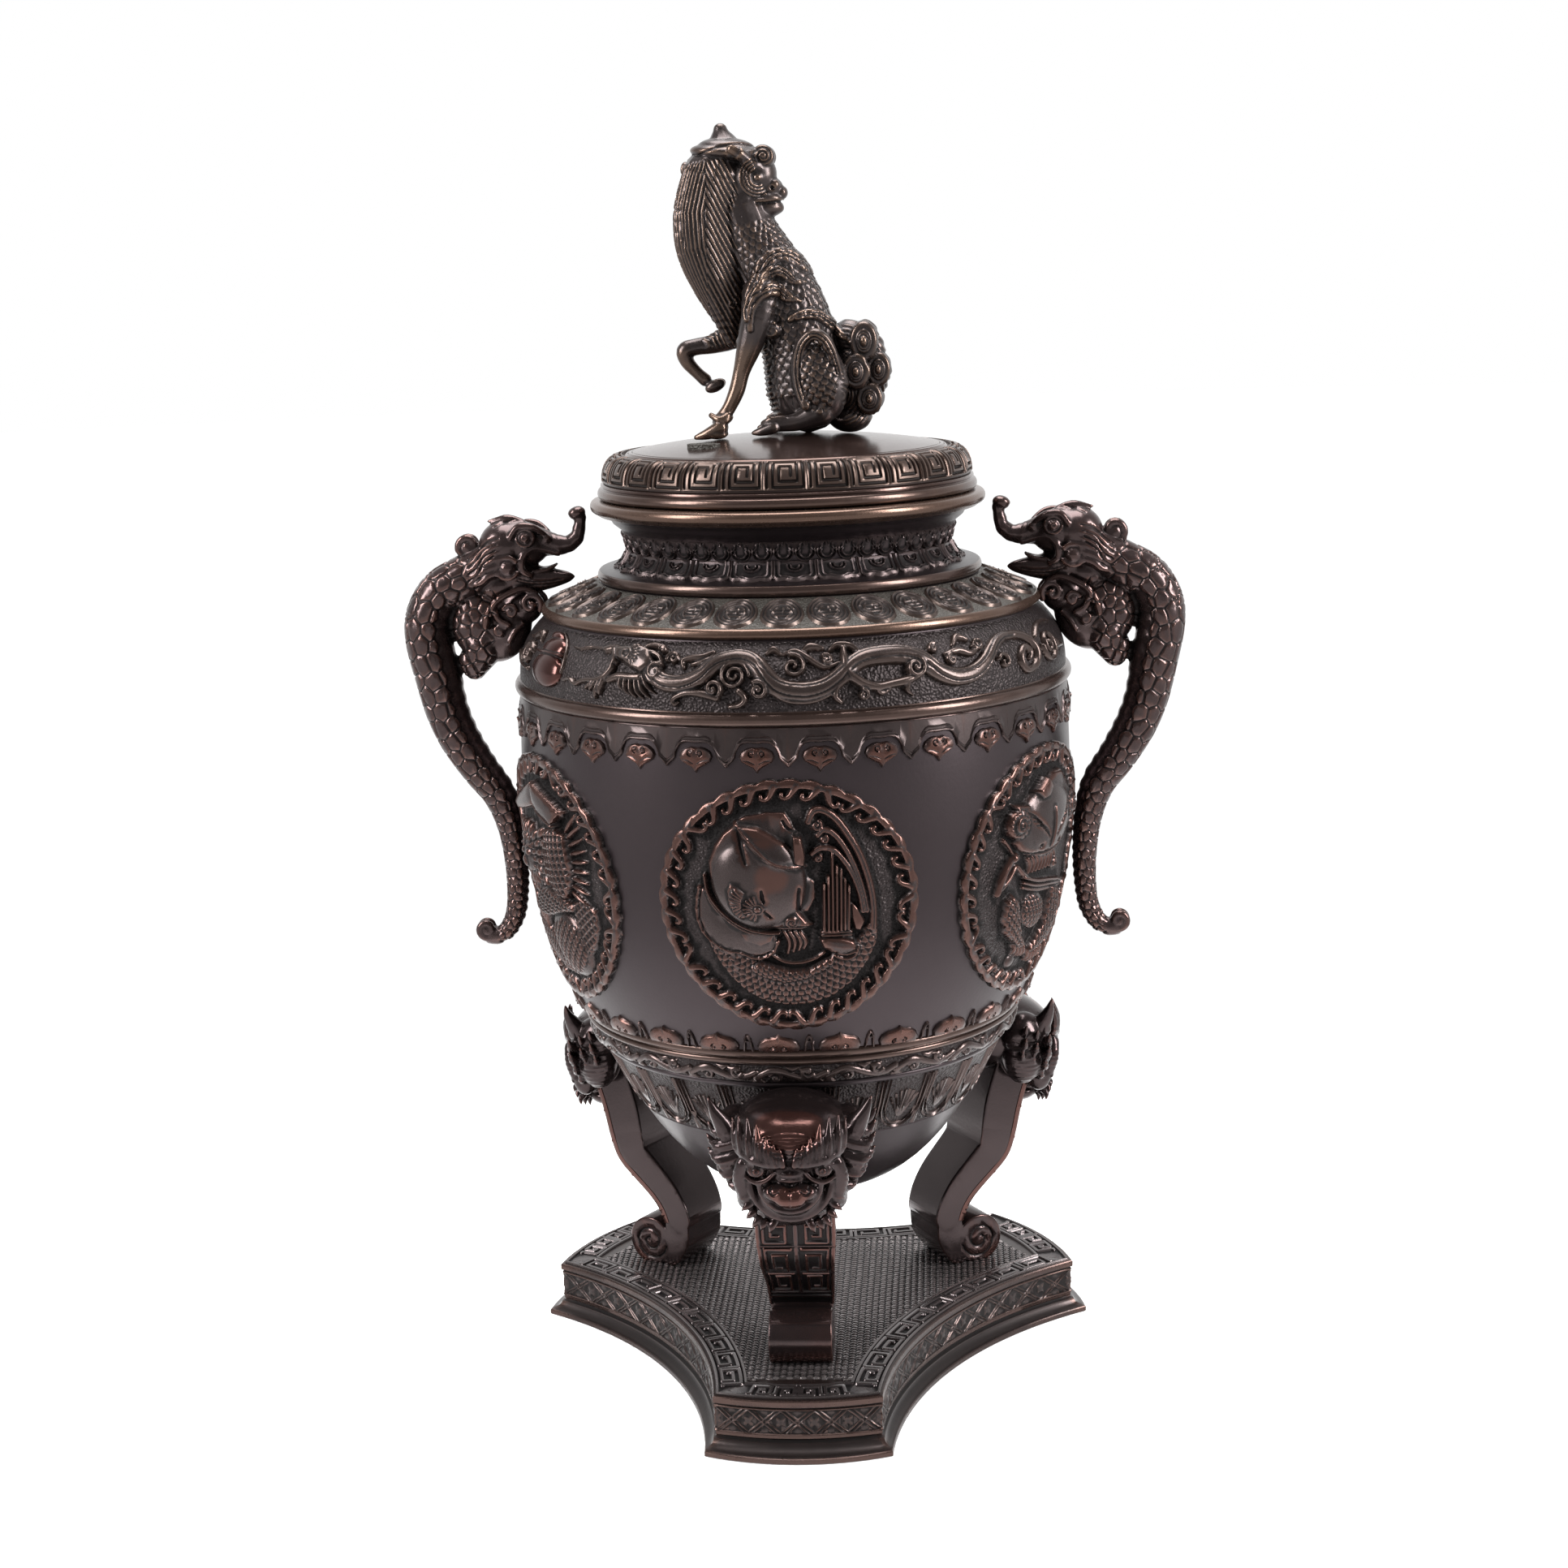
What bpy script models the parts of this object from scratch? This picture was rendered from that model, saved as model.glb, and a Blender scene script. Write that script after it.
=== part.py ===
"""Bronze incense burner: a lidded jar on three masked legs and a three-sided plinth.

Metres, +Z up. The origin is on the floor under the jar's axis, and the front leg is towards -Y.
Figures (masks, handles, finial) are given in millimetres of the piece as cast and scaled to
the named heights, so a height can change without redrawing them.
"""

from math import atan2, cos, hypot, pi, radians, sin, tau

import bmesh
import bpy
from mathutils import Matrix, Vector

MM = 0.001
GAP = 0.0003                     # between pieces that touch
WALL = 0.003                     # cast wall of the jar
TURN_STEPS = 28                  # sides of a turned piece
LEG_AZIMUTHS = {"leg_front": -90.0, "leg_back_right": 30.0, "leg_back_left": 150.0}

# Plinth
PLINTH_HEIGHT = 0.0198
PLINTH_REACH = 0.0930            # axis to an end's two corners, along the end's direction
PLINTH_END_HALF = 0.0275
PLINTH_END_BULGE = 0.0042
PLINTH_WAIST = 0.0545            # axis to the middle of a hollow side
PLINTH_FOOT_SPREAD = 0.0044
PLINTH_FOOT_HEIGHT = 0.0052
PLINTH_BAND = 0.0028             # plain band under the top edge
PLINTH_BAND_STEP = 0.0007

# Jar, from the bowl's bottom up
JAR_LIFT = 0.0422                # plinth top to the bowl's bottom
BOWL_HEIGHT = 0.0344
BOWL_RADIUS = 0.0586
LEAF_BAND_HEIGHT = 0.0214
LEAF_TOP_RADIUS = 0.0702
THIN_RING_HEIGHT = 0.0026
THIN_RING_PROUD = 0.0014
SCROLL_BAND_HEIGHT = 0.0066
SCROLL_TOP_RADIUS = 0.0750
LOWER_RING_HEIGHT = 0.0060
LOWER_RING_RADIUS = 0.0772
BELLY_FOOT_RADIUS = 0.0785
BELLY_HEIGHT = 0.1098
BELLY_RADIUS = 0.0948
BELLY_SWELL = 0.74               # share of the belly's height where it is widest
BELLY_RING_HEIGHT = 0.0045
BELLY_RING_RADIUS = 0.0957
DRAGON_BAND_HEIGHT = 0.0205
SHOULDER_RING_HEIGHT = 0.0043
SHOULDER_RADIUS = 0.0854
SHOULDER_RISE = 0.0073
NECK_RING_HEIGHT = 0.0041
NECK_RING_RADIUS = 0.0657
PETAL_BAND_HEIGHT = 0.0070
PETAL_FLARE = 0.0055             # how far the petals stand off the neck at their tips
NECK_RADIUS = 0.0545
NECK_COLLAR_HEIGHT = 0.0096
NECK_PLAIN_HEIGHT = 0.0036       # plain band under the rim's flare
NECK_FLARE = 0.0055              # how far the neck spreads up to the rim
RIM_FLARE_HEIGHT = 0.0025
RIM_HEIGHT = 0.0045
RIM_RADIUS = 0.0673
RING_PROUD = 0.0012              # how far the neck and shoulder rings stand out
BELLY_RING_PROUD = 0.0019
SHOULDER_STEP = 0.0005           # the shoulder's ground lies this far inside its rings

# Repeats round the jar, each with the azimuth of its first one
UPPER_LAPPETS = {"count": 30, "first": -93.8, "drop": 0.0115, "gap_drop": 0.0048, "proud": 0.0011}
LOWER_LAPPETS = {"count": 25, "first": -92.5, "drop": 0.0072, "gap_drop": 0.0030, "proud": 0.0011}
DISCS = {"count": 32, "first": -88.6, "half_width": 0.0066, "half_length": 0.0080, "proud": 0.0010}
MEDALLIONS = {"count": 6, "first": -90.0, "radius": 0.0420, "height_share": 0.473}
DRAGONS = {"count": 2, "first": -90.0, "reach": 0.068, "body": 0.0029, "wave": 0.0036}

# Lid
LID_FIT = 0.0006                 # flange to the neck's wall
LID_SEAT_PROUD = 0.0027          # how far the rim of the jar stands out past the lid
LID_RIM_HEIGHT = 0.0036
LID_PLAIN_HEIGHT = 0.0040
LID_PLAIN_SLOPE = 0.0023         # how far the plain band leans in
LID_FRET_HEIGHT = 0.0072
LID_FRET_WIDTH = 0.0065
LID_CROWN = 0.0052               # rise of the domed top from its edge to its middle
LID_WALL = 0.0026
LID_FLANGE_DEPTH = 0.0062
TABLET = {"at": (-0.0260, -0.0190), "half_length": 0.0058, "half_width": 0.0038, "proud": 0.0012}

# Figures
KIRIN_HEIGHT = 0.1026            # lid's crown to the knob on its cap
HANDLE_HEIGHT = 0.1546           # tail curl to the trunk's tip
HANDLE_ABOVE_SHOULDER = 0.0316   # shoulder ring to the trunk's tip
FIGURE_FACES = {"kirin": 860, "handle": 410, "mask": 140, "medallion": 124, "dragon": 92}
FIGURE_VOXEL = 0.0012            # grain that overlapping masses melt together at
RELIEF_VOXEL = 0.0009


# Heights that follow from the stack
BOWL_Z = PLINTH_HEIGHT + JAR_LIFT
LEAF_Z = BOWL_Z + BOWL_HEIGHT
THIN_RING_Z = LEAF_Z + LEAF_BAND_HEIGHT
SCROLL_Z = THIN_RING_Z + THIN_RING_HEIGHT
LOWER_RING_Z = SCROLL_Z + SCROLL_BAND_HEIGHT
BELLY_Z = LOWER_RING_Z + LOWER_RING_HEIGHT
BELLY_RING_Z = BELLY_Z + BELLY_HEIGHT
DRAGON_Z = BELLY_RING_Z + BELLY_RING_HEIGHT
SHOULDER_RING_Z = DRAGON_Z + DRAGON_BAND_HEIGHT
SHOULDER_Z = SHOULDER_RING_Z + SHOULDER_RING_HEIGHT
NECK_RING_Z = SHOULDER_Z + SHOULDER_RISE
PETAL_Z = NECK_RING_Z + NECK_RING_HEIGHT
COLLAR_Z = PETAL_Z + PETAL_BAND_HEIGHT
RIM_FLARE_Z = COLLAR_Z + NECK_COLLAR_HEIGHT
RIM_Z = RIM_FLARE_Z + RIM_FLARE_HEIGHT
JAR_TOP = RIM_Z + RIM_HEIGHT
MOUTH_RADIUS = NECK_RADIUS - WALL
LID_SEAT_Z = JAR_TOP + GAP
LID_RADIUS = RIM_RADIUS - LID_SEAT_PROUD
LID_STEP_Z = LID_SEAT_Z + LID_RIM_HEIGHT
LID_FRET_Z = LID_STEP_Z + LID_PLAIN_HEIGHT
LID_EDGE_Z = LID_FRET_Z + LID_FRET_HEIGHT
LID_FRET_RADIUS = LID_RADIUS - LID_PLAIN_SLOPE
LID_TOP_RADIUS = LID_FRET_RADIUS - LID_FRET_WIDTH
LID_TOP_Z = LID_EDGE_Z + LID_CROWN
MEDALLION_Z = BELLY_Z + BELLY_HEIGHT * MEDALLIONS["height_share"]


def collection(name):
    group = bpy.data.collections.new(name)
    bpy.context.scene.collection.children.link(group)
    return group


def settled(obj, weld=0.0):
    """Gives an object the mesh its modifiers make, with its faces outward."""
    bpy.context.view_layer.update()
    graph = bpy.context.evaluated_depsgraph_get()
    mesh = bpy.data.meshes.new_from_object(obj.evaluated_get(graph))
    obj.modifiers.clear()
    obj.data = mesh
    bm = bmesh.new()
    bm.from_mesh(mesh)
    if weld:
        bmesh.ops.remove_doubles(bm, verts=bm.verts, dist=weld)
    bmesh.ops.recalc_face_normals(bm, faces=bm.faces)
    bm.to_mesh(mesh)
    bm.free()
    return obj


def from_bmesh(name, bm):
    mesh = bpy.data.meshes.new(name)
    bm.to_mesh(mesh)
    bm.free()
    obj = bpy.data.objects.new(name, mesh)
    bpy.context.scene.collection.objects.link(obj)
    return obj


def combined(body, tool, operation, keep_tool=False):
    """Boolean of two closed objects; the tool is used up unless it is kept as a cutter."""
    cut = body.modifiers.new(operation.title(), "BOOLEAN")
    cut.operation = operation
    cut.object = tool
    settled(body)
    if not keep_tool:
        bpy.data.objects.remove(tool)
    return body


def turned(name, profile, steps=TURN_STEPS):
    """Turned solid from (radius, height) points, down the outer side; ends on the axis or closed."""
    last = len(profile) - 1
    edges = [(i, i + 1) for i in range(last)]
    if profile[0][0] > 0.0:
        edges.append((last, 0))
    mesh = bpy.data.meshes.new(name)
    mesh.from_pydata([(r, 0.0, z) for r, z in profile], edges, [])
    obj = bpy.data.objects.new(name, mesh)
    bpy.context.scene.collection.objects.link(obj)
    screw = obj.modifiers.new("Turn", "SCREW")
    screw.steps = steps
    screw.render_steps = steps
    screw.use_merge_vertices = True
    screw.merge_threshold = 0.00001
    return settled(obj, weld=0.00001)


def lofted(name, rings):
    """Closed solid through rings of equal length, capped at both ends."""
    bm = bmesh.new()
    loops = [[bm.verts.new(p) for p in ring] for ring in rings]
    count = len(loops[0])
    for low, high in zip(loops, loops[1:]):
        for i in range(count):
            j = (i + 1) % count
            bm.faces.new((low[i], low[j], high[j], high[i]))
    bm.faces.new(loops[0][::-1])
    bm.faces.new(loops[-1])
    bmesh.ops.recalc_face_normals(bm, faces=bm.faces)
    return from_bmesh(name, bm)


def arc(start, middle, end, pieces):
    """Points of the circle through three points, without the last one."""
    (ax, ay), (bx, by), (cx, cy) = start, middle, end
    d = 2 * (ax * (by - cy) + bx * (cy - ay) + cx * (ay - by))
    ux = ((ax**2 + ay**2) * (by - cy) + (bx**2 + by**2) * (cy - ay) + (cx**2 + cy**2) * (ay - by)) / d
    uy = ((ax**2 + ay**2) * (cx - bx) + (bx**2 + by**2) * (ax - cx) + (cx**2 + cy**2) * (bx - ax)) / d
    radius = hypot(ax - ux, ay - uy)
    a0 = atan2(ay - uy, ax - ux)
    a1 = atan2(by - uy, bx - ux)
    a2 = atan2(cy - uy, cx - ux)
    sweep = (a2 - a0) % tau
    if (a1 - a0) % tau > sweep:
        sweep -= tau
    return [(ux + radius * cos(a0 + sweep * i / pieces), uy + radius * sin(a0 + sweep * i / pieces))
            for i in range(pieces)]


def turned_about(point, degrees):
    c, s = cos(radians(degrees)), sin(radians(degrees))
    return (point[0] * c - point[1] * s, point[0] * s + point[1] * c)


def smooth_path(points, pieces=4):
    """Catmull-Rom curve through points of any width, with pieces steps between them."""
    ends = [points[0]] + list(points) + [points[-1]]
    path = []
    for p0, p1, p2, p3 in zip(ends, ends[1:], ends[2:], ends[3:]):
        for k in range(pieces):
            t = k / pieces
            path.append(tuple(
                0.5 * (2 * b + (c - a) * t + (2 * a - 5 * b + 4 * c - d) * t**2
                       + (3 * b - a - 3 * c + d) * t**3)
                for a, b, c, d in zip(p0, p1, p2, p3)))
    path.append(tuple(points[-1]))
    return path


# Plinth

def plinth_outline(spread):
    reach = PLINTH_REACH + spread
    half = PLINTH_END_HALF + 0.8 * spread
    bulge = PLINTH_END_BULGE + 0.48 * spread
    waist = PLINTH_WAIST + spread
    points = []
    for facing in (-90.0, 30.0, 150.0):
        start = turned_about((reach, -half), facing)
        middle = turned_about((reach + bulge, 0.0), facing)
        end = turned_about((reach, half), facing)
        hollow = turned_about((waist, 0.0), facing + 60.0)
        following = turned_about((reach, -half), facing + 120.0)
        points += arc(start, middle, end, 4) + arc(end, hollow, following, 8)
    return points


def make_plinth():
    band = PLINTH_HEIGHT - PLINTH_BAND
    levels = [
        (0.0, PLINTH_FOOT_SPREAD),
        (PLINTH_FOOT_HEIGHT * 0.42, PLINTH_FOOT_SPREAD),
        (PLINTH_FOOT_HEIGHT, 0.0),
        (band, 0.0),
        (band, PLINTH_BAND_STEP),
        (PLINTH_HEIGHT, PLINTH_BAND_STEP),
    ]
    rings = [[(x, y, z) for x, y in plinth_outline(spread)] for z, spread in levels]
    return lofted("plinth", rings)


# Jar

def belly_radius(z):
    """Outer radius of the belly at a height, widest above its middle."""
    swell = BELLY_Z + BELLY_HEIGHT * BELLY_SWELL
    if z < swell:
        share = (swell - z) / (swell - BELLY_Z)
        return BELLY_RADIUS - (BELLY_RADIUS - BELLY_FOOT_RADIUS) * max(share, 0.0) ** 2.15
    share = (z - swell) / (BELLY_RING_Z - swell)
    return BELLY_RADIUS - 0.0012 * share**2


def dragon_band_radius(z):
    """Outer radius of the band between the belly ring and the shoulder ring."""
    share = (z - DRAGON_Z) / DRAGON_BAND_HEIGHT
    top = SHOULDER_RADIUS - RING_PROUD / 2
    low = BELLY_RING_RADIUS - BELLY_RING_PROUD
    return low + (top - low) * max(share, 0.0) ** 2.6


def shoulder_radius(z):
    """Radius of the sloping shoulder at a height."""
    low = SHOULDER_RADIUS - RING_PROUD - SHOULDER_STEP
    top = NECK_RING_RADIUS - SHOULDER_STEP
    return low + (top - low) * (z - SHOULDER_Z) / SHOULDER_RISE


def bead(z, height, radius, proud):
    """A ring, top to bottom, whose middle stands out to the radius."""
    return [(radius - proud, z + height), (radius, z + height / 2), (radius - proud, z)]


def jar_outside():
    """Outer profile, from the mouth's inner edge down to the axis."""
    points = [
        (MOUTH_RADIUS, JAR_TOP),
        (RIM_RADIUS - RING_PROUD, JAR_TOP),
        (RIM_RADIUS, RIM_Z + RIM_HEIGHT * 0.65),
        (RIM_RADIUS, RIM_Z + RIM_HEIGHT * 0.3),
        (RIM_RADIUS - RING_PROUD, RIM_Z),
        (NECK_RADIUS + NECK_FLARE, RIM_FLARE_Z),
        (NECK_RADIUS + NECK_FLARE / 2, RIM_FLARE_Z - NECK_PLAIN_HEIGHT),
        (NECK_RADIUS, COLLAR_Z),
        (NECK_RADIUS + PETAL_FLARE, PETAL_Z + PETAL_BAND_HEIGHT * 0.1),
    ]
    points += bead(NECK_RING_Z, NECK_RING_HEIGHT, NECK_RING_RADIUS, RING_PROUD)[:2]
    points += [(shoulder_radius(z), z) for z in (NECK_RING_Z, SHOULDER_Z)]
    points.append((SHOULDER_RADIUS, SHOULDER_RING_Z + SHOULDER_RING_HEIGHT / 2))
    for share in (0.97, 0.55):
        z = DRAGON_Z + DRAGON_BAND_HEIGHT * share
        points.append((dragon_band_radius(z), z))
    points += bead(BELLY_RING_Z, BELLY_RING_HEIGHT, BELLY_RING_RADIUS, BELLY_RING_PROUD)
    for share in (0.74, 0.5, 0.26, 0.0):
        z = BELLY_Z + BELLY_HEIGHT * share
        points.append((belly_radius(z), z))
    points += bead(LOWER_RING_Z, LOWER_RING_HEIGHT, LOWER_RING_RADIUS, LOWER_RING_RADIUS - SCROLL_TOP_RADIUS)
    points += bead(THIN_RING_Z, THIN_RING_HEIGHT, LEAF_TOP_RADIUS + THIN_RING_PROUD, THIN_RING_PROUD)
    points.append((BOWL_RADIUS, LEAF_Z))
    points += [bowl_point(share) for share in (0.82, 0.55, 0.0)]
    return points


def bowl_point(share):
    """Point of the bowl's outer curve at a share of its radius."""
    return (BOWL_RADIUS * share, BOWL_Z + BOWL_HEIGHT * share**2.9)


def jar_inside():
    """Inner profile, from the axis up to just under the mouth's edge."""
    low_r, low_z = bowl_point(0.7)
    points = [
        (0.0, BOWL_Z + WALL),
        (low_r - WALL / 2, low_z + WALL),
        (LEAF_TOP_RADIUS - WALL, THIN_RING_Z),
    ]
    for share in (0.1, 0.42, 1.0):
        z = BELLY_Z + BELLY_HEIGHT * share
        points.append((belly_radius(z) - WALL, z))
    points += [
        (SHOULDER_RADIUS - WALL, SHOULDER_RING_Z - WALL / 2),
        (SHOULDER_RADIUS - WALL * 2, SHOULDER_Z - WALL),
        (MOUTH_RADIUS, NECK_RING_Z - WALL / 2),
    ]
    return points


def jar_clearance():
    """The filled jar, one gap larger all over, that its neighbours are cut back by."""
    outside = jar_outside()
    grown = []
    for i, (r, z) in enumerate(outside):
        before = outside[max(i - 1, 0)]
        after = outside[min(i + 1, len(outside) - 1)]
        run = Vector((after[0] - before[0], after[1] - before[1]))
        normal = Vector((-run.y, run.x)).normalized()
        grown.append((max(r + GAP * normal.x, 0.0), z + GAP * normal.y))
    grown[0] = (0.0, JAR_TOP + GAP)
    grown[-1] = (0.0, BOWL_Z - GAP)
    return turned("jar_clearance", grown)


def wrap(bm, azimuth, middle_z, radius_at):
    """Lays flat work on the jar: x runs round it, y up it and z out of it."""
    for vert in bm.verts:
        z = middle_z + vert.co.y
        radius = radius_at(z)
        angle = radians(azimuth) + vert.co.x / radius
        vert.co = Vector(((radius + vert.co.z) * cos(angle), (radius + vert.co.z) * sin(angle), z))


def lappet_ring(name, place, edge_z, side):
    """Ring with a pointed hem: side is -1 where the points hang down and 1 where they stand up."""
    columns = place["count"] * 2
    start = edge_z + side * place["gap_drop"] / 8
    hem = edge_z + side * place["drop"]
    middle = belly_radius(edge_z)
    rows = [(middle - WALL, start), (middle + WALL, start), (middle + WALL, hem), (middle - WALL, hem)]
    ring = turned(name, rows[::-side], columns)
    for vert in ring.data.vertices:
        angle = atan2(vert.co.y, vert.co.x)
        outer = hypot(vert.co.x, vert.co.y) > middle
        if abs(vert.co.z - hem) < 0.0001 and round(angle / tau * columns) % 2:
            vert.co.z = edge_z + side * place["gap_drop"]
        radius = belly_radius(vert.co.z) + (place["proud"] if outer else -WALL / 2)
        vert.co.x = radius * cos(angle)
        vert.co.y = radius * sin(angle)
    ring.data.transform(Matrix.Rotation(radians(place["first"]), 4, "Z"))
    return ring


def disc_row():
    """Flat ovals lying side by side round the sloping shoulder."""
    bm = bmesh.new()
    middle_z = SHOULDER_Z + SHOULDER_RISE / 2
    middle_r = shoulder_radius(middle_z)
    fall = atan2(SHOULDER_RISE, shoulder_radius(SHOULDER_Z) - shoulder_radius(NECK_RING_Z))
    for i in range(DISCS["count"]):
        place = (Matrix.Rotation(radians(DISCS["first"]) + tau * i / DISCS["count"], 4, "Z")
                 @ Matrix.Translation((middle_r, 0.0, middle_z))
                 @ Matrix.Rotation(fall, 4, "Y")
                 @ Matrix.Diagonal((DISCS["half_length"], DISCS["half_width"], 1.0, 1.0)))
        bmesh.ops.create_cone(bm, cap_ends=True, segments=5, radius1=1.0, radius2=0.86,
                              depth=DISCS["proud"] * 2, matrix=place)
    return from_bmesh("discs", bm)


def laid_on(name, bm, scale, azimuth, middle_z, radius_at):
    """Melts flat work into one low relief and wraps it on the jar, its back inside the wall."""
    relief = fused(name, bm, scale, RELIEF_VOXEL, FIGURE_FACES[name], smooths=1)
    flat = bmesh.new()
    flat.from_mesh(relief.data)
    for vert in flat.verts:
        vert.co.z = max(vert.co.z, -WALL / 2)
    wrap(flat, azimuth, middle_z, radius_at)
    flat.to_mesh(relief.data)
    flat.free()
    return relief


def medallion(azimuth, kind):
    """A round border about a seated musician, in millimetres: x across, y up, z out."""
    lean = (1, -1, 0)[kind % 3]
    drawn_radius = 42.0
    border = 2.1
    reach = drawn_radius - border
    sides = 36
    turns = [tau * i / sides for i in range(sides + 1)]
    loop = [(reach * cos(turn), reach * sin(turn), 0.0, border) for turn in turns]
    bm = bmesh.new()
    add_rod(bm, loop, sides=8, pieces=1)
    bmesh.ops.create_cone(bm, cap_ends=True, segments=sides, radius1=reach, radius2=reach, depth=2.4,
                          matrix=Matrix.Translation((0.0, 0.0, -1.0)))
    add_ball(bm, (-7 * lean, 13, 0.4), (14, 13, 3.2))
    add_ball(bm, (0, -11, 0), (13, 8, 2.6))
    add_rod(bm, [(-20 * lean, -4, -1, 3.2), (-17 * lean, -17, -1, 3.6), (0, -25, -1, 4.0),
                 (14 * lean, -19, -1, 3.6), (20 * lean, -8, -1, 3.0)], sides=8)
    add_rod(bm, [(12 * lean, -10, -0.2, 2.8), (13 * lean, 8, -0.2, 3.0)], sides=8, pieces=1)
    add_rod(bm, [(21 * lean, 0, 0, 2.4), (18 * lean, 15, 0, 2.6), (8 * lean, 27, 0, 2.0)], sides=8)
    return laid_on("medallion", bm, MEDALLIONS["radius"] / drawn_radius, azimuth, MEDALLION_Z, belly_radius)


def dragon(azimuth):
    """A dragon's waving body, its head at the left end of the band, in millimetres."""
    reach = DRAGONS["reach"] / MM
    wave = DRAGONS["wave"] / MM
    body = DRAGONS["body"] / MM
    bm = bmesh.new()
    path = []
    for i in range(17):
        share = i / 16
        path.append((reach * (2 * share - 1), wave * sin(share * tau * 1.6 + 2.2), 0.0,
                     body * (1.0 - 0.5 * share)))
    add_rod(bm, path, sides=8, pieces=2)
    add_ball(bm, (-reach - 2, wave * 0.5, 0.0), (8.5, 6.0, 2.6))
    for share in (0.22, 0.52, 0.8):
        x = reach * (2 * share - 1)
        y = wave * sin(share * tau * 1.6 + 2.2)
        side = -1 if y > 0 else 1
        add_rod(bm, [(x, y, 0, 2.0), (x + 5, y + 6 * side, 0, 1.7), (x + 1, y + 8.5 * side, 0, 1.4)], sides=8)
    middle_z = DRAGON_Z + DRAGON_BAND_HEIGHT / 2
    return laid_on("dragon", bm, MM, azimuth, middle_z, dragon_band_radius)


def make_jar():
    jar = turned("jar", jar_inside() + jar_outside())
    jar = combined(jar, lappet_ring("lappets_upper", UPPER_LAPPETS, BELLY_RING_Z, -1), "UNION")
    jar = combined(jar, lappet_ring("lappets_lower", LOWER_LAPPETS, BELLY_Z, 1), "UNION")
    jar = combined(jar, disc_row(), "UNION")
    for kind in range(MEDALLIONS["count"]):
        azimuth = MEDALLIONS["first"] + 360.0 * kind / MEDALLIONS["count"]
        jar = combined(jar, medallion(azimuth, kind), "UNION")
    for i in range(DRAGONS["count"]):
        jar = combined(jar, dragon(DRAGONS["first"] + 360.0 * i / DRAGONS["count"]), "UNION")
    jar.name = "vessel"
    return jar


# Lid

def lid_top(r):
    """Height of the domed top at a radius."""
    return LID_TOP_Z - LID_CROWN * (r / LID_TOP_RADIUS) ** 2


def lid_outside():
    points = [(0.0, LID_TOP_Z)]
    for share in (0.55, 1.0):
        points.append((LID_TOP_RADIUS * share, lid_top(LID_TOP_RADIUS * share)))
    points += [
        (LID_TOP_RADIUS + LID_FRET_WIDTH * 0.55, LID_FRET_Z + LID_FRET_HEIGHT * 0.66),
        (LID_FRET_RADIUS, LID_FRET_Z),
        (LID_RADIUS - 0.0005, LID_STEP_Z),
        (LID_RADIUS, LID_SEAT_Z + LID_RIM_HEIGHT * 0.5),
        (LID_RADIUS - 0.0007, LID_SEAT_Z),
    ]
    return points


def make_lid():
    flange = MOUTH_RADIUS - LID_FIT
    under = [
        (flange, LID_SEAT_Z),
        (flange, LID_SEAT_Z - LID_FLANGE_DEPTH),
        (flange - LID_WALL, LID_SEAT_Z - LID_FLANGE_DEPTH),
        (flange - LID_WALL, LID_FRET_Z),
        (LID_TOP_RADIUS * 0.7, lid_top(LID_TOP_RADIUS * 0.7) - LID_WALL),
        (0.0, LID_TOP_Z - LID_WALL),
    ]
    lid = turned("lid", lid_outside() + under)
    x, y = TABLET["at"]
    bm = bmesh.new()
    height = lid_top(hypot(x, y))
    place = (Matrix.Translation((x, y, height)) @ Matrix.Rotation(-0.35, 4, "Z")
             @ Matrix.Diagonal((TABLET["half_length"], TABLET["half_width"], 1.0, 1.0)))
    bmesh.ops.create_cone(bm, cap_ends=True, segments=12, radius1=1.0, radius2=1.0,
                          depth=TABLET["proud"] * 2, matrix=place)
    return combined(lid, from_bmesh("tablet", bm), "UNION")


def lid_clearance():
    """The lid's domed top, one gap higher, that the finial is cut back by."""
    top = [(r, z + GAP) for r, z in lid_outside()[:4]]
    return turned("lid_clearance", top + [(top[-1][0], LID_SEAT_Z), (0.0, LID_SEAT_Z)])


# Figures

def add_ball(bm, centre, half, lean=0.0):
    """Egg of the given half sizes, leaned in the XZ plane by degrees."""
    place = (Matrix.Translation(centre) @ Matrix.Rotation(radians(-lean), 4, "Y")
             @ Matrix.Diagonal((*half, 1.0)))
    bmesh.ops.create_uvsphere(bm, u_segments=14, v_segments=9, radius=1.0, matrix=place)


def add_rod(bm, path, sides=12, pieces=3):
    """Round limb along (x, y, z, radius) points."""
    points = smooth_path(path, pieces) if pieces > 1 else path
    for a, b in zip(points, points[1:]):
        run = Vector(b[:3]) - Vector(a[:3])
        turn = run.to_track_quat("Z", "Y").to_matrix().to_4x4()
        place = Matrix.Translation((Vector(a[:3]) + Vector(b[:3])) / 2) @ turn
        bmesh.ops.create_cone(bm, cap_ends=True, segments=sides, radius1=a[3], radius2=b[3],
                              depth=run.length, matrix=place)
    for x, y, z, r in points:
        bmesh.ops.create_icosphere(bm, subdivisions=2, radius=r, matrix=Matrix.Translation((x, y, z)))


def thinned(obj, faces):
    """Thins a solid to about the given number of triangles, flat places first."""
    count = sum(len(face.vertices) - 2 for face in obj.data.polygons)
    thin = obj.modifiers.new("Thin", "DECIMATE")
    thin.ratio = min(faces / count, 1.0)
    return settled(obj)


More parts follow.
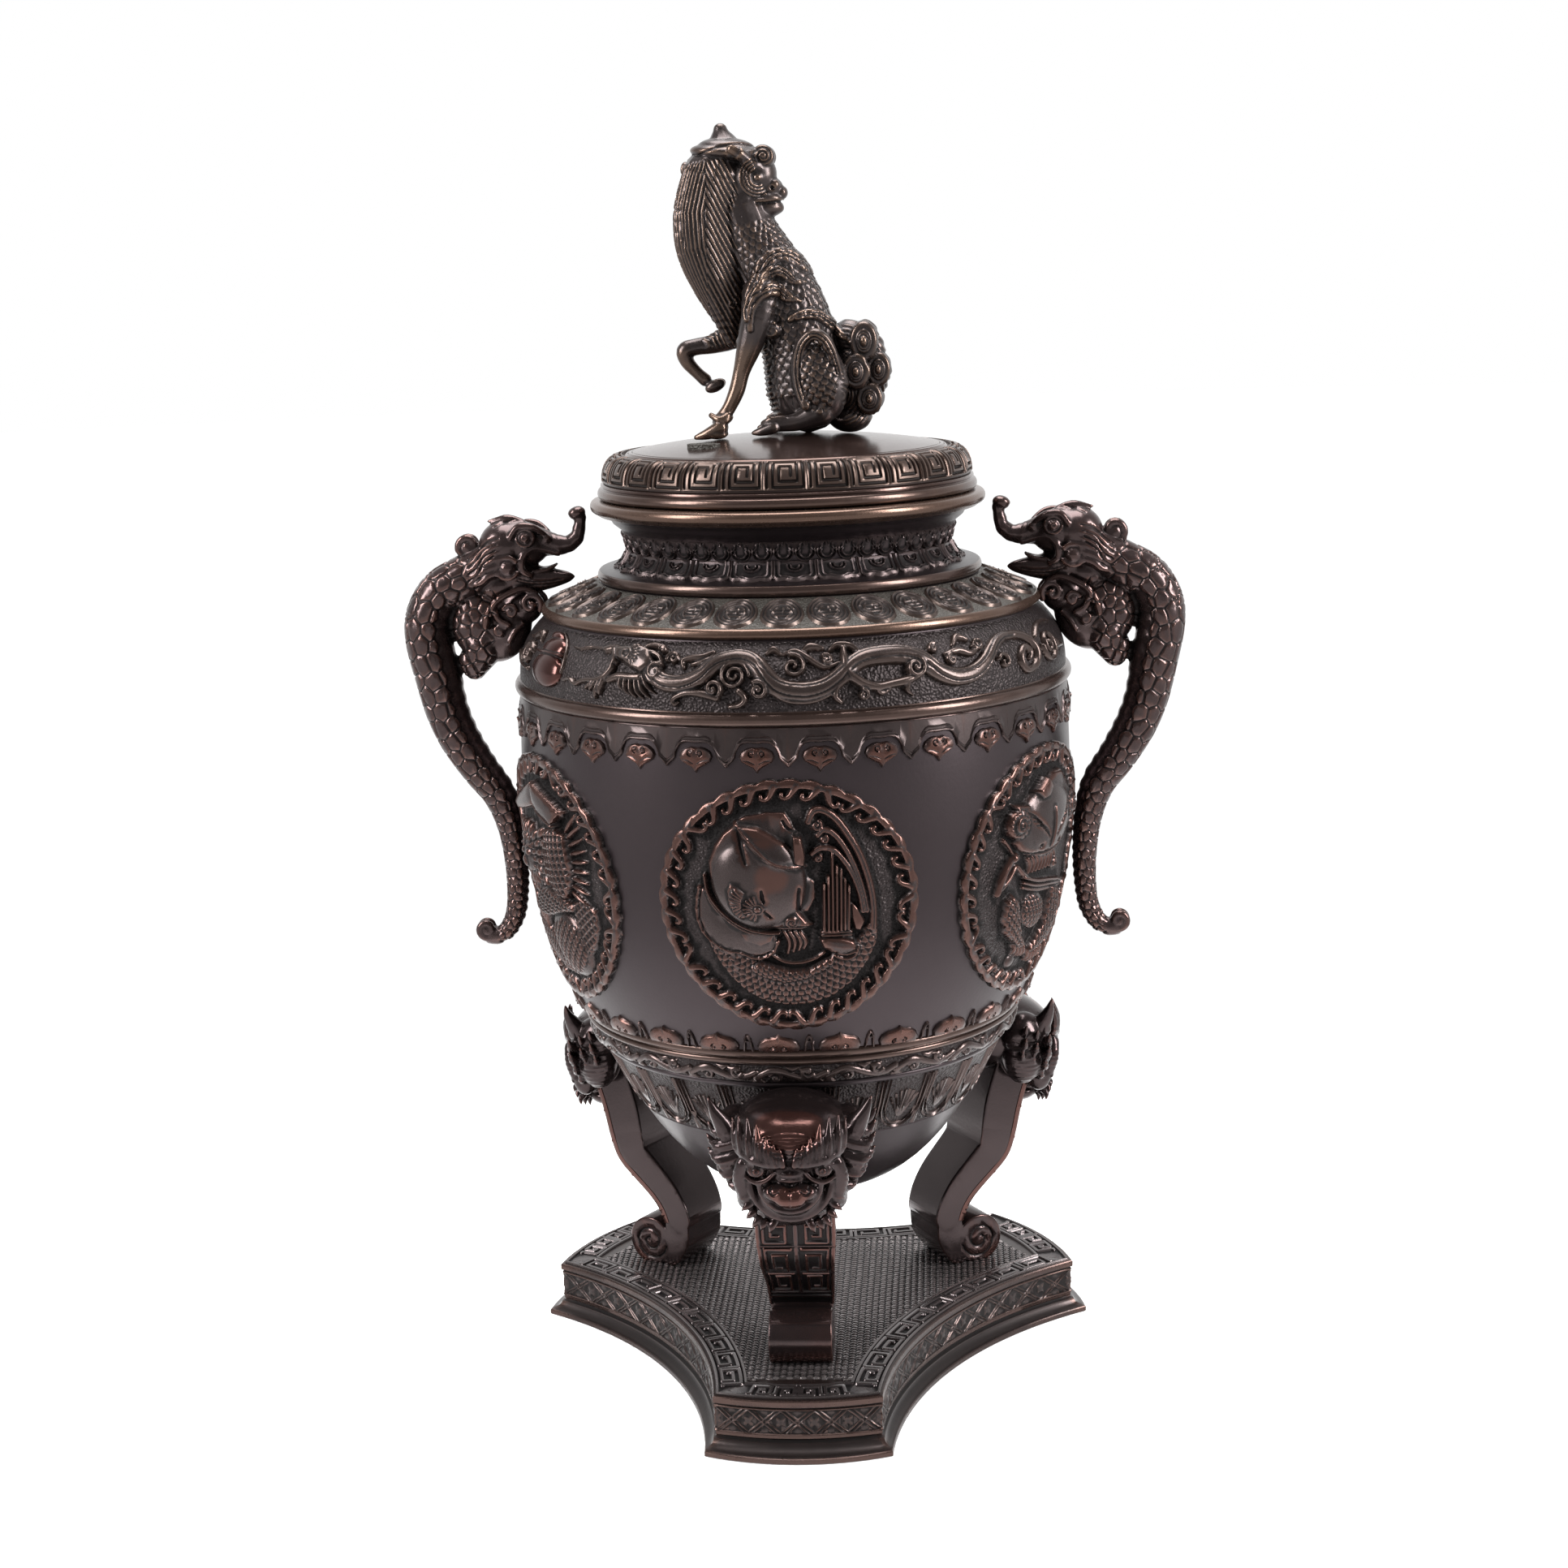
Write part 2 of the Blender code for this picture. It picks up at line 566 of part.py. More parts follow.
def fused(name, bm, scale, voxel, faces, smooths=3):
    """Melts overlapping masses into one skin and thins it to about the given number of faces."""
    bmesh.ops.scale(bm, vec=(scale, scale, scale), verts=bm.verts)
    obj = from_bmesh(name, bm)
    remesh = obj.modifiers.new("Melt", "REMESH")
    remesh.mode = "VOXEL"
    remesh.voxel_size = voxel
    settled(obj)
    soften = obj.modifiers.new("Soften", "SMOOTH")
    soften.factor = 0.5
    soften.iterations = smooths
    return thinned(settled(obj), faces)


# Legs

def leg_shaft():
    """Side outline of a leg's shaft and rolled foot, in millimetres out from the axis and up."""
    front = [(84, 84), (80.4, 75), (77, 62), (70.5, 54.5), (62, 46.5), (58, 40.5)]
    roll = [(64 + 9.3 * cos(radians(a)), 29.1 + 9.3 * sin(radians(a))) for a in (110, 65, 25, -15, -55, -90)]
    back = [(54, 19.8), (50, 23.5), (47.4, 33), (48.4, 43), (53, 52.5), (60, 61), (67, 70), (70, 84)]
    return front, roll, back


def shaft_half_width(z):
    """Half the width across a shaft at a height in millimetres."""
    if z < 36.0:
        return 10.7
    return 10.7 + 2.7 * min((z - 36.0) / 33.0, 1.0)


def leg_mask(bm):
    """Beast mask at a leg's top, in millimetres; x is out from the axis and y across."""
    add_ball(bm, (76, 0, 106), (17, 17, 16))
    add_ball(bm, (84, 0, 107), (16.5, 16, 12.5), lean=25)
    add_ball(bm, (86, 0, 93), (14, 17, 12))
    add_ball(bm, (90, 0, 82), (10.5, 12.5, 9))
    add_ball(bm, (84, 0, 76), (9, 13, 6))
    add_ball(bm, (97, 0, 83), (4.2, 6.5, 5.0))
    for side in (-1, 1):
        add_ball(bm, (95.5, 8.5 * side, 97.5), (7, 8, 5))
        add_ball(bm, (95, 7.5 * side, 81), (5, 6, 6))
        add_ball(bm, (83, 19 * side, 97), (9, 7.5, 13))
        add_ball(bm, (80, 19 * side, 108), (9, 7, 9))
        add_rod(bm, [(83, 20 * side, 98, 6), (87, 25.5 * side, 105, 4.2), (89, 29 * side, 112, 1.2)])
        add_rod(bm, [(87, 13 * side, 86, 5), (88, 18.5 * side, 80, 1.4)])
    return bm


def make_leg(name, azimuth, clearance):
    drawn_ring, drawn_floor, drawn_height = 0.0772, 0.0198, 0.0980
    reach = LOWER_RING_RADIUS - drawn_ring
    span = (THIN_RING_Z - PLINTH_HEIGHT) / drawn_height
    front, roll, back = leg_shaft()
    slices = ((-1.0, 4.5), (-0.72, 40.0), (0.72, 40.0), (1.0, 4.5))
    rings = []
    for across, depth in slices:
        ring = [(x, z) for x, z in front + roll]
        for x, z in back:
            face = min(front, key=lambda p: abs(p[1] - z))[0]
            on_shaft = z > 40.0
            ring.append((max(x, face - depth) if on_shaft else x + (2.5 if depth < 10 else 0.0), z))
        rings.append([(x, across * shaft_half_width(z), z) for x, z in ring])
    shaft = lofted("shaft", rings)
    shaft.data.transform(Matrix.Scale(MM, 4))
    mask = fused("mask", leg_mask(bmesh.new()), MM, FIGURE_VOXEL, FIGURE_FACES["mask"])
    leg = combined(mask, shaft, "UNION")
    for vert in leg.data.vertices:
        vert.co.x += reach
        vert.co.z = PLINTH_HEIGHT + GAP + (vert.co.z - drawn_floor) * span
    leg.data.transform(Matrix.Rotation(radians(azimuth), 4, "Z"))
    leg.name = name
    return combined(leg, clearance, "DIFFERENCE", keep_tool=True)


# Handles

def handle_figure():
    """Scaled beast with its trunk raised, in millimetres on the jar's right-hand side."""
    bm = bmesh.new()
    add_rod(bm, [(96, 0, 289, 7.6), (104, 0, 285, 7.8), (113, 0, 280.5, 7.6), (121, 0, 275.5, 8.0),
                 (125.8, 0, 267, 8.2), (126, 0, 259, 8.4), (123.6, 0, 248, 8.6), (121, 0, 235, 8.0),
                 (117, 0, 224.5, 7.6), (110.5, 0, 213.5, 7.0), (104.2, 0, 204.5, 6.3),
                 (100.6, 0, 193.5, 5.4), (99.2, 0, 181, 4.7), (99.2, 0, 170, 4.3),
                 (100.5, 0, 160.5, 4.0), (104.5, 0, 153.5, 3.7), (110.5, 0, 152.2, 3.3),
                 (113.8, 0, 156, 3.0), (111.2, 0, 158.6, 2.6)], sides=10)
    add_ball(bm, (91.5, 0, 291.5), (10.5, 8.0, 8.6), lean=8)
    add_ball(bm, (95.5, 0, 285.0), (6.5, 8.4, 5.5))
    add_rod(bm, [(86, 0, 292.5, 5.4), (79.5, 0, 293.5, 3.4), (74.5, 0, 294.6, 2.6), (70.9, 0, 298, 2.1),
                 (71.4, 0, 302, 1.8), (74.8, 0, 302.2, 1.3)], sides=8)
    add_rod(bm, [(90, 0, 286, 4.2), (83, 0, 284.3, 2.8), (77, 0, 281.4, 1.5)], sides=8)
    add_rod(bm, [(94, 0, 298, 3.0), (100, 0, 299, 2.2), (105, 0, 299.4, 0.8)], sides=8)
    add_ball(bm, (111, 0, 290.6), (3.6, 3.2, 3.6))
    add_ball(bm, (108.5, 0, 264), (9.5, 6.6, 13), lean=-18)
    add_rod(bm, [(109, 0, 258, 6.0), (110.5, 0, 251, 4.4), (110, 0, 247.5, 2.6)], sides=8)
    add_ball(bm, (99.5, 0, 264), (8.0, 7.0, 10.5), lean=20)
    add_ball(bm, (92.5, 0, 272.5), (7.0, 5.6, 4.6), lean=-10)
    return bm


def make_handle(name, mirrored, clearance):
    drawn_belly, drawn_top, drawn_height = 0.0948, 0.3035, 0.1546
    span = HANDLE_HEIGHT / drawn_height
    handle = fused(name, handle_figure(), MM, FIGURE_VOXEL, FIGURE_FACES["handle"])
    height = SHOULDER_Z + HANDLE_ABOVE_SHOULDER
    for vert in handle.data.vertices:
        vert.co.x += BELLY_RADIUS - drawn_belly
        vert.co.z = height + (vert.co.z - drawn_top) * span
    if mirrored:
        handle.data.transform(Matrix.Rotation(pi, 4, "Z"))
    return combined(handle, clearance, "DIFFERENCE", keep_tool=True)


# Finial

def kirin_figure():
    """Seated beast facing left with its head turned back, in millimetres above the floor."""
    bm = bmesh.new()
    trunk = [(8, 0, 341, 14), (6, 0, 355, 13.2), (2.5, 0, 369, 12.5), (-3.5, 0, 382, 11.0),
             (-9.5, 0, 393, 9.8), (-13, 0, 403, 9.4)]
    add_rod(bm, trunk)
    add_ball(bm, (-10.5, 1, 409.5), (10.5, 9.5, 11.0), lean=-12)
    add_ball(bm, (-2.5, 0, 404.5), (6.5, 6.2, 5.6), lean=-20)
    add_ball(bm, (-15.5, 0, 420.6), (13.5, 10.5, 3.6), lean=-4)
    add_rod(bm, [(-17.5, 0, 421, 6.0), (-18.2, 0, 425.3, 3.4), (-18.6, 0, 428.7, 2.0)])
    mane = [(-21.5, 0, 412, 11.5), (-24, 0, 401, 11.8), (-23.6, 0, 390, 11.6), (-20.8, 0, 379, 9.8),
            (-18, 0, 369, 6.8), (-16.8, 0, 359, 2.6)]
    add_rod(bm, mane)
    add_rod(bm, [(-7, -8.5, 372, 7.5), (-8.5, -10.5, 361, 6.2), (-12, -10.5, 352, 4.0),
                 (-15, -10.5, 342.5, 2.8), (-19.5, -11, 334, 2.7), (-23, -11.5, 330, 3.2)])
    add_ball(bm, (-25.5, -11.5, 328.6), (5.6, 4.6, 3.4))
    add_rod(bm, [(-9, 8.5, 368, 7.5), (-19, 8.5, 359, 4.8), (-27, 8.5, 357, 3.4), (-34, 8.5, 355.6, 3.0),
                 (-33.2, 8.5, 350, 2.4), (-28.5, 8.5, 345.5, 2.4)])
    add_ball(bm, (-24.2, 8.5, 343.6), (4.0, 3.6, 2.6), lean=30)
    for side in (-1, 1):
        add_ball(bm, (12.5, 12.5 * side, 345), (9.5, 6.5, 13.8), lean=14)
        add_rod(bm, [(13, 13 * side, 335, 5.4), (4, 13.5 * side, 332, 3.4), (-4, 13.5 * side, 331.5, 2.8)])
        add_ball(bm, (-7.0, 13.5 * side, 330.2), (4.0, 3.8, 3.2))
    add_ball(bm, (25, 2, 344), (8.8, 10.5, 15.5))
    add_ball(bm, (24, 2, 359.5), (6.0, 7.5, 5.6))
    add_ball(bm, (30.4, 0, 347.5), (4.0, 5.5, 8.5))
    add_ball(bm, (23, 3, 331), (6.5, 9.5, 5.0))
    for side in (-1, 1):
        add_rod(bm, [(-9, 9 * side, 416, 3.0), (-12, 11.5 * side, 420, 1.6)])
    return bm


def make_kirin(clearance):
    kirin = fused("kirin", kirin_figure(), MM, FIGURE_VOXEL, FIGURE_FACES["kirin"])
    drawn_floor, drawn_height = 0.3274, 0.1026
    span = KIRIN_HEIGHT / drawn_height
    for vert in kirin.data.vertices:
        vert.co.x *= span
        vert.co.y *= span
        vert.co.z = LID_TOP_Z + (vert.co.z - drawn_floor) * span
    return combined(kirin, clearance, "DIFFERENCE", keep_tool=True)


def bronze(name, colour, rough):
    material = bpy.data.materials.new(name)
    material.use_nodes = True
    shader = material.node_tree.nodes["Principled BSDF"]
    shader.inputs["Base Color"].default_value = (*colour, 1.0)
    shader.inputs["Roughness"].default_value = rough
    shader.inputs["Metallic"].default_value = 0.85
    return material


def main():
    for old in list(bpy.data.objects):
        bpy.data.objects.remove(old)
    parts = collection("Incense burner")
    cutters = collection("Cutters")
    jar_form = jar_clearance()
    lid_form = lid_clearance()
    pieces = [
        (make_plinth(), (0.060, 0.045, 0.042), 0.42),
        (make_jar(), (0.062, 0.050, 0.050), 0.38),
        (make_lid(), (0.070, 0.046, 0.036), 0.28),
        (make_kirin(lid_form), (0.075, 0.058, 0.045), 0.40),
    ]
    for name, azimuth in LEG_AZIMUTHS.items():
        pieces.append((make_leg(name, azimuth, jar_form), (0.055, 0.034, 0.030), 0.33))
    for name, mirrored in (("handle_right", False), ("handle_left", True)):
        pieces.append((make_handle(name, mirrored, jar_form), (0.058, 0.038, 0.035), 0.45))
    for obj, colour, rough in pieces:
        obj.data.materials.clear()
        obj.data.materials.append(bronze(obj.name + " bronze", colour, rough))
        obj.data.shade_smooth()
        obj.data.set_sharp_from_angle(angle=radians(35))
        parts.objects.link(obj)
        bpy.context.scene.collection.objects.unlink(obj)
    for obj in (jar_form, lid_form):
        obj.hide_render = True
        obj.display_type = "WIRE"
        cutters.objects.link(obj)
        bpy.context.scene.collection.objects.unlink(obj)


main()
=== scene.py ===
from math import atan2, cos, hypot, pi, radians, sin, tau

import bmesh
import bpy
import numpy as np
from mathutils import Matrix, Vector


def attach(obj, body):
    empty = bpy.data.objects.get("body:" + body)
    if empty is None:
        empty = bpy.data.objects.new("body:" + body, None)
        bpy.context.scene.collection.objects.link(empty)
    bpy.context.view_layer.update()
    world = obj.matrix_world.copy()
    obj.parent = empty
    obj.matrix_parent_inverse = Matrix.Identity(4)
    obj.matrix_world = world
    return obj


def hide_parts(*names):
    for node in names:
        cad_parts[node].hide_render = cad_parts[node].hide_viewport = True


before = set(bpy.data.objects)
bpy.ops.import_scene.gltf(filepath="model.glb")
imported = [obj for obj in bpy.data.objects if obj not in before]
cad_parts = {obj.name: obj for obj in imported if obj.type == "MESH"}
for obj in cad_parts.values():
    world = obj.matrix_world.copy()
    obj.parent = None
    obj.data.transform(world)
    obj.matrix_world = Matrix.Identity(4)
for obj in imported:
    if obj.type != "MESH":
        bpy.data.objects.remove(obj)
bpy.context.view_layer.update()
mm = 0.001
tiny, far = 1e-9, 1e9

# Boards: flat height fields that the carving functions work on, x across, y up, h out


def newBoard(width, height, step):
    across = int(round(width / step)) + 1
    up = int(round(height / step)) + 1
    x, y = np.meshgrid(np.linspace(-width / 2, width / 2, across), np.linspace(-height / 2, height / 2, up))
    return {"x": x, "y": y, "h": np.zeros_like(x)}


def windowOf(board, low, high):
    left, right = np.searchsorted(board["x"][0], (low[0], high[0]))
    bottom, top = np.searchsorted(board["y"][:, 0], (low[1], high[1]))
    return slice(max(bottom - 1, 0), top + 1), slice(max(left - 1, 0), right + 1)


whole = (slice(None), slice(None))


def carve(board, window, shape, how):
    h = board["h"]
    if how == "over":
        h[window] = np.maximum(h[window], shape)
    elif how == "add":
        h[window] += shape
    elif how == "cut":
        h[window] -= shape


def smoothLine(points, pieces=5):
    # a smooth curve through points of any width
    pts = np.array(points, float)
    ends = np.vstack([pts[:1], pts, pts[-1:]])
    steps = np.linspace(0, 1, pieces, endpoint=False)[:, None]
    runs = []
    for a, b, c, d in zip(ends, ends[1:], ends[2:], ends[3:]):
        runs.append(0.5 * (2 * b + (c - a) * steps + (2 * a - 5 * b + 4 * c - d) * steps**2
                           + (3 * b - a - 3 * c + d) * steps**3))
    return np.vstack(runs + [pts[-1:]])


def mirrored(points):
    # a path from its left end to the middle, carried on to the right
    pts = [tuple(p) for p in points]
    back = [(-p[0],) + p[1:] for p in pts[::-1]]
    return pts + (back[1:] if abs(pts[-1][0]) < 1e-6 else back)


def widths(points, half):
    return [(p[0], p[1], half) for p in points]


def oval(centre, across, up, half, count=17, first=0.0, last=tau):
    return [(centre[0] + across * cos(a), centre[1] + up * sin(a), half)
            for a in np.linspace(first, last, count)]


def offSegment(x, y, a, b):
    # where each point lies beside the straight line from a to b: its share of the way, and its distance
    run = b[:2] - a[:2]
    along = np.clip(((x - a[0]) * run[0] + (y - a[1]) * run[1]) / max(run @ run, tiny), 0, 1)
    return along, np.hypot(x - a[0] - along * run[0], y - a[1] - along * run[1])


def stroke(x, y, pts, square=False):
    # 0 outside a line of (x, y, half width) points, up to 1 on its middle
    widest = pts[:, 2].max()
    shape = np.zeros_like(x)
    for a, b in zip(pts, pts[1:]):
        along, gap = offSegment(x, y, a, b)
        half = a[2] + (b[2] - a[2]) * along
        off = gap / np.maximum(half, 1e-6)
        if square:
            rise = np.clip((1 - off) * 3, 0, 1)
        else:
            rise = np.sqrt(np.clip(1 - off**2, 0, 1)) * np.sqrt(half / widest)
        shape = np.maximum(shape, rise)
    return shape


def ridge(board, points, height, how="over", square=False):
    # a raised or sunk line through (x, y, half width) points
    pts = np.array(points, float)
    widest = pts[:, 2].max()
    window = windowOf(board, pts[:, :2].min(0) - widest, pts[:, :2].max(0) + widest)
    carve(board, window, height * stroke(board["x"][window], board["y"][window], pts, square), how)


def mound(board, centre, half, height, lean=0.0, how="over", roundness=0.5):
    reach = max(half)
    window = windowOf(board, (centre[0] - reach, centre[1] - reach), (centre[0] + reach, centre[1] + reach))
    x, y = board["x"][window] - centre[0], board["y"][window] - centre[1]
    c, s = cos(radians(lean)), sin(radians(lean))
    u, v = (x * c + y * s) / half[0], (y * c - x * s) / half[1]
    carve(board, window, height * np.clip(1 - u**2 - v**2, 0, 1) ** roundness, how)


def plateMask(board, window, outline, edge):
    # 0 outside a closed outline, rising to 1 at the edge's width inside it
    pts = np.array(outline, float)
    x, y = board["x"][window], board["y"][window]
    inside = np.zeros(x.shape, bool)
    nearest = np.full(x.shape, far)
    for a, b in zip(pts, np.roll(pts, -1, 0)):
        nearest = np.minimum(nearest, offSegment(x, y, a, b)[1])
        crosses = (a[1] > y) != (b[1] > y)
        if crosses.any():
            inside ^= crosses & (x < a[0] + (y - a[1]) * (b[0] - a[0]) / (b[1] - a[1] or tiny))
    return np.clip(np.where(inside, nearest, 0) / edge, 0, 1)


def plate(board, outline, height, edge=0.5, how="over", swell=0.0):
    pts = np.array(outline, float)
    window = windowOf(board, pts.min(0), pts.max(0))
    near = plateMask(board, window, outline, edge)
    shape = np.sin(near * pi / 2)
    if swell:
        shape = shape + swell * plateMask(board, window, outline, np.ptp(pts, axis=0).min() / 2) ** 0.6
    carve(board, window, height * shape, how)


def curl(centre, radius, start, turns, half, inner=0.2, thin=0.5):
    # spiral line from its outside in: start in degrees, turns signed
    count = max(int(abs(turns) * 16), 8)
    share = np.linspace(0, 1, count + 1)
    reach = radius * (1 - (1 - inner) * share)
    angle = radians(start) + tau * turns * share
    return np.column_stack([centre[0] + reach * np.cos(angle), centre[1] + reach * np.sin(angle),
                            half * (1 - (1 - thin) * share)])


def scaleRelief(along, across, pitch, width):
    # overlapping round-ended scales with their tips towards +along, 0 to 1
    heights = []
    covers = []
    for shift in (0, 1):
        row = np.floor(along / pitch) - shift
        offset = 0.5 * (row % 2)
        middle = np.round(across / width - offset) + offset
        side = (across / width - middle) * 2
        reach = (along / pitch - row) / 2
        tip = np.sqrt(np.clip(1 - np.abs(side) ** 2.4, 0, 1)) * 0.98
        covers.append(reach < tip)
        heights.append(np.clip(reach / np.maximum(tip, 0.05), 0, 1) * 0.6 + 0.4 * (1 - side**2))
    return np.where(covers[1], heights[1], heights[0] * 0.55)


# Surfaces that boards are laid on


def measured(points):
    # a line's points, the length up to each of them and the way the line runs there
    line = np.array(points, float)
    length = np.concatenate([[0.0], np.cumsum(np.hypot(*np.diff(line, axis=0).T))])
    tangent = np.gradient(line, length, axis=0)
    return line, length, tangent / np.linalg.norm(tangent, axis=1)[:, None]


def upTheSide(radiusOf, start, end, count):
    return [(float(radiusOf(z)), z) for z in np.linspace(start, end, count)]


def bandSurface(profile, azimuth, turnRadius=None, base=0.0):
    # profile is (r, z) from bottom to top; a board's y runs along it from its middle
    line, length, tangent = measured(profile)
    turnRadius = turnRadius or line[:, 0].mean()

    def place(co):
        s = np.clip(co[:, 1] + length[-1] / 2, 0, length[-1])
        r = np.interp(s, length, line[:, 0]) + (co[:, 2] + base) * np.interp(s, length, tangent[:, 1])
        z = np.interp(s, length, line[:, 1]) - (co[:, 2] + base) * np.interp(s, length, tangent[:, 0])
        angle = radians(azimuth) + co[:, 0] / turnRadius
        return np.column_stack([r * np.cos(angle), r * np.sin(angle), z])

    place.length = length[-1]
    place.turnRadius = turnRadius
    return place


def coordinates(mesh):
    co = np.empty(len(mesh.vertices) * 3)
    mesh.vertices.foreach_get("co", co)
    return co.reshape(-1, 3)


def setCoordinates(mesh, co):
    mesh.vertices.foreach_set("co", np.ascontiguousarray(co, dtype=float).ravel())
    mesh.update()


def newObject(name, bm):
    mesh = bpy.data.meshes.new(name)
    bm.to_mesh(mesh)
    bm.free()
    obj = bpy.data.objects.new(name, mesh)
    bpy.context.scene.collection.objects.link(obj)
    return obj


def bakeModifiers(obj):
    bpy.context.view_layer.update()
    graph = bpy.context.evaluated_depsgraph_get()
    mesh = bpy.data.meshes.new_from_object(obj.evaluated_get(graph))
    obj.modifiers.clear()
    obj.data = mesh
    return obj


def thin(obj, triangles):
    count = sum(len(face.vertices) - 2 for face in obj.data.polygons)
    if count > triangles:
        modifier = obj.modifiers.new("Thin", "DECIMATE")
        modifier.ratio = triangles / count
        bakeModifiers(obj)
    return obj


def dropFlakes(obj):
    # thinning a figure leaves a few pairs of faces back to back on the same corners, joined to nothing
    bm = bmesh.new()
    bm.from_mesh(obj.data)
    flakes = [face for face in bm.faces
              if len({near for edge in face.edges for near in edge.link_faces}) == 2]
    bmesh.ops.delete(bm, geom=flakes, context="FACES")
    bm.to_mesh(obj.data)
    bm.free()


def normalsOf(mesh):
    normals = np.empty(len(mesh.vertices) * 3)
    mesh.vertices.foreach_get("normal", normals)
    return normals.reshape(-1, 3)


def storeWearAndShade(obj, near=3, wide=14, strength=1.0):
    # how far each point stands out from its smoothed surroundings, kept for the bronze: worn where it stands
    # out, painted shade where it lies deep
    mesh = obj.data
    co = coordinates(mesh)
    edges = np.empty(len(mesh.edges) * 2, int)
    mesh.edges.foreach_get("vertices", edges)
    a, b = edges.reshape(-1, 2).T
    degree = np.maximum(np.bincount(np.concatenate([a, b]), minlength=len(co)), 1)[:, None]
    normals = normalsOf(mesh)
    smooth = co.copy()
    wear_and_shade = np.zeros(len(co))
    for turn in range(1, wide + 1):
        total = np.column_stack([
            np.bincount(a, smooth[b, k], len(co)) + np.bincount(b, smooth[a, k], len(co)) for k in range(3)])
        smooth = 0.35 * smooth + 0.65 * total / degree
        if turn in (near, wide):
            wear_and_shade += ((co - smooth) * normals).sum(1) * (6.0 if turn == near else 2.2)
    layer = mesh.attributes.get("wear_and_shade") or mesh.attributes.new("wear_and_shade", "FLOAT", "POINT")
    layer.data.foreach_set("value", np.clip(wear_and_shade * strength, -1, 1).astype(np.float32))
    return obj


def boardObject(name, board, surface, triangles, keep=None, depth=1.6):
    # the board as a closed slab laid on a surface; keep masks the points that stay
    rows, columns = board["h"].shape
    bm = bmesh.new()
    bmesh.ops.create_grid(bm, x_segments=columns - 1, y_segments=rows - 1, size=1.0)
    layer = bm.verts.layers.float.new("lift")
    heights = board["h"].ravel()
    for vert, x, y, h in zip(bm.verts, board["x"].ravel(), board["y"].ravel(), heights):
        vert.co = (x, y, -depth)
        vert[layer] = h
    if keep is not None:
        gone = [vert for vert, stays in zip(bm.verts, keep.ravel()) if not stays]
        bmesh.ops.delete(bm, geom=gone, context="VERTS")
        loose = [vert for vert in bm.verts if not vert.link_faces]
        bmesh.ops.delete(bm, geom=loose, context="VERTS")
    made = bmesh.ops.extrude_face_region(bm, geom=bm.faces[:], use_keep_orig=True)
    for vert in made["geom"]:
        if isinstance(vert, bmesh.types.BMVert):
            vert.co.z = vert[layer]
    bmesh.ops.recalc_face_normals(bm, faces=bm.faces)
    obj = newObject(name, bm)
    setCoordinates(obj.data, surface(coordinates(obj.data)))
    return thin(storeWearAndShade(obj), triangles)


def turnedObject(name, profile, steps, parts, zoneOf):
    # spun from (r, z) points that run down the outside; zoneOf names a face's part from its middle
    bm = bmesh.new()
    verts = [bm.verts.new((r, 0.0, z)) for r, z in profile]
    edges = [bm.edges.new(pair) for pair in zip(verts, verts[1:])]
    if profile[0][0] > 0:
        edges.append(bm.edges.new((verts[-1], verts[0])))
    bmesh.ops.spin(bm, geom=verts + edges, cent=(0, 0, 0), axis=(0, 0, 1), angle=tau, steps=steps,
                   use_merge=True)
    bmesh.ops.remove_doubles(bm, verts=bm.verts, dist=0.001)
    bmesh.ops.recalc_face_normals(bm, faces=bm.faces)
    for face in bm.faces:
        middle = face.calc_center_median()
        face.material_index = parts.index(zoneOf(hypot(middle.x, middle.y), middle.z, face.normal))
    return newObject(name, bm)


def rounded(profile, start, end, proud, count=8):
    # adds a bead: a half-round ring standing proud between two points of a profile
    for i in range(count + 1):
        turn = pi * i / count
        share = (1 - cos(turn)) / 2
        profile.append((start[0] + (end[0] - start[0]) * share + proud * sin(turn),
                        start[1] + (end[1] - start[1]) * share))


def joinObjects(name, objects):
    bm = bmesh.new()
    for obj in objects:
        bm.from_mesh(obj.data)
        bpy.data.objects.remove(obj)
    return newObject(name, bm)


def turnedCopies(name, obj, count, first):
    # one mesh repeated round the axis and joined, the first being removed
    bm = bmesh.new()
    for i in range(count):
        copy = obj.data.copy()
        copy.transform(Matrix.Rotation(radians(first + 360.0 * i / count), 4, "Z"))
        bm.from_mesh(copy)
        bpy.data.meshes.remove(copy)
    bpy.data.objects.remove(obj)
    return newObject(name, bm)


def finish(obj, materials, replaces=None, sharp=40):
    # metres, shading, the named finishes and what the piece rides on
    mesh = obj.data
    mesh.transform(Matrix.Scale(mm, 4))
    for name in [materials] if isinstance(materials, str) else materials:
        mesh.materials.append(finishes[name])
    mesh.shade_smooth()
    mesh.set_sharp_from_angle(angle=radians(sharp))
    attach(obj, "root")
    if replaces:
        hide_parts(replaces)
    return obj


def hiddenCopy(obj, name, baseOf, turnAbout, relief, triangles):
    # the same carving, lower and turned the other way, for the hidden side
    behind = bpy.data.objects.new(name, obj.data.copy())
    bpy.context.scene.collection.objects.link(behind)
    co = coordinates(behind.data)
    base = baseOf(co[:, 2])
    lift = np.hypot(co[:, 0], co[:, 1]) - base
    kept, tallest = 0.2, 1.6  # low ground stays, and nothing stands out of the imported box
    lower = base + np.where(lift > kept, kept + tallest * np.tanh((lift - kept) * relief / tallest), lift)
    turn = turnAbout - np.arctan2(co[:, 1], co[:, 0])
    setCoordinates(behind.data, np.column_stack([lower * np.cos(turn), lower * np.sin(turn), co[:, 2]]))
    behind.data.flip_normals()
    return thin(behind, triangles)


def standing(board):
    # the points that stand up, and their neighbours
    up = board["h"] > 0.02
    near = up.copy()
    near[1:] |= up[:-1]
    near[:-1] |= up[1:]
    near[:, 1:] |= up[:, :-1]
    near[:, :-1] |= up[:, 1:]
    return near

# Figures: masses melted together, then lines and scales raised or sunk in the skin


def lump(clay, bm):
    # clay is a list of meshes to be melted together
    mesh = bpy.data.meshes.new("lump")
    bm.to_mesh(mesh)
    bm.free()
    clay.append(mesh)


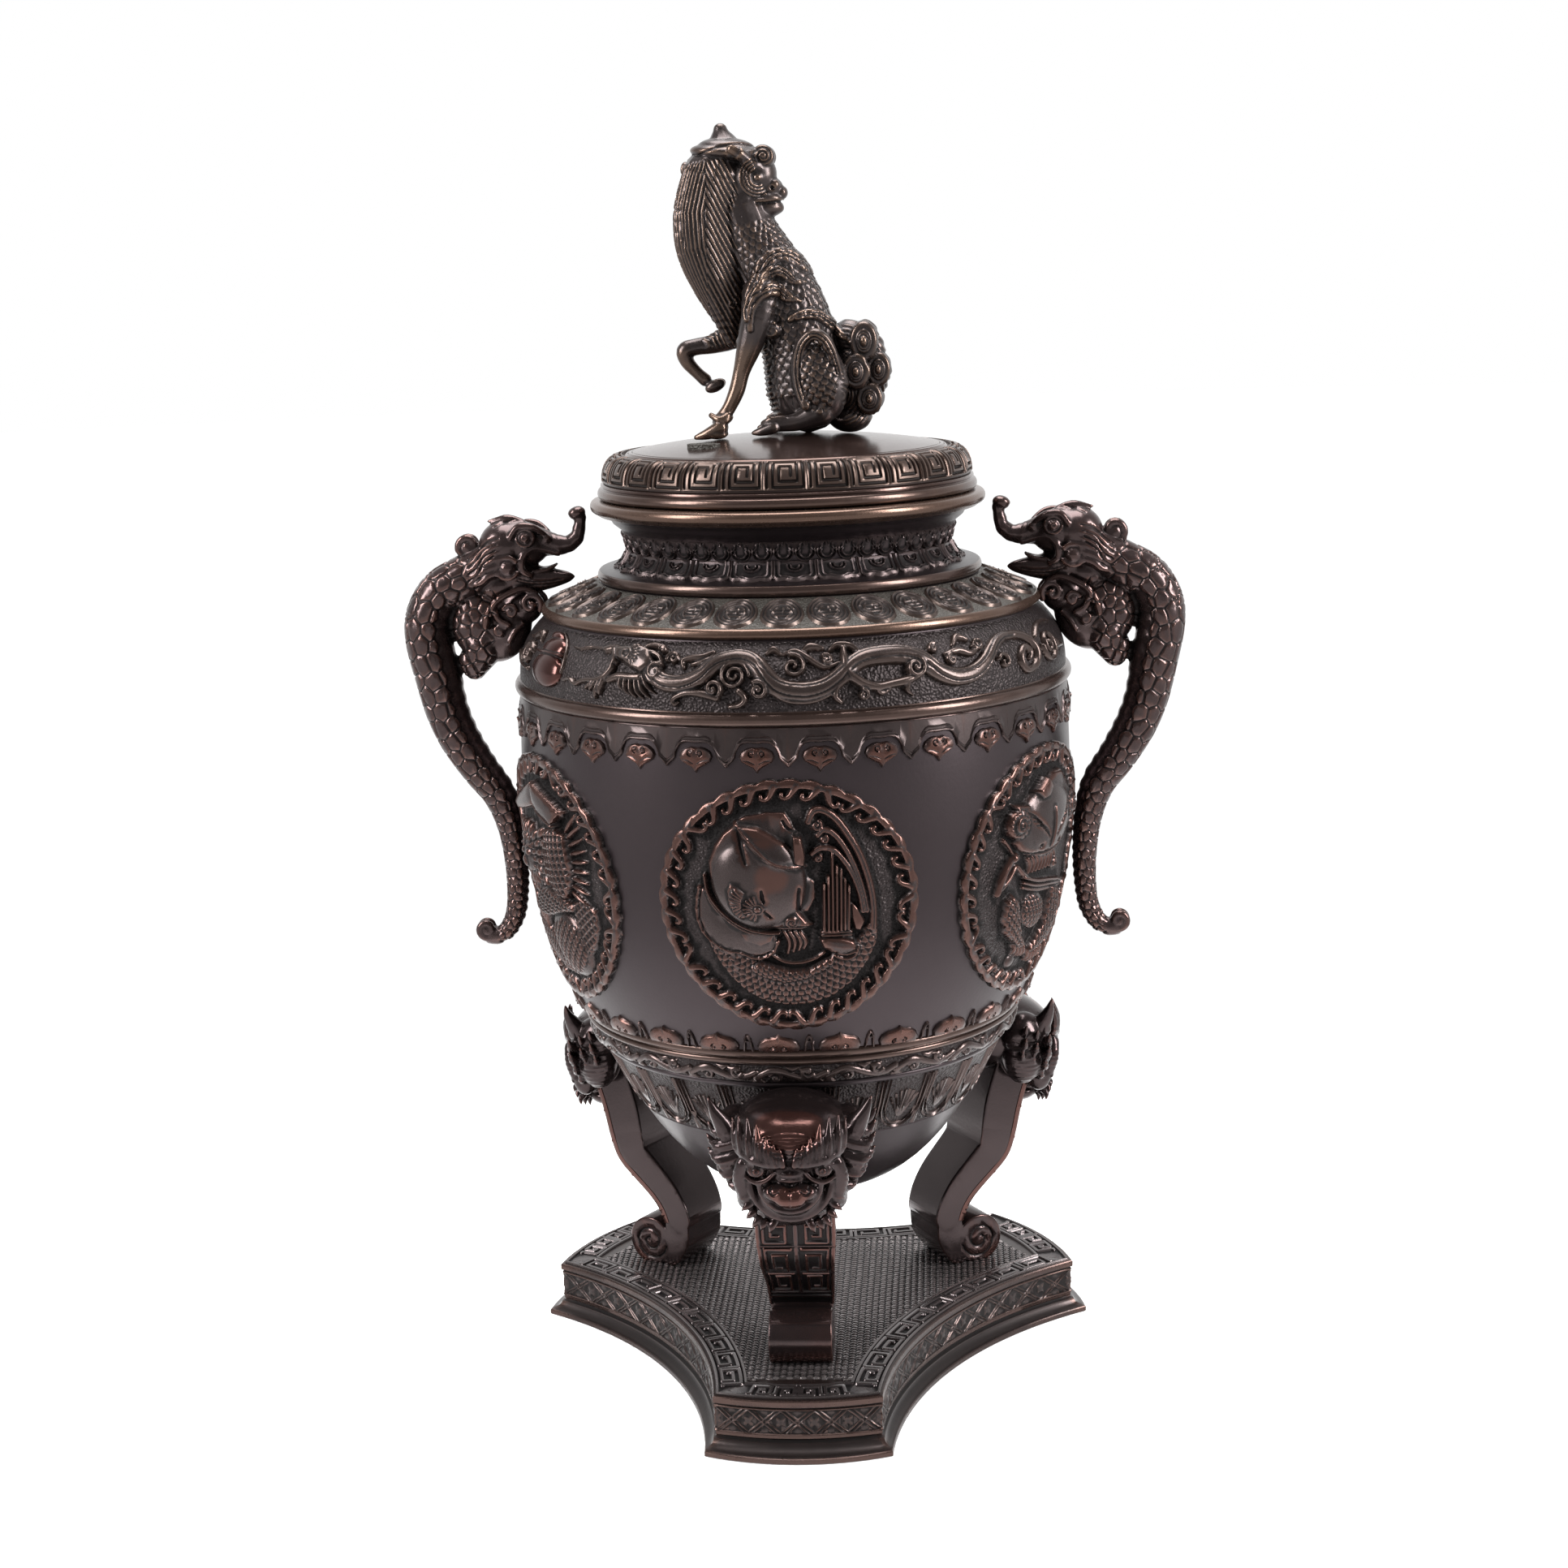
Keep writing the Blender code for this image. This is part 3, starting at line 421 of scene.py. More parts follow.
def ball(clay, centre, half, lean=0.0, turn=0.0):
    bm = bmesh.new()
    place = (Matrix.Translation(centre) @ Matrix.Rotation(radians(turn), 4, "Z")
             @ Matrix.Rotation(radians(-lean), 4, "Y") @ Matrix.Diagonal((*half, 1.0)))
    steps = 12 + 4 * int(max(half) * 0.9)
    bmesh.ops.create_uvsphere(bm, u_segments=2 * steps, v_segments=steps, radius=1.0, matrix=place)
    lump(clay, bm)


def pair(clay, centre, half, lean=0.0, turn=0.0):
    x, y, z = centre
    ball(clay, (x, y, z), half, lean, turn)
    ball(clay, (x, -y, z), half, lean, -turn)


def rod(clay, path, sides=14, pieces=4):
    # a limb through (x, y, z, radius) points
    points = smoothLine(path, pieces) if pieces > 1 else np.array(path, float)
    bm = bmesh.new()
    for a, b in zip(points, points[1:]):
        run = Vector(b[:3]) - Vector(a[:3])
        turn = run.to_track_quat("Z", "Y").to_matrix().to_4x4()
        middle = Matrix.Translation((Vector(a[:3]) + Vector(b[:3])) / 2)
        bmesh.ops.create_cone(bm, cap_ends=True, segments=sides, radius1=a[3], radius2=b[3],
                              depth=run.length, matrix=middle @ turn)
    for x, y, z, r in points:
        bmesh.ops.create_icosphere(bm, subdivisions=2, radius=r, matrix=Matrix.Translation((x, y, z)))
    lump(clay, bm)


def rodPair(clay, path, sides=14, pieces=4):
    rod(clay, path, sides, pieces)
    rod(clay, [(x, -y, z, r) for x, y, z, r in path], sides, pieces)


def coil(clay, centre, radius, start, turns, thick, bulge, side):
    # a raised spiral lying against the side of a figure, in the plane of x and z
    line = curl((0, 0), radius, start, turns, thick, inner=0.12, thin=0.7)
    path = [(centre[0] + u, centre[1] + side * bulge * (1 - hypot(u, v) / radius), centre[2] + v, w)
            for u, v, w in line]
    rod(clay, path, 10, 1)


def melted(name, clay, voxel):
    bm = bmesh.new()
    for mesh in clay:
        bm.from_mesh(mesh)
        bpy.data.meshes.remove(mesh)
    obj = newObject(name, bm)
    modifier = obj.modifiers.new("Melt", "REMESH")
    modifier.mode = "VOXEL"
    modifier.voxel_size = voxel
    bakeModifiers(obj)
    modifier = obj.modifiers.new("Soften", "SMOOTH")
    modifier.factor = 0.5
    modifier.iterations = 2
    return bakeModifiers(obj)


def skinOf(obj):
    co = coordinates(obj.data)
    return {"obj": obj, "co": co, "normal": normalsOf(obj.data), "lift": np.zeros(len(co))}


def settle(skin):
    setCoordinates(skin["obj"].data, skin["co"] + skin["normal"] * skin["lift"][:, None])
    return skin["obj"]


def nearPath(co, path):
    # arc length, distance and turn about a path of (x, y, z) points for every point
    pts = np.array(path, float)[:, :3]
    best = np.full(len(co), far)
    length = np.zeros(len(co))
    turn = np.zeros(len(co))
    done = 0.0
    for a, b in zip(pts, pts[1:]):
        run = b - a
        span = np.linalg.norm(run)
        share = np.clip((co - a) @ run / span**2, 0, 1)
        away = co - (a + share[:, None] * run)
        gap = np.linalg.norm(away, axis=1)
        side = np.cross(run / span, (0, 1, 0))
        closer = gap < best
        best = np.where(closer, gap, best)
        length = np.where(closer, done + share * span, length)
        turn = np.where(closer, np.arctan2(away[:, 1], away @ side), turn)
        done += span
    return length, best, turn


def sideLine(skin, points, height, where=None, axes=(0, 2), groove=False, facing=0.15):
    # a line of (u, v, half width) points seen flat on two axes, raised on the skin that faces that way
    pts = np.array(points, float)
    u, v = skin["co"][:, axes[0]], skin["co"][:, axes[1]]
    widest = pts[:, 2].max()
    low, high = pts[:, :2].min(0) - widest, pts[:, :2].max(0) + widest
    pick = (u > low[0]) & (u < high[0]) & (v > low[1]) & (v < high[1])
    if where is not None:
        pick &= where
    third = 3 - axes[0] - axes[1]
    pick &= np.abs(skin["normal"][:, third]) > facing
    index = np.nonzero(pick)[0]
    skin["lift"][index] += (-height if groove else height) * stroke(u[index], v[index], pts)


def edgeLines(skin, line, shares, trim, **how):
    # grooves that follow a line at shares of its half width off its middle
    across = np.gradient(line[:, :2], axis=0)
    across /= np.linalg.norm(across, axis=1)[:, None]
    for share in shares:
        beside = [(u - n[1] * w * share, v + n[0] * w * share, 0.27) for (u, v, w), n in zip(line, across)]
        sideLine(skin, beside[trim], 0.5, groove=True, **how)


def fade(value, low, high):
    share = np.clip((value - low) / (high - low), 0, 1)
    return share * share * (3 - 2 * share)


def flatEnd(obj, centre, normal, reach):
    # cuts the round end of a stub flat, and the same on the other side
    co = coordinates(obj.data)
    for side in (-1, 1):
        middle = np.array(centre) * (1, side, 1)
        way = np.array(normal) * (1, side, 1)
        way = way / np.linalg.norm(way)
        beyond = (co - middle) @ way
        near = (beyond > 0) & (np.linalg.norm(co - middle, axis=1) < reach)
        co[near] -= beyond[near, None] * way
    setCoordinates(obj.data, co)


def changeWearAndShade(obj, change):
    # change gives every point's new wear and painted shade from its old ones and its place
    layer = obj.data.attributes["wear_and_shade"]
    wear_and_shade = np.empty(len(obj.data.vertices), np.float32)
    layer.data.foreach_get("value", wear_and_shade)
    layer.data.foreach_set("value", np.clip(change(wear_and_shade, coordinates(obj.data)), -1, 1.4).astype(np.float32))


def addWear(obj, rubs):
    changeWearAndShade(obj, lambda wear_and_shade, co: wear_and_shade + rubs(co))

# Bronze finishes


def newNode(tree, kind, at=(0, 0), **values):
    node = tree.nodes.new(kind)
    node.location = at
    for name, value in values.items():
        setattr(node, name, value)
    return node


def setInputs(node, values):
    for name, value in values.items():
        node.inputs[name].default_value = value


def patinaGroup():
    # colour and roughness of a patinated cast: worn where it stands out, and darkened towards near black
    # where it lies deep, which is painted shade
    group = bpy.data.node_groups.new("patina", "ShaderNodeTree")
    sockets = (("Wear and Shade", "NodeSocketFloat"), ("Place", "NodeSocketVector"), ("Skin", "NodeSocketColor"),
               ("Rubbed", "NodeSocketColor"), ("Deep", "NodeSocketColor"), ("Rub", "NodeSocketFloat"),
               ("Recess Shade", "NodeSocketFloat"), ("Gloss", "NodeSocketFloat"), ("Mottle", "NodeSocketFloat"))
    for name, kind in sockets:
        group.interface.new_socket(name=name, in_out="INPUT", socket_type=kind)
    group.interface.new_socket(name="Color", in_out="OUTPUT", socket_type="NodeSocketColor")
    group.interface.new_socket(name="Roughness", in_out="OUTPUT", socket_type="NodeSocketFloat")
    group.interface.new_socket(name="Grain", in_out="OUTPUT", socket_type="NodeSocketFloat")
    given = newNode(group, "NodeGroupInput", (-1200, 0))
    out = newNode(group, "NodeGroupOutput", (900, 0))
    link = group.links.new

    def cloud(scale, detail, at):
        noise = newNode(group, "ShaderNodeTexNoise", at)
        setInputs(noise, {"Scale": scale, "Detail": detail})
        link(given.outputs["Place"], noise.inputs["Vector"])
        return noise.outputs["Fac"]

    def maths(operation, first, second, at, clamp=False):
        node = newNode(group, "ShaderNodeMath", at, operation=operation, use_clamp=clamp)
        for socket, value in zip(node.inputs, (first, second)):
            if isinstance(value, (int, float)):
                socket.default_value = value
            else:
                link(value, socket)
        return node.outputs[0]

    def blend(factor, first, second, at):
        node = newNode(group, "ShaderNodeMix", at, data_type="RGBA")
        link(factor, node.inputs["Factor"])
        link(first, node.inputs["A"])
        link(second, node.inputs["B"])
        return node.outputs["Result"]

    def between(value, low, high, at):
        node = newNode(group, "ShaderNodeMapRange", at, interpolation_type="SMOOTHSTEP")
        link(value, node.inputs["Value"])
        setInputs(node, {"From Min": low, "From Max": high})
        return node.outputs["Result"]

    broad = cloud(38, 3, (-1000, 400))
    patches = cloud(130, 4, (-1000, 150))
    fine = cloud(900, 2, (-1000, -150))
    uneven = maths("ADD", maths("MULTIPLY", patches, 0.5, (-800, 300)),
                   maths("MULTIPLY", broad, 0.5, (-800, 150)),
                   (-640, 250))
    ragged = maths("ADD", given.outputs["Wear and Shade"],
                   maths("MULTIPLY", maths("SUBTRACT", uneven, 0.5, (-500, 300)),
                                                       0.9, (-400, 300)), (-250, 300))
    rubbed = maths("MULTIPLY", between(ragged, 0.12, 0.85, (-100, 300)), given.outputs["Rub"], (60, 300),
                   True)
    # painted shade: the deeper a point lies, the more its colour is darkened towards the deep colour
    deepness = maths("MULTIPLY", given.outputs["Wear and Shade"], -1.0, (-400, -50))
    recessShaded = maths("MULTIPLY", between(deepness, 0.02, 0.6, (-100, -50)), given.outputs["Recess Shade"], (60, -50),
                  True)
    mottled = newNode(group, "ShaderNodeHueSaturation", (-60, 600))
    link(given.outputs["Skin"], mottled.inputs["Color"])
    cloudy = maths("MULTIPLY", maths("SUBTRACT", patches, 0.5, (-420, 650)), given.outputs["Mottle"],
                   (-300, 650))
    link(maths("ADD", cloudy, 1.0, (-200, 650)), mottled.inputs["Value"])
    skin = blend(recessShaded, mottled.outputs["Color"], given.outputs["Deep"], (260, 200))
    link(blend(rubbed, skin, given.outputs["Rubbed"], (480, 200)), out.inputs["Color"])
    rough = maths("ADD", given.outputs["Gloss"],
                  maths("MULTIPLY", maths("SUBTRACT", fine, 0.5, (-300, -350)),
                                                       0.08, (-150, -350)), (60, -350))
    rough = maths("ADD", rough, maths("MULTIPLY", recessShaded, 0.3, (200, -350)), (350, -350))
    link(maths("SUBTRACT", rough, maths("MULTIPLY", rubbed, 0.08, (200, -500)), (520, -350), True),
         out.inputs["Roughness"])
    link(fine, out.inputs["Grain"])
    return group


patina = patinaGroup()


def bronze(name, skin, rubbed, deep=(0.006, 0.005, 0.005), rub=0.7, recessShade=0.85, gloss=0.34, metal=0.8,
           grain=0.00004, stipple=0.0, stippleScale=1500, mottle=0.5):
    # one finish: colours are linear, the depths of grain and stipple metres; deep is the near-black colour
    # of the painted shade in the recesses
    material = bpy.data.materials.new(name)
    material.use_nodes = True
    tree = material.node_tree
    link = tree.links.new
    shader = tree.nodes["Principled BSDF"]
    setInputs(shader, {"Metallic": metal, "Specular IOR Level": 0.5})
    where = newNode(tree, "ShaderNodeTexCoord", (-900, 0))
    wear_and_shade = newNode(tree, "ShaderNodeAttribute", (-900, 250), attribute_name="wear_and_shade")
    effect = newNode(tree, "ShaderNodeGroup", (-600, 100), node_tree=patina)
    link(where.outputs["Object"], effect.inputs["Place"])
    link(wear_and_shade.outputs["Fac"], effect.inputs["Wear and Shade"])
    setInputs(effect, {"Skin": (*skin, 1), "Rubbed": (*rubbed, 1), "Deep": (*deep, 1), "Rub": rub,
                       "Recess Shade": recessShade, "Gloss": gloss, "Mottle": mottle})
    link(effect.outputs["Color"], shader.inputs["Base Color"])
    link(effect.outputs["Roughness"], shader.inputs["Roughness"])
    bump = newNode(tree, "ShaderNodeBump", (-300, -250))
    setInputs(bump, {"Distance": grain, "Strength": 0.6})
    link(effect.outputs["Grain"], bump.inputs["Height"])
    if stipple:
        punches = newNode(tree, "ShaderNodeTexVoronoi", (-900, -350), feature="SMOOTH_F1")
        setInputs(punches, {"Scale": stippleScale})
        link(where.outputs["Object"], punches.inputs["Vector"])
        second = newNode(tree, "ShaderNodeBump", (-500, -350))
        setInputs(second, {"Distance": stipple, "Strength": 1.0})
        link(punches.outputs["Distance"], second.inputs["Height"])
        link(second.outputs["Normal"], bump.inputs["Normal"])
    link(bump.outputs["Normal"], shader.inputs["Normal"])
    return material


copper = (0.105, 0.040, 0.027)
finishes = {
    "belly": bronze("polished belly", (0.036, 0.027, 0.029), copper, rub=0.0, gloss=0.33, mottle=0.10),
    "rim": bronze("rubbed rim", (0.069, 0.044, 0.037), (0.14, 0.084, 0.054), rub=0.45, gloss=0.25),
    "mouth": bronze("golden rim", (0.098, 0.060, 0.045), (0.13, 0.082, 0.058), rub=0.3, gloss=0.26,
                    mottle=0.25),
    "relief": bronze("chased relief", (0.049, 0.036, 0.035), (0.082, 0.056, 0.050), rub=0.45, gloss=0.28),
    "ground": bronze("punched ground", (0.026, 0.020, 0.020), copper, rub=0.0, gloss=0.44, stipple=0.0006,
                     stippleScale=1250),
    "shoulder": bronze("dusty ground", (0.036, 0.031, 0.026), copper, rub=0.0, gloss=0.55, stipple=0.0005,
                       metal=0.3),
    "inside": bronze("cast inside", (0.035, 0.027, 0.024), copper, rub=0.0, gloss=0.6, grain=0.0002),
}

# Jar: a spun body, then the bands of relief laid on it
jar = {
    "mouthRadius": 51.5, "topZ": 307.1,
    "rimRadius": 67.3, "rimZ": 302.6,
    "neckRingRadius": 65.7, "neckRingZ": 279.4,
    "shoulderRadius": 85.4, "shoulderZ": 272.1, "shoulderRingZ": 267.8,
    "dragonZ": 247.3, "bellyRingZ": 242.8,
    "bellyRadius": 94.8, "swellZ": 214.3, "bellyZ": 133.0, "bellyFoot": 78.5,
    "thinRingZ": 117.8, "leafZ": 96.4, "leafTop": 70.2, "bowlRadius": 58.6, "bowlZ": 62.0,
    "wall": 3.0, "steps": 144, "parts": ("belly", "rim", "ground", "inside", "shoulder", "mouth"),
}


def bellyRadius(z):
    z = np.asarray(z, float)
    low = np.clip((jar["swellZ"] - z) / (jar["swellZ"] - jar["bellyZ"]), 0, None)
    high = np.clip((z - jar["swellZ"]) / (jar["bellyRingZ"] - jar["swellZ"]), 0, None)
    return jar["bellyRadius"] - (jar["bellyRadius"] - jar["bellyFoot"]) * low**2.15 - 1.2 * high**2


def dragonRadius(z):
    share = np.clip((np.asarray(z, float) - jar["dragonZ"]) / (jar["shoulderRingZ"] - jar["dragonZ"]), 0, 1)
    return 93.8 - 9.0 * share**2.6


def leafRadius(z):
    share = (np.asarray(z, float) - jar["leafZ"]) / (jar["thinRingZ"] - jar["leafZ"])
    return jar["bowlRadius"] + (jar["leafTop"] - jar["bowlRadius"]) * share**0.86


def jarProfile():
    j = jar
    line = [(j["mouthRadius"], j["topZ"] - 1.0), (j["mouthRadius"] + 0.6, j["topZ"] - 0.2),
            (j["mouthRadius"] + 1.6, j["topZ"]), (j["rimRadius"] - 1.9, j["topZ"])]
    rounded(line, (j["rimRadius"] - 1.4, j["topZ"] - 0.25), (j["rimRadius"] - 1.5, j["rimZ"] + 0.35), 1.5)
    line += [(65.2, 302.4), (64.6, 302.0), (62.4, 301.5), (61.2, 300.9), (60.4, 300.1), (59.9, 299.2),
             (59.2, 298.6), (57.4, 297.2), (56.2, 296.2), (55.3, 294.0), (54.7, 291.6), (54.7, 290.0),
             (55.4, 288.0), (56.8, 285.8), (58.4, 284.4), (60.0, 283.9)]
    rounded(line, (j["neckRingRadius"] - 1.2, 283.4), (j["neckRingRadius"] - 1.2, j["neckRingZ"] + 0.2), 1.2)
    line += [(65.2, j["neckRingZ"]), (71.4, 277.1), (77.6, 274.6), (83.7, j["shoulderZ"])]
    rounded(line, (j["shoulderRadius"] - 1.4, 272.3), (j["shoulderRadius"] - 0.6, 269.3), 1.0)
    line += [(84.6, 269.0), (84.3, 268.6), (84.5, 268.2)] + upTheSide(dragonRadius, 267.6, 247.6, 12)
    rounded(line, (93.9, 247.2), (93.9, 243.0), 1.8)
    line += upTheSide(bellyRadius, 242.6, 133.4, 40)
    rounded(line, (75.9, 133.0), (75.8, 129.6), 1.3)
    rounded(line, (75.9, 129.4), (75.4, 127.2), 1.0)
    line += [(75.0, 126.8), (74.9, 125.0), (74.3, 122.6), (73.2, 120.7)]
    rounded(line, (70.9, 120.4), (70.4, 117.9), 1.3)
    line += upTheSide(leafRadius, 117.6, 96.8, 10) + [(59.0, 96.3), (58.7, 95.9)]
    for share in np.linspace(0.985, 0.0, 16):
        line.append((j["bowlRadius"] * share, j["bowlZ"] + 34.0 * share**2.9))
    return line


def jarInside():
    j, wall = jar, jar["wall"]
    line = [(0.0, j["bowlZ"] + wall)]
    for share in (0.2, 0.4, 0.6, 0.75, 0.88, 0.97):
        line.append(((j["bowlRadius"] - 2.6) * share, j["bowlZ"] + wall + 33.0 * share**2.9))
    line += [(float(leafRadius(z)) - wall, z) for z in (100, 109, 117)]
    line += [(72.0, 124.0), (74.5, 130.5)]
    line += [(r - wall, z) for r, z in upTheSide(bellyRadius, 136, 240, 14)]
    line += [(91.0, 246.0), (89.5, 255.0), (85.5, 262.0), (82.0, 266.0), (76.0, 270.0), (66.0, 274.5),
             (57.0, 277.6), (52.6, 279.4), (51.5, 282.0)]
    return line


def jarZone(r, z, normal):
    outward = normal.z > 0.999 or normal.xy.length > 0.01
    if r < 51.8 and z > 275 or r < bellyRadius(max(min(z, 242), 134)) - 2.4 and 134 < z < 243:
        return "inside"
    if 301.9 < z or 272.6 > z > 269.1 and r > 83.9:
        return "mouth"
    if 283.2 > z > 279.5 and r > 65 or 247.4 > z > 242.7:
        return "rim"
    if 96.8 < z < 117.7 and r > leafRadius(z) - 1.5 or 120.6 < z < 126.9 and r > 72.5:
        return "ground"
    if 247.4 <= z <= 268.0 and r > dragonRadius(z) - 1.5:
        return "ground"
    if 272.1 <= z <= 279.5 and r > 65.2 and outward:
        return "shoulder"
    return "rim" if 127.0 < z < 133.2 and r > 75 else "belly"


def makeJarBody():
    body = turnedObject("jar_body", jarProfile() + jarInside(), jar["steps"], jar["parts"], jarZone)
    storeWearAndShade(body, strength=0.0)
    finish(body, jar["parts"], "vessel", sharp=30)


makeJarBody()
print("jar body turned")


def repeatedBand(name, board, profile, place, count, first, triangles, turnRadius=None):
    # one unit of a band, cut out where it stands up, repeated round the jar
    surface = bandSurface(profile, 0.0, turnRadius, base=place)
    unit = boardObject(name, board, surface, triangles, keep=standing(board), depth=1.2)
    return turnedCopies(name, unit, count, first)


def rubHearts(band, k):
    # the hearts of a row of lappets are rubbed reddish, the cloth round them hardly
    height, half, rise = k["heart"]

    def change(wear_and_shade, co):
        x, y, z = co.T
        pitch = tau / k["count"]
        turn = (np.arctan2(y, x) - radians(k["first"]) + pitch / 2) % pitch - pitch / 2
        heart = fade(1.2 - np.hypot(turn * np.hypot(x, y) / half, (z - height) / rise), 0, 0.4)
        cloth = np.where(wear_and_shade > 0, wear_and_shade * 0.3, wear_and_shade * (1 - 0.3 * heart))
        return np.maximum(cloth, heart * (0.5 + 0.8 * np.minimum(wear_and_shade, 0.3)))

    changeWearAndShade(band, change)


def eyes(board, height, across, start, way, rise):
    # the pair of small spirals in a lappet's heart
    for side in (-1, 1):
        eye = (side * across, height)
        mound(board, eye, (1.5, 1.5), rise, roundness=0.6)
        ridge(board, curl(eye, 1.05, start, side * way, 0.26), 0.5, how="cut")


# heart: its middle's height, half width and half height
upperLappets = {
    "count": 30, "first": -93.8, "top": 242.9, "bottom": 227.6, "heart": (232.9, 5.0, 3.6), "triangles": 860,
}


def makeUpperLappets():
    k = upperLappets
    span = k["top"] - k["bottom"]
    pitch = tau * bellyRadius(236) / k["count"]
    board = newBoard(pitch, span, 0.24)
    up = span / 2
    edge = pitch / 2
    # cloth with scalloped hem, outlined twice, and a heart hanging in each scallop
    hem = [(-edge, up - 12.4), (-edge + 1.0, up - 11.2), (-7.5, up - 9.8), (-6.9, up - 7.8),
           (-5.6, up - 5.6),
           (-3.2, up - 4.5), (0, up - 4.7)]
    cloth = [(-edge - 0.5, up + 0.5), (-edge - 0.5, up - 12.6)] + mirrored(hem)
    plate(board, cloth + [(edge + 0.5, up - 12.6), (edge + 0.5, up + 0.5)], 0.5, edge=0.3)
    for rise, half, tall in ((0.0, 0.5, 1.05), (1.5, 0.34, 0.85)):
        line = [(u * (1 if rise == 0 or abs(u) > 9 else 0.93), v + rise, half) for u, v in mirrored(hem)]
        ridge(board, smoothLine(line), tall)
    ridge(board, [(-edge, up - 0.4, 0.4), (edge, up - 0.4, 0.4)], 0.8)
    heart = mirrored([(0, up - 14.7), (-1.2, up - 13.0), (-3.0, up - 12.1), (-4.9, up - 11.0),
                      (-5.7, up - 9.4),
                      (-5.0, up - 7.7), (-3.2, up - 6.6), (-1.4, up - 6.2), (0, up - 6.6)])
    plate(board, heart, 1.1, edge=0.6, swell=0.4)
    eyes(board, up - 8.2, 1.5, -90, 1.25, 1.9)
    for side in (-1, 1):
        fold = [(side * 4.2, up - 10.4, 0.2), (side * 2.6, up - 10.6, 0.3), (side * 0.6, up - 11.6, 0.2)]
        ridge(board, fold, 0.3, how="cut")
    band = repeatedBand("lappets_upper", board, upTheSide(bellyRadius, k["bottom"], k["top"], 8), -0.1,
                        k["count"], k["first"], k["triangles"], turnRadius=float(bellyRadius(236)))
    rubHearts(band, k)
    finish(band, "lappet")


lowerLappets = {
    "count": 25, "first": -92.5, "top": 141.4, "bottom": 132.9, "heart": (135.4, 6.0, 3.0), "triangles": 620,
}


def makeLowerLappets():
    k = lowerLappets
    span = k["top"] - k["bottom"]
    radius = float(bellyRadius(136))
    pitch = tau * radius / k["count"]
    board = newBoard(pitch, span, 0.24)
    low, edge = -span / 2, pitch / 2
    for side in (-1, 1):
        for inset, half, tall in ((0.0, 0.45, 0.95), (1.2, 0.32, 0.8)):
            arch = [(side * (edge - 0.2), low + 6.0 - 1.6 * inset),
                    (side * (edge - 0.9 - 0.3 * inset), low + 4.2 - inset),
                    (side * (edge - 1.1 - 0.2 * inset), low + 2.0 - 0.6 * inset),
                    (side * (edge - 1.5), low - 0.2)]
            ridge(board, smoothLine(widths(arch, half)), tall)
    heart = mirrored([(-6.5, low - 0.2), (-7.1, low + 1.9), (-6.2, low + 3.9), (-4.3, low + 5.1),
                      (-2.2, low + 5.5),
                      (-0.9, low + 6.0), (0, low + 6.9)])
    plate(board, heart, 1.1, edge=0.6, swell=0.35)
    eyes(board, low + 1.5, 1.6, 90, -1.25, 1.8)
    band = repeatedBand("lappets_lower", board, upTheSide(bellyRadius, k["bottom"], k["top"], 6), -0.1,
                        k["count"], k["first"], k["triangles"], turnRadius=radius)
    rubHearts(band, k)
    finish(band, "lappet")


discs = {"count": 32, "first": -88.6, "halfWidth": 7.05, "halfLength": 9.3, "radius": 74.6,
         "triangles": 1000}


def makeDiscs():
    # an oval with two rims, two broken rings and a small maze of strokes
    k = discs
    board = newBoard(k["halfWidth"] * 2 + 1, k["halfLength"] * 2 + 1, 0.26)
    x, y = board["x"] / k["halfWidth"], board["y"] / k["halfLength"]
    out = np.hypot(x, y)
    board["h"] = 0.35 * np.clip((1 - out) * 14, 0, 1)
    board["h"] += 0.6 * np.exp(-((out - 0.92) / 0.05) ** 2) + 0.55 * np.exp(-((out - 0.75) / 0.038) ** 2)
    for reach, gaps in ((0.58, (0.0, pi)), (0.40, (pi / 2, -pi / 2))):
        broken = np.ones_like(out)
        for gap in gaps:
            off = np.abs((np.arctan2(y, x) - gap + pi) % tau - pi)
            broken *= np.clip((off - 0.32) * 8, 0, 1)
        board["h"] += 0.55 * broken * np.exp(-((out - reach) / 0.038) ** 2)
    bars = (((-3.2, -0.4), (3.2, -0.4)), ((-1.9, 1.7), (1.9, 1.7)), ((-1.7, -2.4), (1.5, -2.4)),
            ((0.4, -0.4), (0.4, 1.7)))
    for start, end in bars:
        ridge(board, [(*start, 0.36), (*end, 0.36)], 0.5, how="add")
    board["h"][out > 1.02] = 0
    surface = bandSurface([(84.0, 272.0), (65.4, 279.3)], 0.0, k["radius"])
    unit = boardObject("discs", board, surface, k["triangles"], keep=out < 1.04, depth=0.8)
    finish(turnedCopies("discs", unit, k["count"], k["first"]), "disc")


petals = {
    "large": 25, "largeFirst": -84.7, "largeRadius": 56.6, "small": 50, "smallFirst": -88.3,
    "smallRadius": 55.4,
}


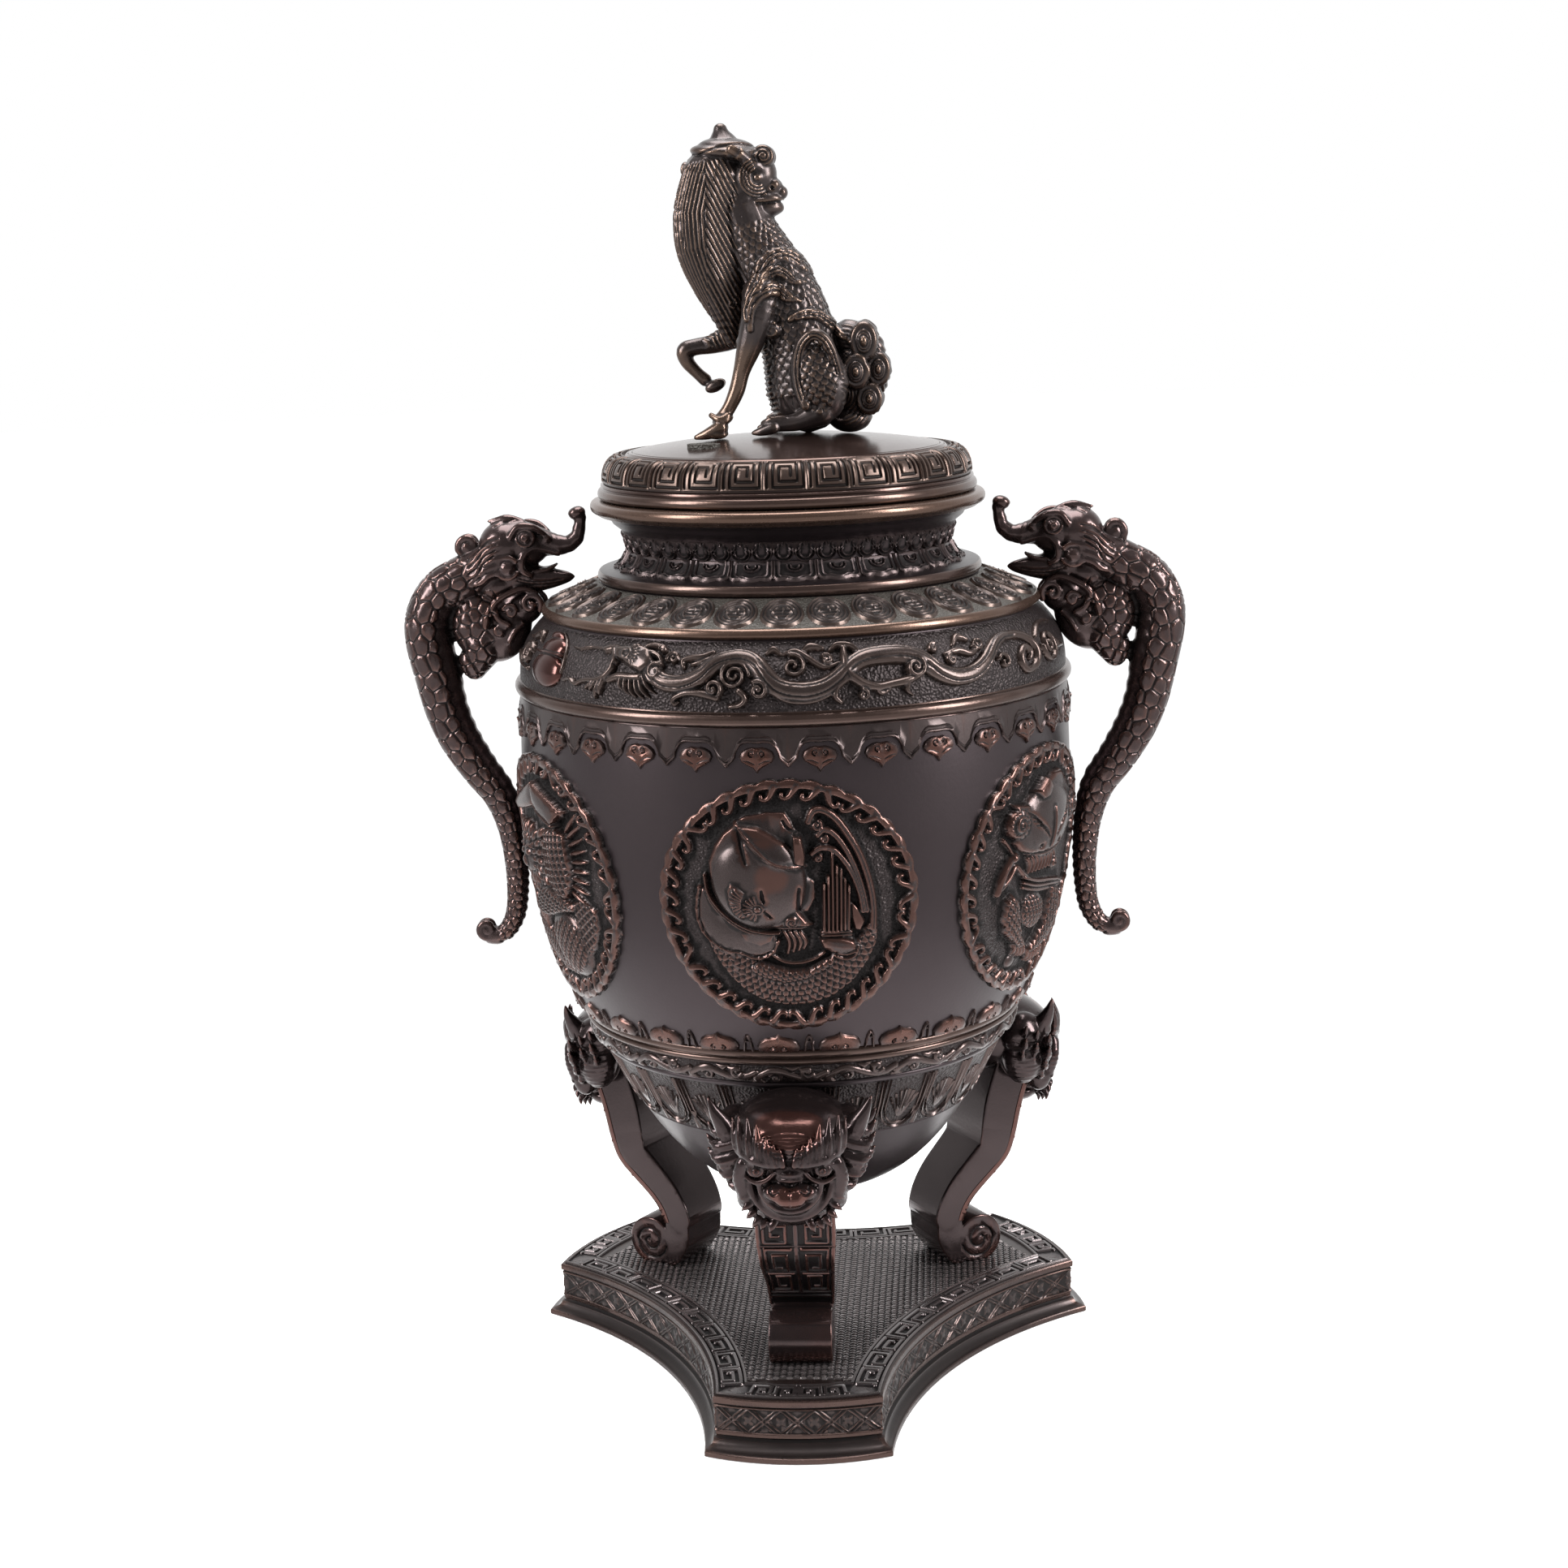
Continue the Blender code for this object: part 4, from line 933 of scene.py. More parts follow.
def makePetals():
    flare = [(60.2, 283.9), (58.4, 284.5), (56.8, 285.9), (55.4, 288.1), (54.7, 290.2)]
    length = bandSurface(flare, 0).length
    pitch = tau * petals["largeRadius"] / petals["large"]
    board = newBoard(pitch, length, 0.24)
    low, up = -length / 2, length / 2
    half = pitch / 2 - 0.3
    outline = mirrored([(-half, up), (-half, low + 3.2), (-half + 0.4, low + 2.1), (-half + 1.5, low + 1.3),
                        (-3.6, low + 1.5),
                        (-2.3, low + 1.0), (-1.0, low + 0.4), (0, low + 0.2)])
    plate(board, outline, 0.7, edge=0.4)
    for share, rise, wide, tall in ((1.0, 0.0, 0.42, 0.75), (0.76, 1.15, 0.3, 0.6)):
        ridge(board, smoothLine([(x * share, y + rise, wide) for x, y in outline], 3), tall, how="add")
    for reach in (2.6, 1.4):
        loop = [(reach * sin(a), up - 2.0 - reach * 0.9 * cos(a), 0.32) for a in np.linspace(-1.7, 1.7, 16)]
        ridge(board, loop, 0.85, how="add")
    large = repeatedBand("petals_large", board, flare, -0.15, petals["large"], petals["largeFirst"], 640,
                         turnRadius=petals["largeRadius"])
    finish(large, "petal")
    # two overlapping rows of small petals
    neck = [(54.5, 290.0), (54.8, 292.0), (55.4, 294.2), (56.6, 296.4)]
    length = bandSurface(neck, 0).length
    pitch = tau * petals["smallRadius"] / petals["small"]
    board = newBoard(pitch, length, 0.24)
    for middle, foot, base in ((-pitch / 2, length / 2 - 1.2, 0.0), (pitch / 2, length / 2 - 1.2, 0.0),
                               (0, length / 2 - 3.6, 0.35)):
        mound(board, (middle, foot), (3.3, 3.2), 0.75 + base)
        for reach, rise in ((3.1, 1.0), (1.9, 1.3)):
            loop = [(middle + reach * sin(a), foot - reach * cos(a), 0.34)
                    for a in np.linspace(-2.0, 2.0, 18)]
            ridge(board, loop, rise + base)
    small = repeatedBand("petals_small", board, neck, -0.1, petals["small"], petals["smallFirst"], 260,
                         turnRadius=petals["smallRadius"])
    finish(small, "petal")


leafBand = {"count": 24, "first": -131.8, "scrolls": 20, "firstScroll": -90.0, "scrollRadius": 74.2}


def makeLeafBand():
    profile = upTheSide(leafRadius, 97.2, 117.4, 9)
    surface = bandSurface(profile, 0)
    radius = surface.turnRadius
    pitch = tau * radius / leafBand["count"]
    board = newBoard(pitch, surface.length, 0.28)
    low, top = -surface.length / 2, surface.length / 2
    half = pitch / 2
    # round-ended leaf hanging from the ring, ribbed like a fan
    for inset, rise in ((0.0, 1.05), (1.5, 0.85)):
        side = [(-half * 0.92 + inset, top + 0.3), (-half * 0.93 + inset, low + 11),
                (-half * 0.84 + inset, low + 6.4 + inset * 0.3),
                (-half * 0.58 + inset * 0.7, low + 3.0 + inset * 0.8), (-half * 0.26, low + 1.1 + inset),
                (0, low + 0.7 + inset)]
        ridge(board, smoothLine(widths(mirrored(side), 0.48 - 0.08 * (inset > 0))), rise)
    for k in range(-3, 4):
        spread = k / 3
        ridge(board, [(spread * 0.9, low + 5.2 + 0.5 * abs(spread), 0.25),
                      (spread * half * 0.60, low + 17.2 - 2.6 * spread**2, 0.62)], 0.8)
    # foot of a plain leaf between two of them
    for side in (-1, 1):
        ridge(board, [(side * half, low + 0.4, 1.5), (side * half, low + 5.4, 0.3)], 0.6)
    band = repeatedBand("leaf_band", board, profile, -0.25, leafBand["count"], leafBand["first"], 700,
                        turnRadius=radius)
    finish(band, "relief")


def makeScrollBand():
    k = leafBand
    rise = [(74.9, 126.8), (74.9, 125.0), (74.3, 122.6), (73.3, 120.9)][::-1]
    surface = bandSurface(rise, 0)
    pitch = tau * k["scrollRadius"] / k["scrolls"]
    board = newBoard(pitch, surface.length, 0.26)
    half = pitch / 2
    for middle in (-pitch, 0, pitch):
        wave = [(middle - half, -1.4, 1.1), (middle - half * 0.5, 1.6, 1.25), (middle, -0.2, 1.2),
                (middle + half * 0.5, -1.9, 1.25), (middle + half, 0.6, 1.1)]
        ridge(board, smoothLine(wave), 1.1)
        for across, up, start in ((-0.42, -0.9, 150), (0.45, 0.9, -30)):
            ridge(board, curl((middle + half * across, up), 2.1, start, -1.2, 0.95), 1.15)
            mound(board, (middle + half * across, up), (0.8, 0.8), 1.25)
        for u, v, way in ((0.6, 2.0, 1), (4.4, 1.4, 1), (-half + 0.8, -2.3, -1), (half - 3.6, -1.6, -1)):
            leaf = [(middle + u - 2.2, v + 0.8 * way, 0.3), (middle + u, v, 1.0),
                    (middle + u + 2.2, v + way, 0.3)]
            ridge(board, leaf, 1.0)
    scroll = repeatedBand("scroll_band", board, rise, -0.1, k["scrolls"], k["firstScroll"], 680,
                          turnRadius=k["scrollRadius"])
    finish(scroll, "relief")


finishes["lappet"] = bronze("rubbed lappets", (0.042, 0.031, 0.030), (0.100, 0.041, 0.029), rub=0.7,
                            gloss=0.32)
finishes["disc"] = bronze("shoulder discs", (0.048, 0.037, 0.035), (0.085, 0.058, 0.046), rub=0.5,
                          gloss=0.36)
finishes["petal"] = bronze("neck petals", (0.049, 0.037, 0.038), (0.094, 0.068, 0.063), rub=0.4, gloss=0.42)

makeUpperLappets()
makeLowerLappets()
makeDiscs()
makePetals()
makeLeafBand()
makeScrollBand()
print("bands laid")

# Medallions: in relief on the belly. A point's x runs round from the azimuth, and its second number
# is its height on the jar.
medallion = {
    "middleZ": 184.5, "radius": 42.4, "board": 88.0, "step": 0.32, "curls": 37, "onRadius": 93.0,
    "front": {"azimuth": -90.0, "middleX": 2.0}, "left": {"azimuth": -150.0, "middleX": -1.8},
    "right": {"azimuth": -30.0, "middleX": 4.6}, "triangles": 34000, "backTriangles": 9000,
    "backRelief": 0.42, "groundLift": 0.45,
}


def onBelly(azimuth):
    def place(co):
        z = medallion["middleZ"] + co[:, 1]
        r = bellyRadius(z)
        slope = bellyRadius(z + 0.5) - bellyRadius(z - 0.5)
        tilt = np.sqrt(1 + slope**2)
        angle = radians(azimuth) + co[:, 0] / medallion["onRadius"]
        out = r + co[:, 2] / tilt
        return np.column_stack([out * np.cos(angle), out * np.sin(angle), z - co[:, 2] * slope / tilt])

    return place


def drawingTools(board, kind):
    # points given on the jar are moved to the board
    def at(points):
        return [(p[0] - medallion[kind]["middleX"], p[1] - medallion["middleZ"]) + tuple(p[2:])
                for p in points]

    def line(points, height, how="over"):
        ridge(board, smoothLine(at(points), 4), height, how=how)

    def boss(spot, half, height, **how):
        mound(board, at([spot])[0], half, height, **how)

    return at, line, boss


def texture(board, outline, relief):
    carve(board, whole, plateMask(board, whole, outline, 0.8) * relief, "add")


def rimOfCurls(board):
    k = medallion
    x, y = board["x"], board["y"]
    r, turn = np.hypot(x, y), np.arctan2(y, x)
    board["h"] = np.where(r < k["radius"] - 0.6, 0.28, 0.0)
    ripple = 0.85 * np.abs(np.cos(turn * k["curls"] / 2)) - 0.3
    band = np.clip((k["radius"] - 0.5 + ripple - r) / 0.5, 0, 1) * np.clip((r - (k["radius"] - 3.3)) / 0.5,
                                                                           0,
                                                                           1)
    carve(board, whole, 2.0 * np.sin(band * pi / 2), "over")
    for i in range(k["curls"]):
        a = tau * i / k["curls"]
        reach = k["radius"] - 3.2
        way = 1 if i % 7 else -1
        hook = [(0.6, -1.9, 1.3), (-0.3, -1.3, 1.2), (-1.4, -0.7, 1.05), (-2.6, 0.2, 0.9), (-3.2, 1.5, 0.8),
                (-2.7, 2.7, 0.75), (-1.7, 2.6, 0.7)]
        line = []
        for radial, along, half in hook:
            b = a + way * along / reach
            line.append(((reach + radial) * cos(b), (reach + radial) * sin(b), half * 1.2))
        ridge(board, smoothLine(line, 3), 2.3)


def fanRibs(board, centre, inner, outer, first, last, count, half, height):
    for a in np.linspace(radians(first), radians(last), count):
        ridge(board, [(centre[0] + inner * cos(a), centre[1] + inner * sin(a), half * 0.6),
                      (centre[0] + outer * cos(a), centre[1] + outer * sin(a), half)], height, how="add")


def spiralBoss(board, centre, radius, start, turns, half, height):
    mound(board, centre, (radius + half, radius + half), height, roundness=0.35)
    ridge(board, curl(centre, radius, start, turns, half, inner=0.1), 0.7, how="add")


def frontFigure(board):
    at, line, boss = drawingTools(board, "front")
    x, y = board["x"], board["y"]
    # scaled body along the bottom, and the dark shape behind the face
    body = at([(-25.4, 176), (-24, 171), (-21.6, 166), (-18, 160.6), (-13, 155.6), (-7, 152.4), (0, 151),
               (8, 151.2),
               (16, 153.6), (23, 158.6), (27.8, 165), (30.8, 172), (31, 178), (28.4, 180.6), (24, 174),
               (16, 169),
               (8, 165), (0, 164), (-8, 167), (-14, 171), (-20, 173)])
    plate(board, body, 1.3, edge=0.9, swell=0.8)
    texture(board, body, 0.8 * (scaleRelief(np.hypot(x, y), np.arctan2(y, x) * 26, 2.0, 2.3) - 0.55))
    plate(board, at([(6, 196), (8, 195.4), (10.6, 193.4), (10.8, 188), (8.4, 183.4), (5, 183)]), 0.9)
    # plumes with curled tips
    for tip, reach, run, half in (
            ((11.6, 201.2), 1.9, [(9.8, 202.6), (12.4, 204.4), (16.4, 203.6), (19.6, 200), (22.4, 195),
                                  (24.6, 188.6),
                                  (25.6, 183)], 1.15),
            ((13.7, 207.2), 1.9, [(11.8, 208.4), (13.6, 210.2), (16.6, 208.8), (19.8, 204.4), (22.8, 198),
                                  (25.2, 190.6),
                                  (26.8, 183)], 1.15),
            ((11.5, 211.6), 2.3, [(9.0, 212.8), (10.6, 216.2), (13.6, 216.4), (17.4, 213.6), (21.2, 208),
                                  (24.8, 201),
                                  (27.6, 192), (28.9, 184), (29, 177)], 1.45)):
        points = [(u, v, half * (1 if i else 0.8)) for i, (u, v) in enumerate(run)]
        line(points, 2.3)
        line([(u, v, 0.3) for u, v in run], -0.35, how="add")
        spiralBoss(board, at([tip])[0][:2], reach - 0.5, 60, -1.3, 0.5, 1.6)
    # pipes held in a hand
    for u, top in ((13.2, 192.6), (14.6, 195.2), (15.9, 202.6), (17.2, 198.4), (18.5, 197), (19.7, 194),
                   (20.9, 191.6)):
        line([(u, 177.4, 0.66), (u + 0.1, top, 0.6)], 2.7)
    for v in (176.9, 175.9):
        line([(12.4, v, 0.5), (21.8, v - 0.3, 0.5)], 2.8)
    plate(board, at([(11.2, 174.6), (14, 175.6), (19, 175.2), (23, 173.8), (24.2, 171.6), (22.6, 169.4),
                     (19, 168.4),
                     (15, 169.6), (12.4, 171.2)]), 2.3, edge=1.2, swell=0.5)
    for points in ([(16.2, 170.6), (19, 171.7), (22.8, 171.0)],
                   [(16.6, 168.8), (20, 167.5), (23, 168.6), (24, 171.2)],
                   [(17.6, 169.6), (20.4, 169.2), (23.2, 170)]):
        line([(u, v, 0.7) for u, v in points], 3.1)
    plate(board, at([(21.2, 187), (24.4, 184.4), (26.8, 179.4), (25.2, 175.8), (22.6, 176.4), (21.4, 181)]),
          1.9, edge=1.2)
    # folds of the collar, the cape and its hem
    for u in (0.4, 2.2, 4.0, 5.6):
        line([(u, 177.2 - u * 0.1, 0.7), (u + 1.7, 173.6, 0.85), (u + 1.0, 169.4 + u * 0.3, 0.6)], 1.7)
    line([(-3.6, 169, 0.6), (0, 166.7, 0.6), (5, 166.1, 0.6), (10, 167.4, 0.6), (13.4, 169.6, 0.6)], 1.5)
    cape = at([(-25.4, 191.8), (-26.6, 187), (-27, 181.6), (-25.6, 176.8), (-22.6, 172.8), (-18, 170.6),
               (-14, 170.2),
               (-9.6, 168.4), (-6.4, 168.8), (-3.4, 170.4), (-1.6, 173.2), (-1.8, 177), (-12, 179),
               (-20, 186), (-23, 192)])
    plate(board, cape, 1.6, edge=0.8, swell=0.5)
    hem = at([(-25.8, 191.6), (-26.9, 187), (-27.2, 182), (-25.8, 177), (-22.4, 173), (-18, 170.6),
              (-13.4, 169.9),
              (-9.4, 168.2), (-6, 168.6), (-3, 170.6), (-1.5, 174)])
    hemLine = smoothLine([(u, v, 0.62) for u, v in hem], 4)
    ridge(board, hemLine, 2.2)
    for u, v, half in hemLine[::3]:
        mound(board, (u, v), (1.0, 1.0), 2.35)
    plate(board, at([(-15, 177.6), (-12.6, 173.4), (-7, 171.6), (-3, 173.4), (-1.8, 176.6), (-8, 178)]), 2.2,
          edge=1.4)
    # arm across the body, and the fins at its elbow
    arm = at([(-11.8, 165.6), (-8, 167.6), (-3.4, 166.2), (2, 164.6), (8, 164.8), (13, 167.6), (16.8, 169.4),
              (17, 166),
              (13, 163.2), (7, 160.4), (0, 159.2), (-6, 160.8), (-10.8, 163.2)])
    plate(board, arm, 2.3, edge=1.3, swell=0.5)
    texture(board, arm, 0.7 * (scaleRelief(-y + 0.2 * x, x + 0.3 * y, 1.55, 1.9) - 0.5))
    for u, v in ((-21, 170.6), (-20, 168.4), (-18.6, 166), (-17, 163.6)):
        line([(u, v, 0.5), (u + 3.2, v - 0.6, 0.85), (u + 6.2, v - 2.4, 0.5)], 2.1)
    # collar bands under the head
    line([(-23.9, 191.4, 0.5), (-22.2, 187, 0.6), (-18.8, 182.6, 0.6), (-14.2, 179, 0.6), (-9.6, 176.9, 0.6),
          (-3, 176.0, 0.5)], 2.4)
    line([(-23.7, 196, 0.6), (-22.8, 190.2, 0.7), (-19.8, 185.2, 0.7), (-15.6, 181.2, 0.7),
          (-10.6, 178.4, 0.7),
          (-5.6, 177.2, 0.7), (-1, 177.0, 0.6)], 2.9)
    # great smooth head with its beak
    head = at([(-22.6, 196), (-22.8, 200.4), (-20.6, 206), (-17.6, 210.2), (-14, 213.4), (-6, 212), (2, 207),
               (6.2, 200),
               (5.4, 192), (6.0, 188), (5.6, 184.8), (8, 181.4), (11.0, 179), (6, 177.4), (0, 177.5),
               (-6, 178.4),
               (-12, 181.2), (-18, 186), (-21.6, 191)])
    plate(board, head, 2.1, edge=1.6, swell=1.1)
    boss((-7.0, 194), (15, 16.5), 5.9, lean=20, roundness=0.45)
    line([(5.6, 192, 0.5), (5.3, 188, 0.6), (5.4, 184.2, 0.5)], -0.9, how="add")
    line([(-5.5, 192.4, 0.4), (-5.3, 190, 0.7), (-4.9, 188.4, 0.4)], -1.0, how="add")
    line([(-4.9, 185.2, 0.4), (-4.0, 184, 0.6), (-2.8, 183, 0.3)], -0.9, how="add")
    line([(-2.4, 178.9, 0.3), (3, 179.0, 0.4), (10.4, 179.0, 0.3)], -0.6, how="add")
    ear = at([(-15.9, 192.4), (-14.8, 194.7), (-12.6, 193.8), (-10.3, 191.6), (-11.3, 189), (-11.5, 186.4),
              (-10.6, 183.2), (-12.2, 182.3), (-14.5, 184.6), (-15.9, 188.6)])
    carve(board, whole, 0.8 * plateMask(board, whole, ear, 0.5), "add")
    fanRibs(board, at([(-9.6, 188.4)])[0], 2.2, 5.6, 128, 238, 9, 0.42, 0.5)
    fanRibs(board, at([(-6.9, 186.3)])[0], 2.0, 4.2, 100, 255, 9, 0.42, 0.6)
    eye = at([(-6.9, 186.3)])[0]
    mound(board, eye, (1.9, 1.9), 1.0, how="add")
    ridge(board, oval(eye, 1.25, 1.25, 0.35, 21), -0.5, how="add")
    mouth = at([(3.1, 181.0)])[0]
    mound(board, mouth, (2.1, 2.1), 1.1, how="add")
    ridge(board, curl(mouth, 1.6, 20, -1.4, 0.42, inner=0.1), -0.6, how="add")
    # cap with a turned brim
    cap = at([(-14.2, 213.4), (-10.6, 215.2), (-4, 216.5), (2, 216.3), (3.8, 213.6), (4.6, 211),
              (7.2, 208.8),
              (8.0, 203),
              (7.8, 198.7), (3, 199.2), (-1.4, 200.4), (-5.4, 203.4), (-9, 207.2), (-12.2, 211.4)])
    plate(board, cap, 1.3, edge=0.9, how="add")
    line([(-13.4, 213.2, 0.7), (-10, 208.6, 0.8), (-6.2, 204.4, 0.8), (-2, 201.0, 0.8), (2, 199.6, 0.8),
          (7.6, 198.8, 0.8)], 1.0, how="add")
    plate(board, at([(4.0, 200), (3.8, 209.4), (7.0, 208.8), (7.9, 203), (7.7, 199)]), 4.6, edge=0.7)
    line([(-12.6, 212, 0.5), (-11.2, 206, 0.7), (-9.8, 200.8, 0.5)], -0.8, how="add")
    line([(1.2, 213.4, 0.5), (2.6, 211, 0.6), (5, 209.8, 0.5)], -0.8, how="add")


def netting(board, outline, pitch, lean, height):
    c, s = cos(radians(lean)), sin(radians(lean))
    u = board["x"] * c + board["y"] * s
    v = board["y"] * c - board["x"] * s
    threads = np.maximum(np.abs(np.cos(u / pitch * pi)) ** 6, np.abs(np.cos(v / pitch * pi)) ** 6)
    texture(board, outline, height * threads)


def leftFigure(board):
    at, line, boss = drawingTools(board, "left")
    x, y = board["x"], board["y"]
    # folded tail and haunch
    tip = at([(16, 180), (22, 181.4), (29.4, 179), (29, 172), (25, 165), (20, 160.6), (17, 166)])
    plate(board, tip, 1.3, edge=0.8)
    netting(board, tip, 2.3, 35, 0.6)
    tail = at([(-24, 168), (-20, 160), (-12, 154.4), (-2, 151.8), (8, 151.6), (16, 155), (10, 161), (0, 163),
               (-12, 168)])
    plate(board, tail, 1.4, edge=1.0, swell=0.8)
    texture(board, tail, 0.8 * (scaleRelief(-y, x, 2.0, 2.3) - 0.5))
    boss((8.6, 163.4), (12.6, 11.2), 3.4, lean=-35, roundness=0.4)
    haunch = at([(-2, 156), (3, 153.6), (12, 153.8), (19, 158.6), (20.4, 165), (17, 171), (8, 173.6),
                 (0, 169), (-3, 162)])
    texture(board, haunch, 0.8 * (scaleRelief(-y * 0.9 - 0.4 * x, x, 1.9, 2.4) - 0.5))
    line([(-9, 165.6, 1.0), (-7, 160, 1.5), (-8.4, 155, 1.2)], 1.9)
    # sleeve of net, its fringe, and the arm beneath
    sleeve = at([(6, 203.6), (13, 205), (19, 203), (21, 195), (19.6, 187), (16, 180.4), (10, 181), (5, 186),
                 (4, 195)])
    plate(board, sleeve, 2.2, edge=1.0, swell=0.8)
    netting(board, sleeve, 2.25, 8, 0.8)
    for v, lean in ((204, 50), (201.6, 38), (199, 26), (196.4, 16), (193.8, 8), (191.2, 0), (188.6, -8),
                    (186, -16),
                    (183.4, -26)):
        c, s = cos(radians(lean)), sin(radians(lean))
        start = (19.4 - abs(v - 194) * 0.12, v)
        line([(*start, 0.8), (start[0] + 4 * c, start[1] + 4 * s, 0.95),
              (start[0] + 8.4 * c, start[1] + 8.4 * s, 0.4)], 2.1)
    arm = at([(-10, 178), (-4, 182.4), (4, 182.4), (12, 181.4), (20, 179.6), (19, 176.4), (10, 174.6),
              (2, 172), (-6, 170.6),
              (-12, 173)])
    plate(board, arm, 2.6, edge=1.4, swell=0.4)
    texture(board, arm, 0.7 * (scaleRelief(x + 0.3 * y, y - 0.3 * x, 1.9, 2.1) - 0.5))
    for k in range(4):
        line([(-12.6 + 2.0 * k, 173.4 - 0.7 * k, 0.8), (-15.6 + 2.2 * k, 170.2 - 0.8 * k, 0.7),
              (-16 + 2.4 * k, 167.4 - k, 0.4)], 2.6)
    # face in a mane of pointed locks
    for reach, count, wide, high in ((15.4, 22, 1.7, 2.2), (11.6, 18, 1.7, 2.9), (8.2, 14, 1.5, 3.4)):
        for i in range(count):
            a = tau * (i + 0.5 * (count % 4 > 1)) / count
            if sin(a) * reach > 12.5:
                continue
            c, s = cos(a), sin(a)
            line([(-10 + (reach - 5.5) * c, 192 + (reach - 5.5) * s, wide * 0.8),
                  (-10 + (reach - 2.4) * c, 192 + (reach - 2.4) * s, wide),
                  (-10 + reach * c, 192 + reach * s, 0.3)], high)
    boss((-10, 191), (6.6, 7.2), 4.2, roundness=0.4)
    for side in (-1, 1):
        boss((-10 + side * 2.8, 193), (1.5, 1.2), 0.7, how="add")
        line([(-10 + side * 1.0, 194.6, 0.4), (-10 + side * 3, 195.6, 0.5), (-10 + side * 5, 194.4, 0.4)],
             0.7, how="add")
    boss((-10, 189.6), (1.5, 2.2), 0.9, how="add")
    line([(-13.4, 186.4, 0.4), (-10, 185.4, 0.5), (-6.6, 186.4, 0.4)], -0.8, how="add")
    # pointed shell cap in two leaves
    plate(board, at([(-26, 206.6), (-14, 213), (-1.4, 218.6), (1, 213), (0, 209.6), (-8, 207.4),
                     (-18, 205.4)]), 3.0,
          edge=0.8, swell=0.4)
    plate(board, at([(-1.4, 218.6), (4, 216.4), (12, 214), (19.6, 210.8), (13, 205.2), (4, 208.4),
                     (0, 211.6)]), 3.6,
          edge=0.8, swell=0.3)
    line([(0.2, 212.6, 0.5), (3.8, 208.8, 0.6), (13, 205.2, 0.6)], 4.1)


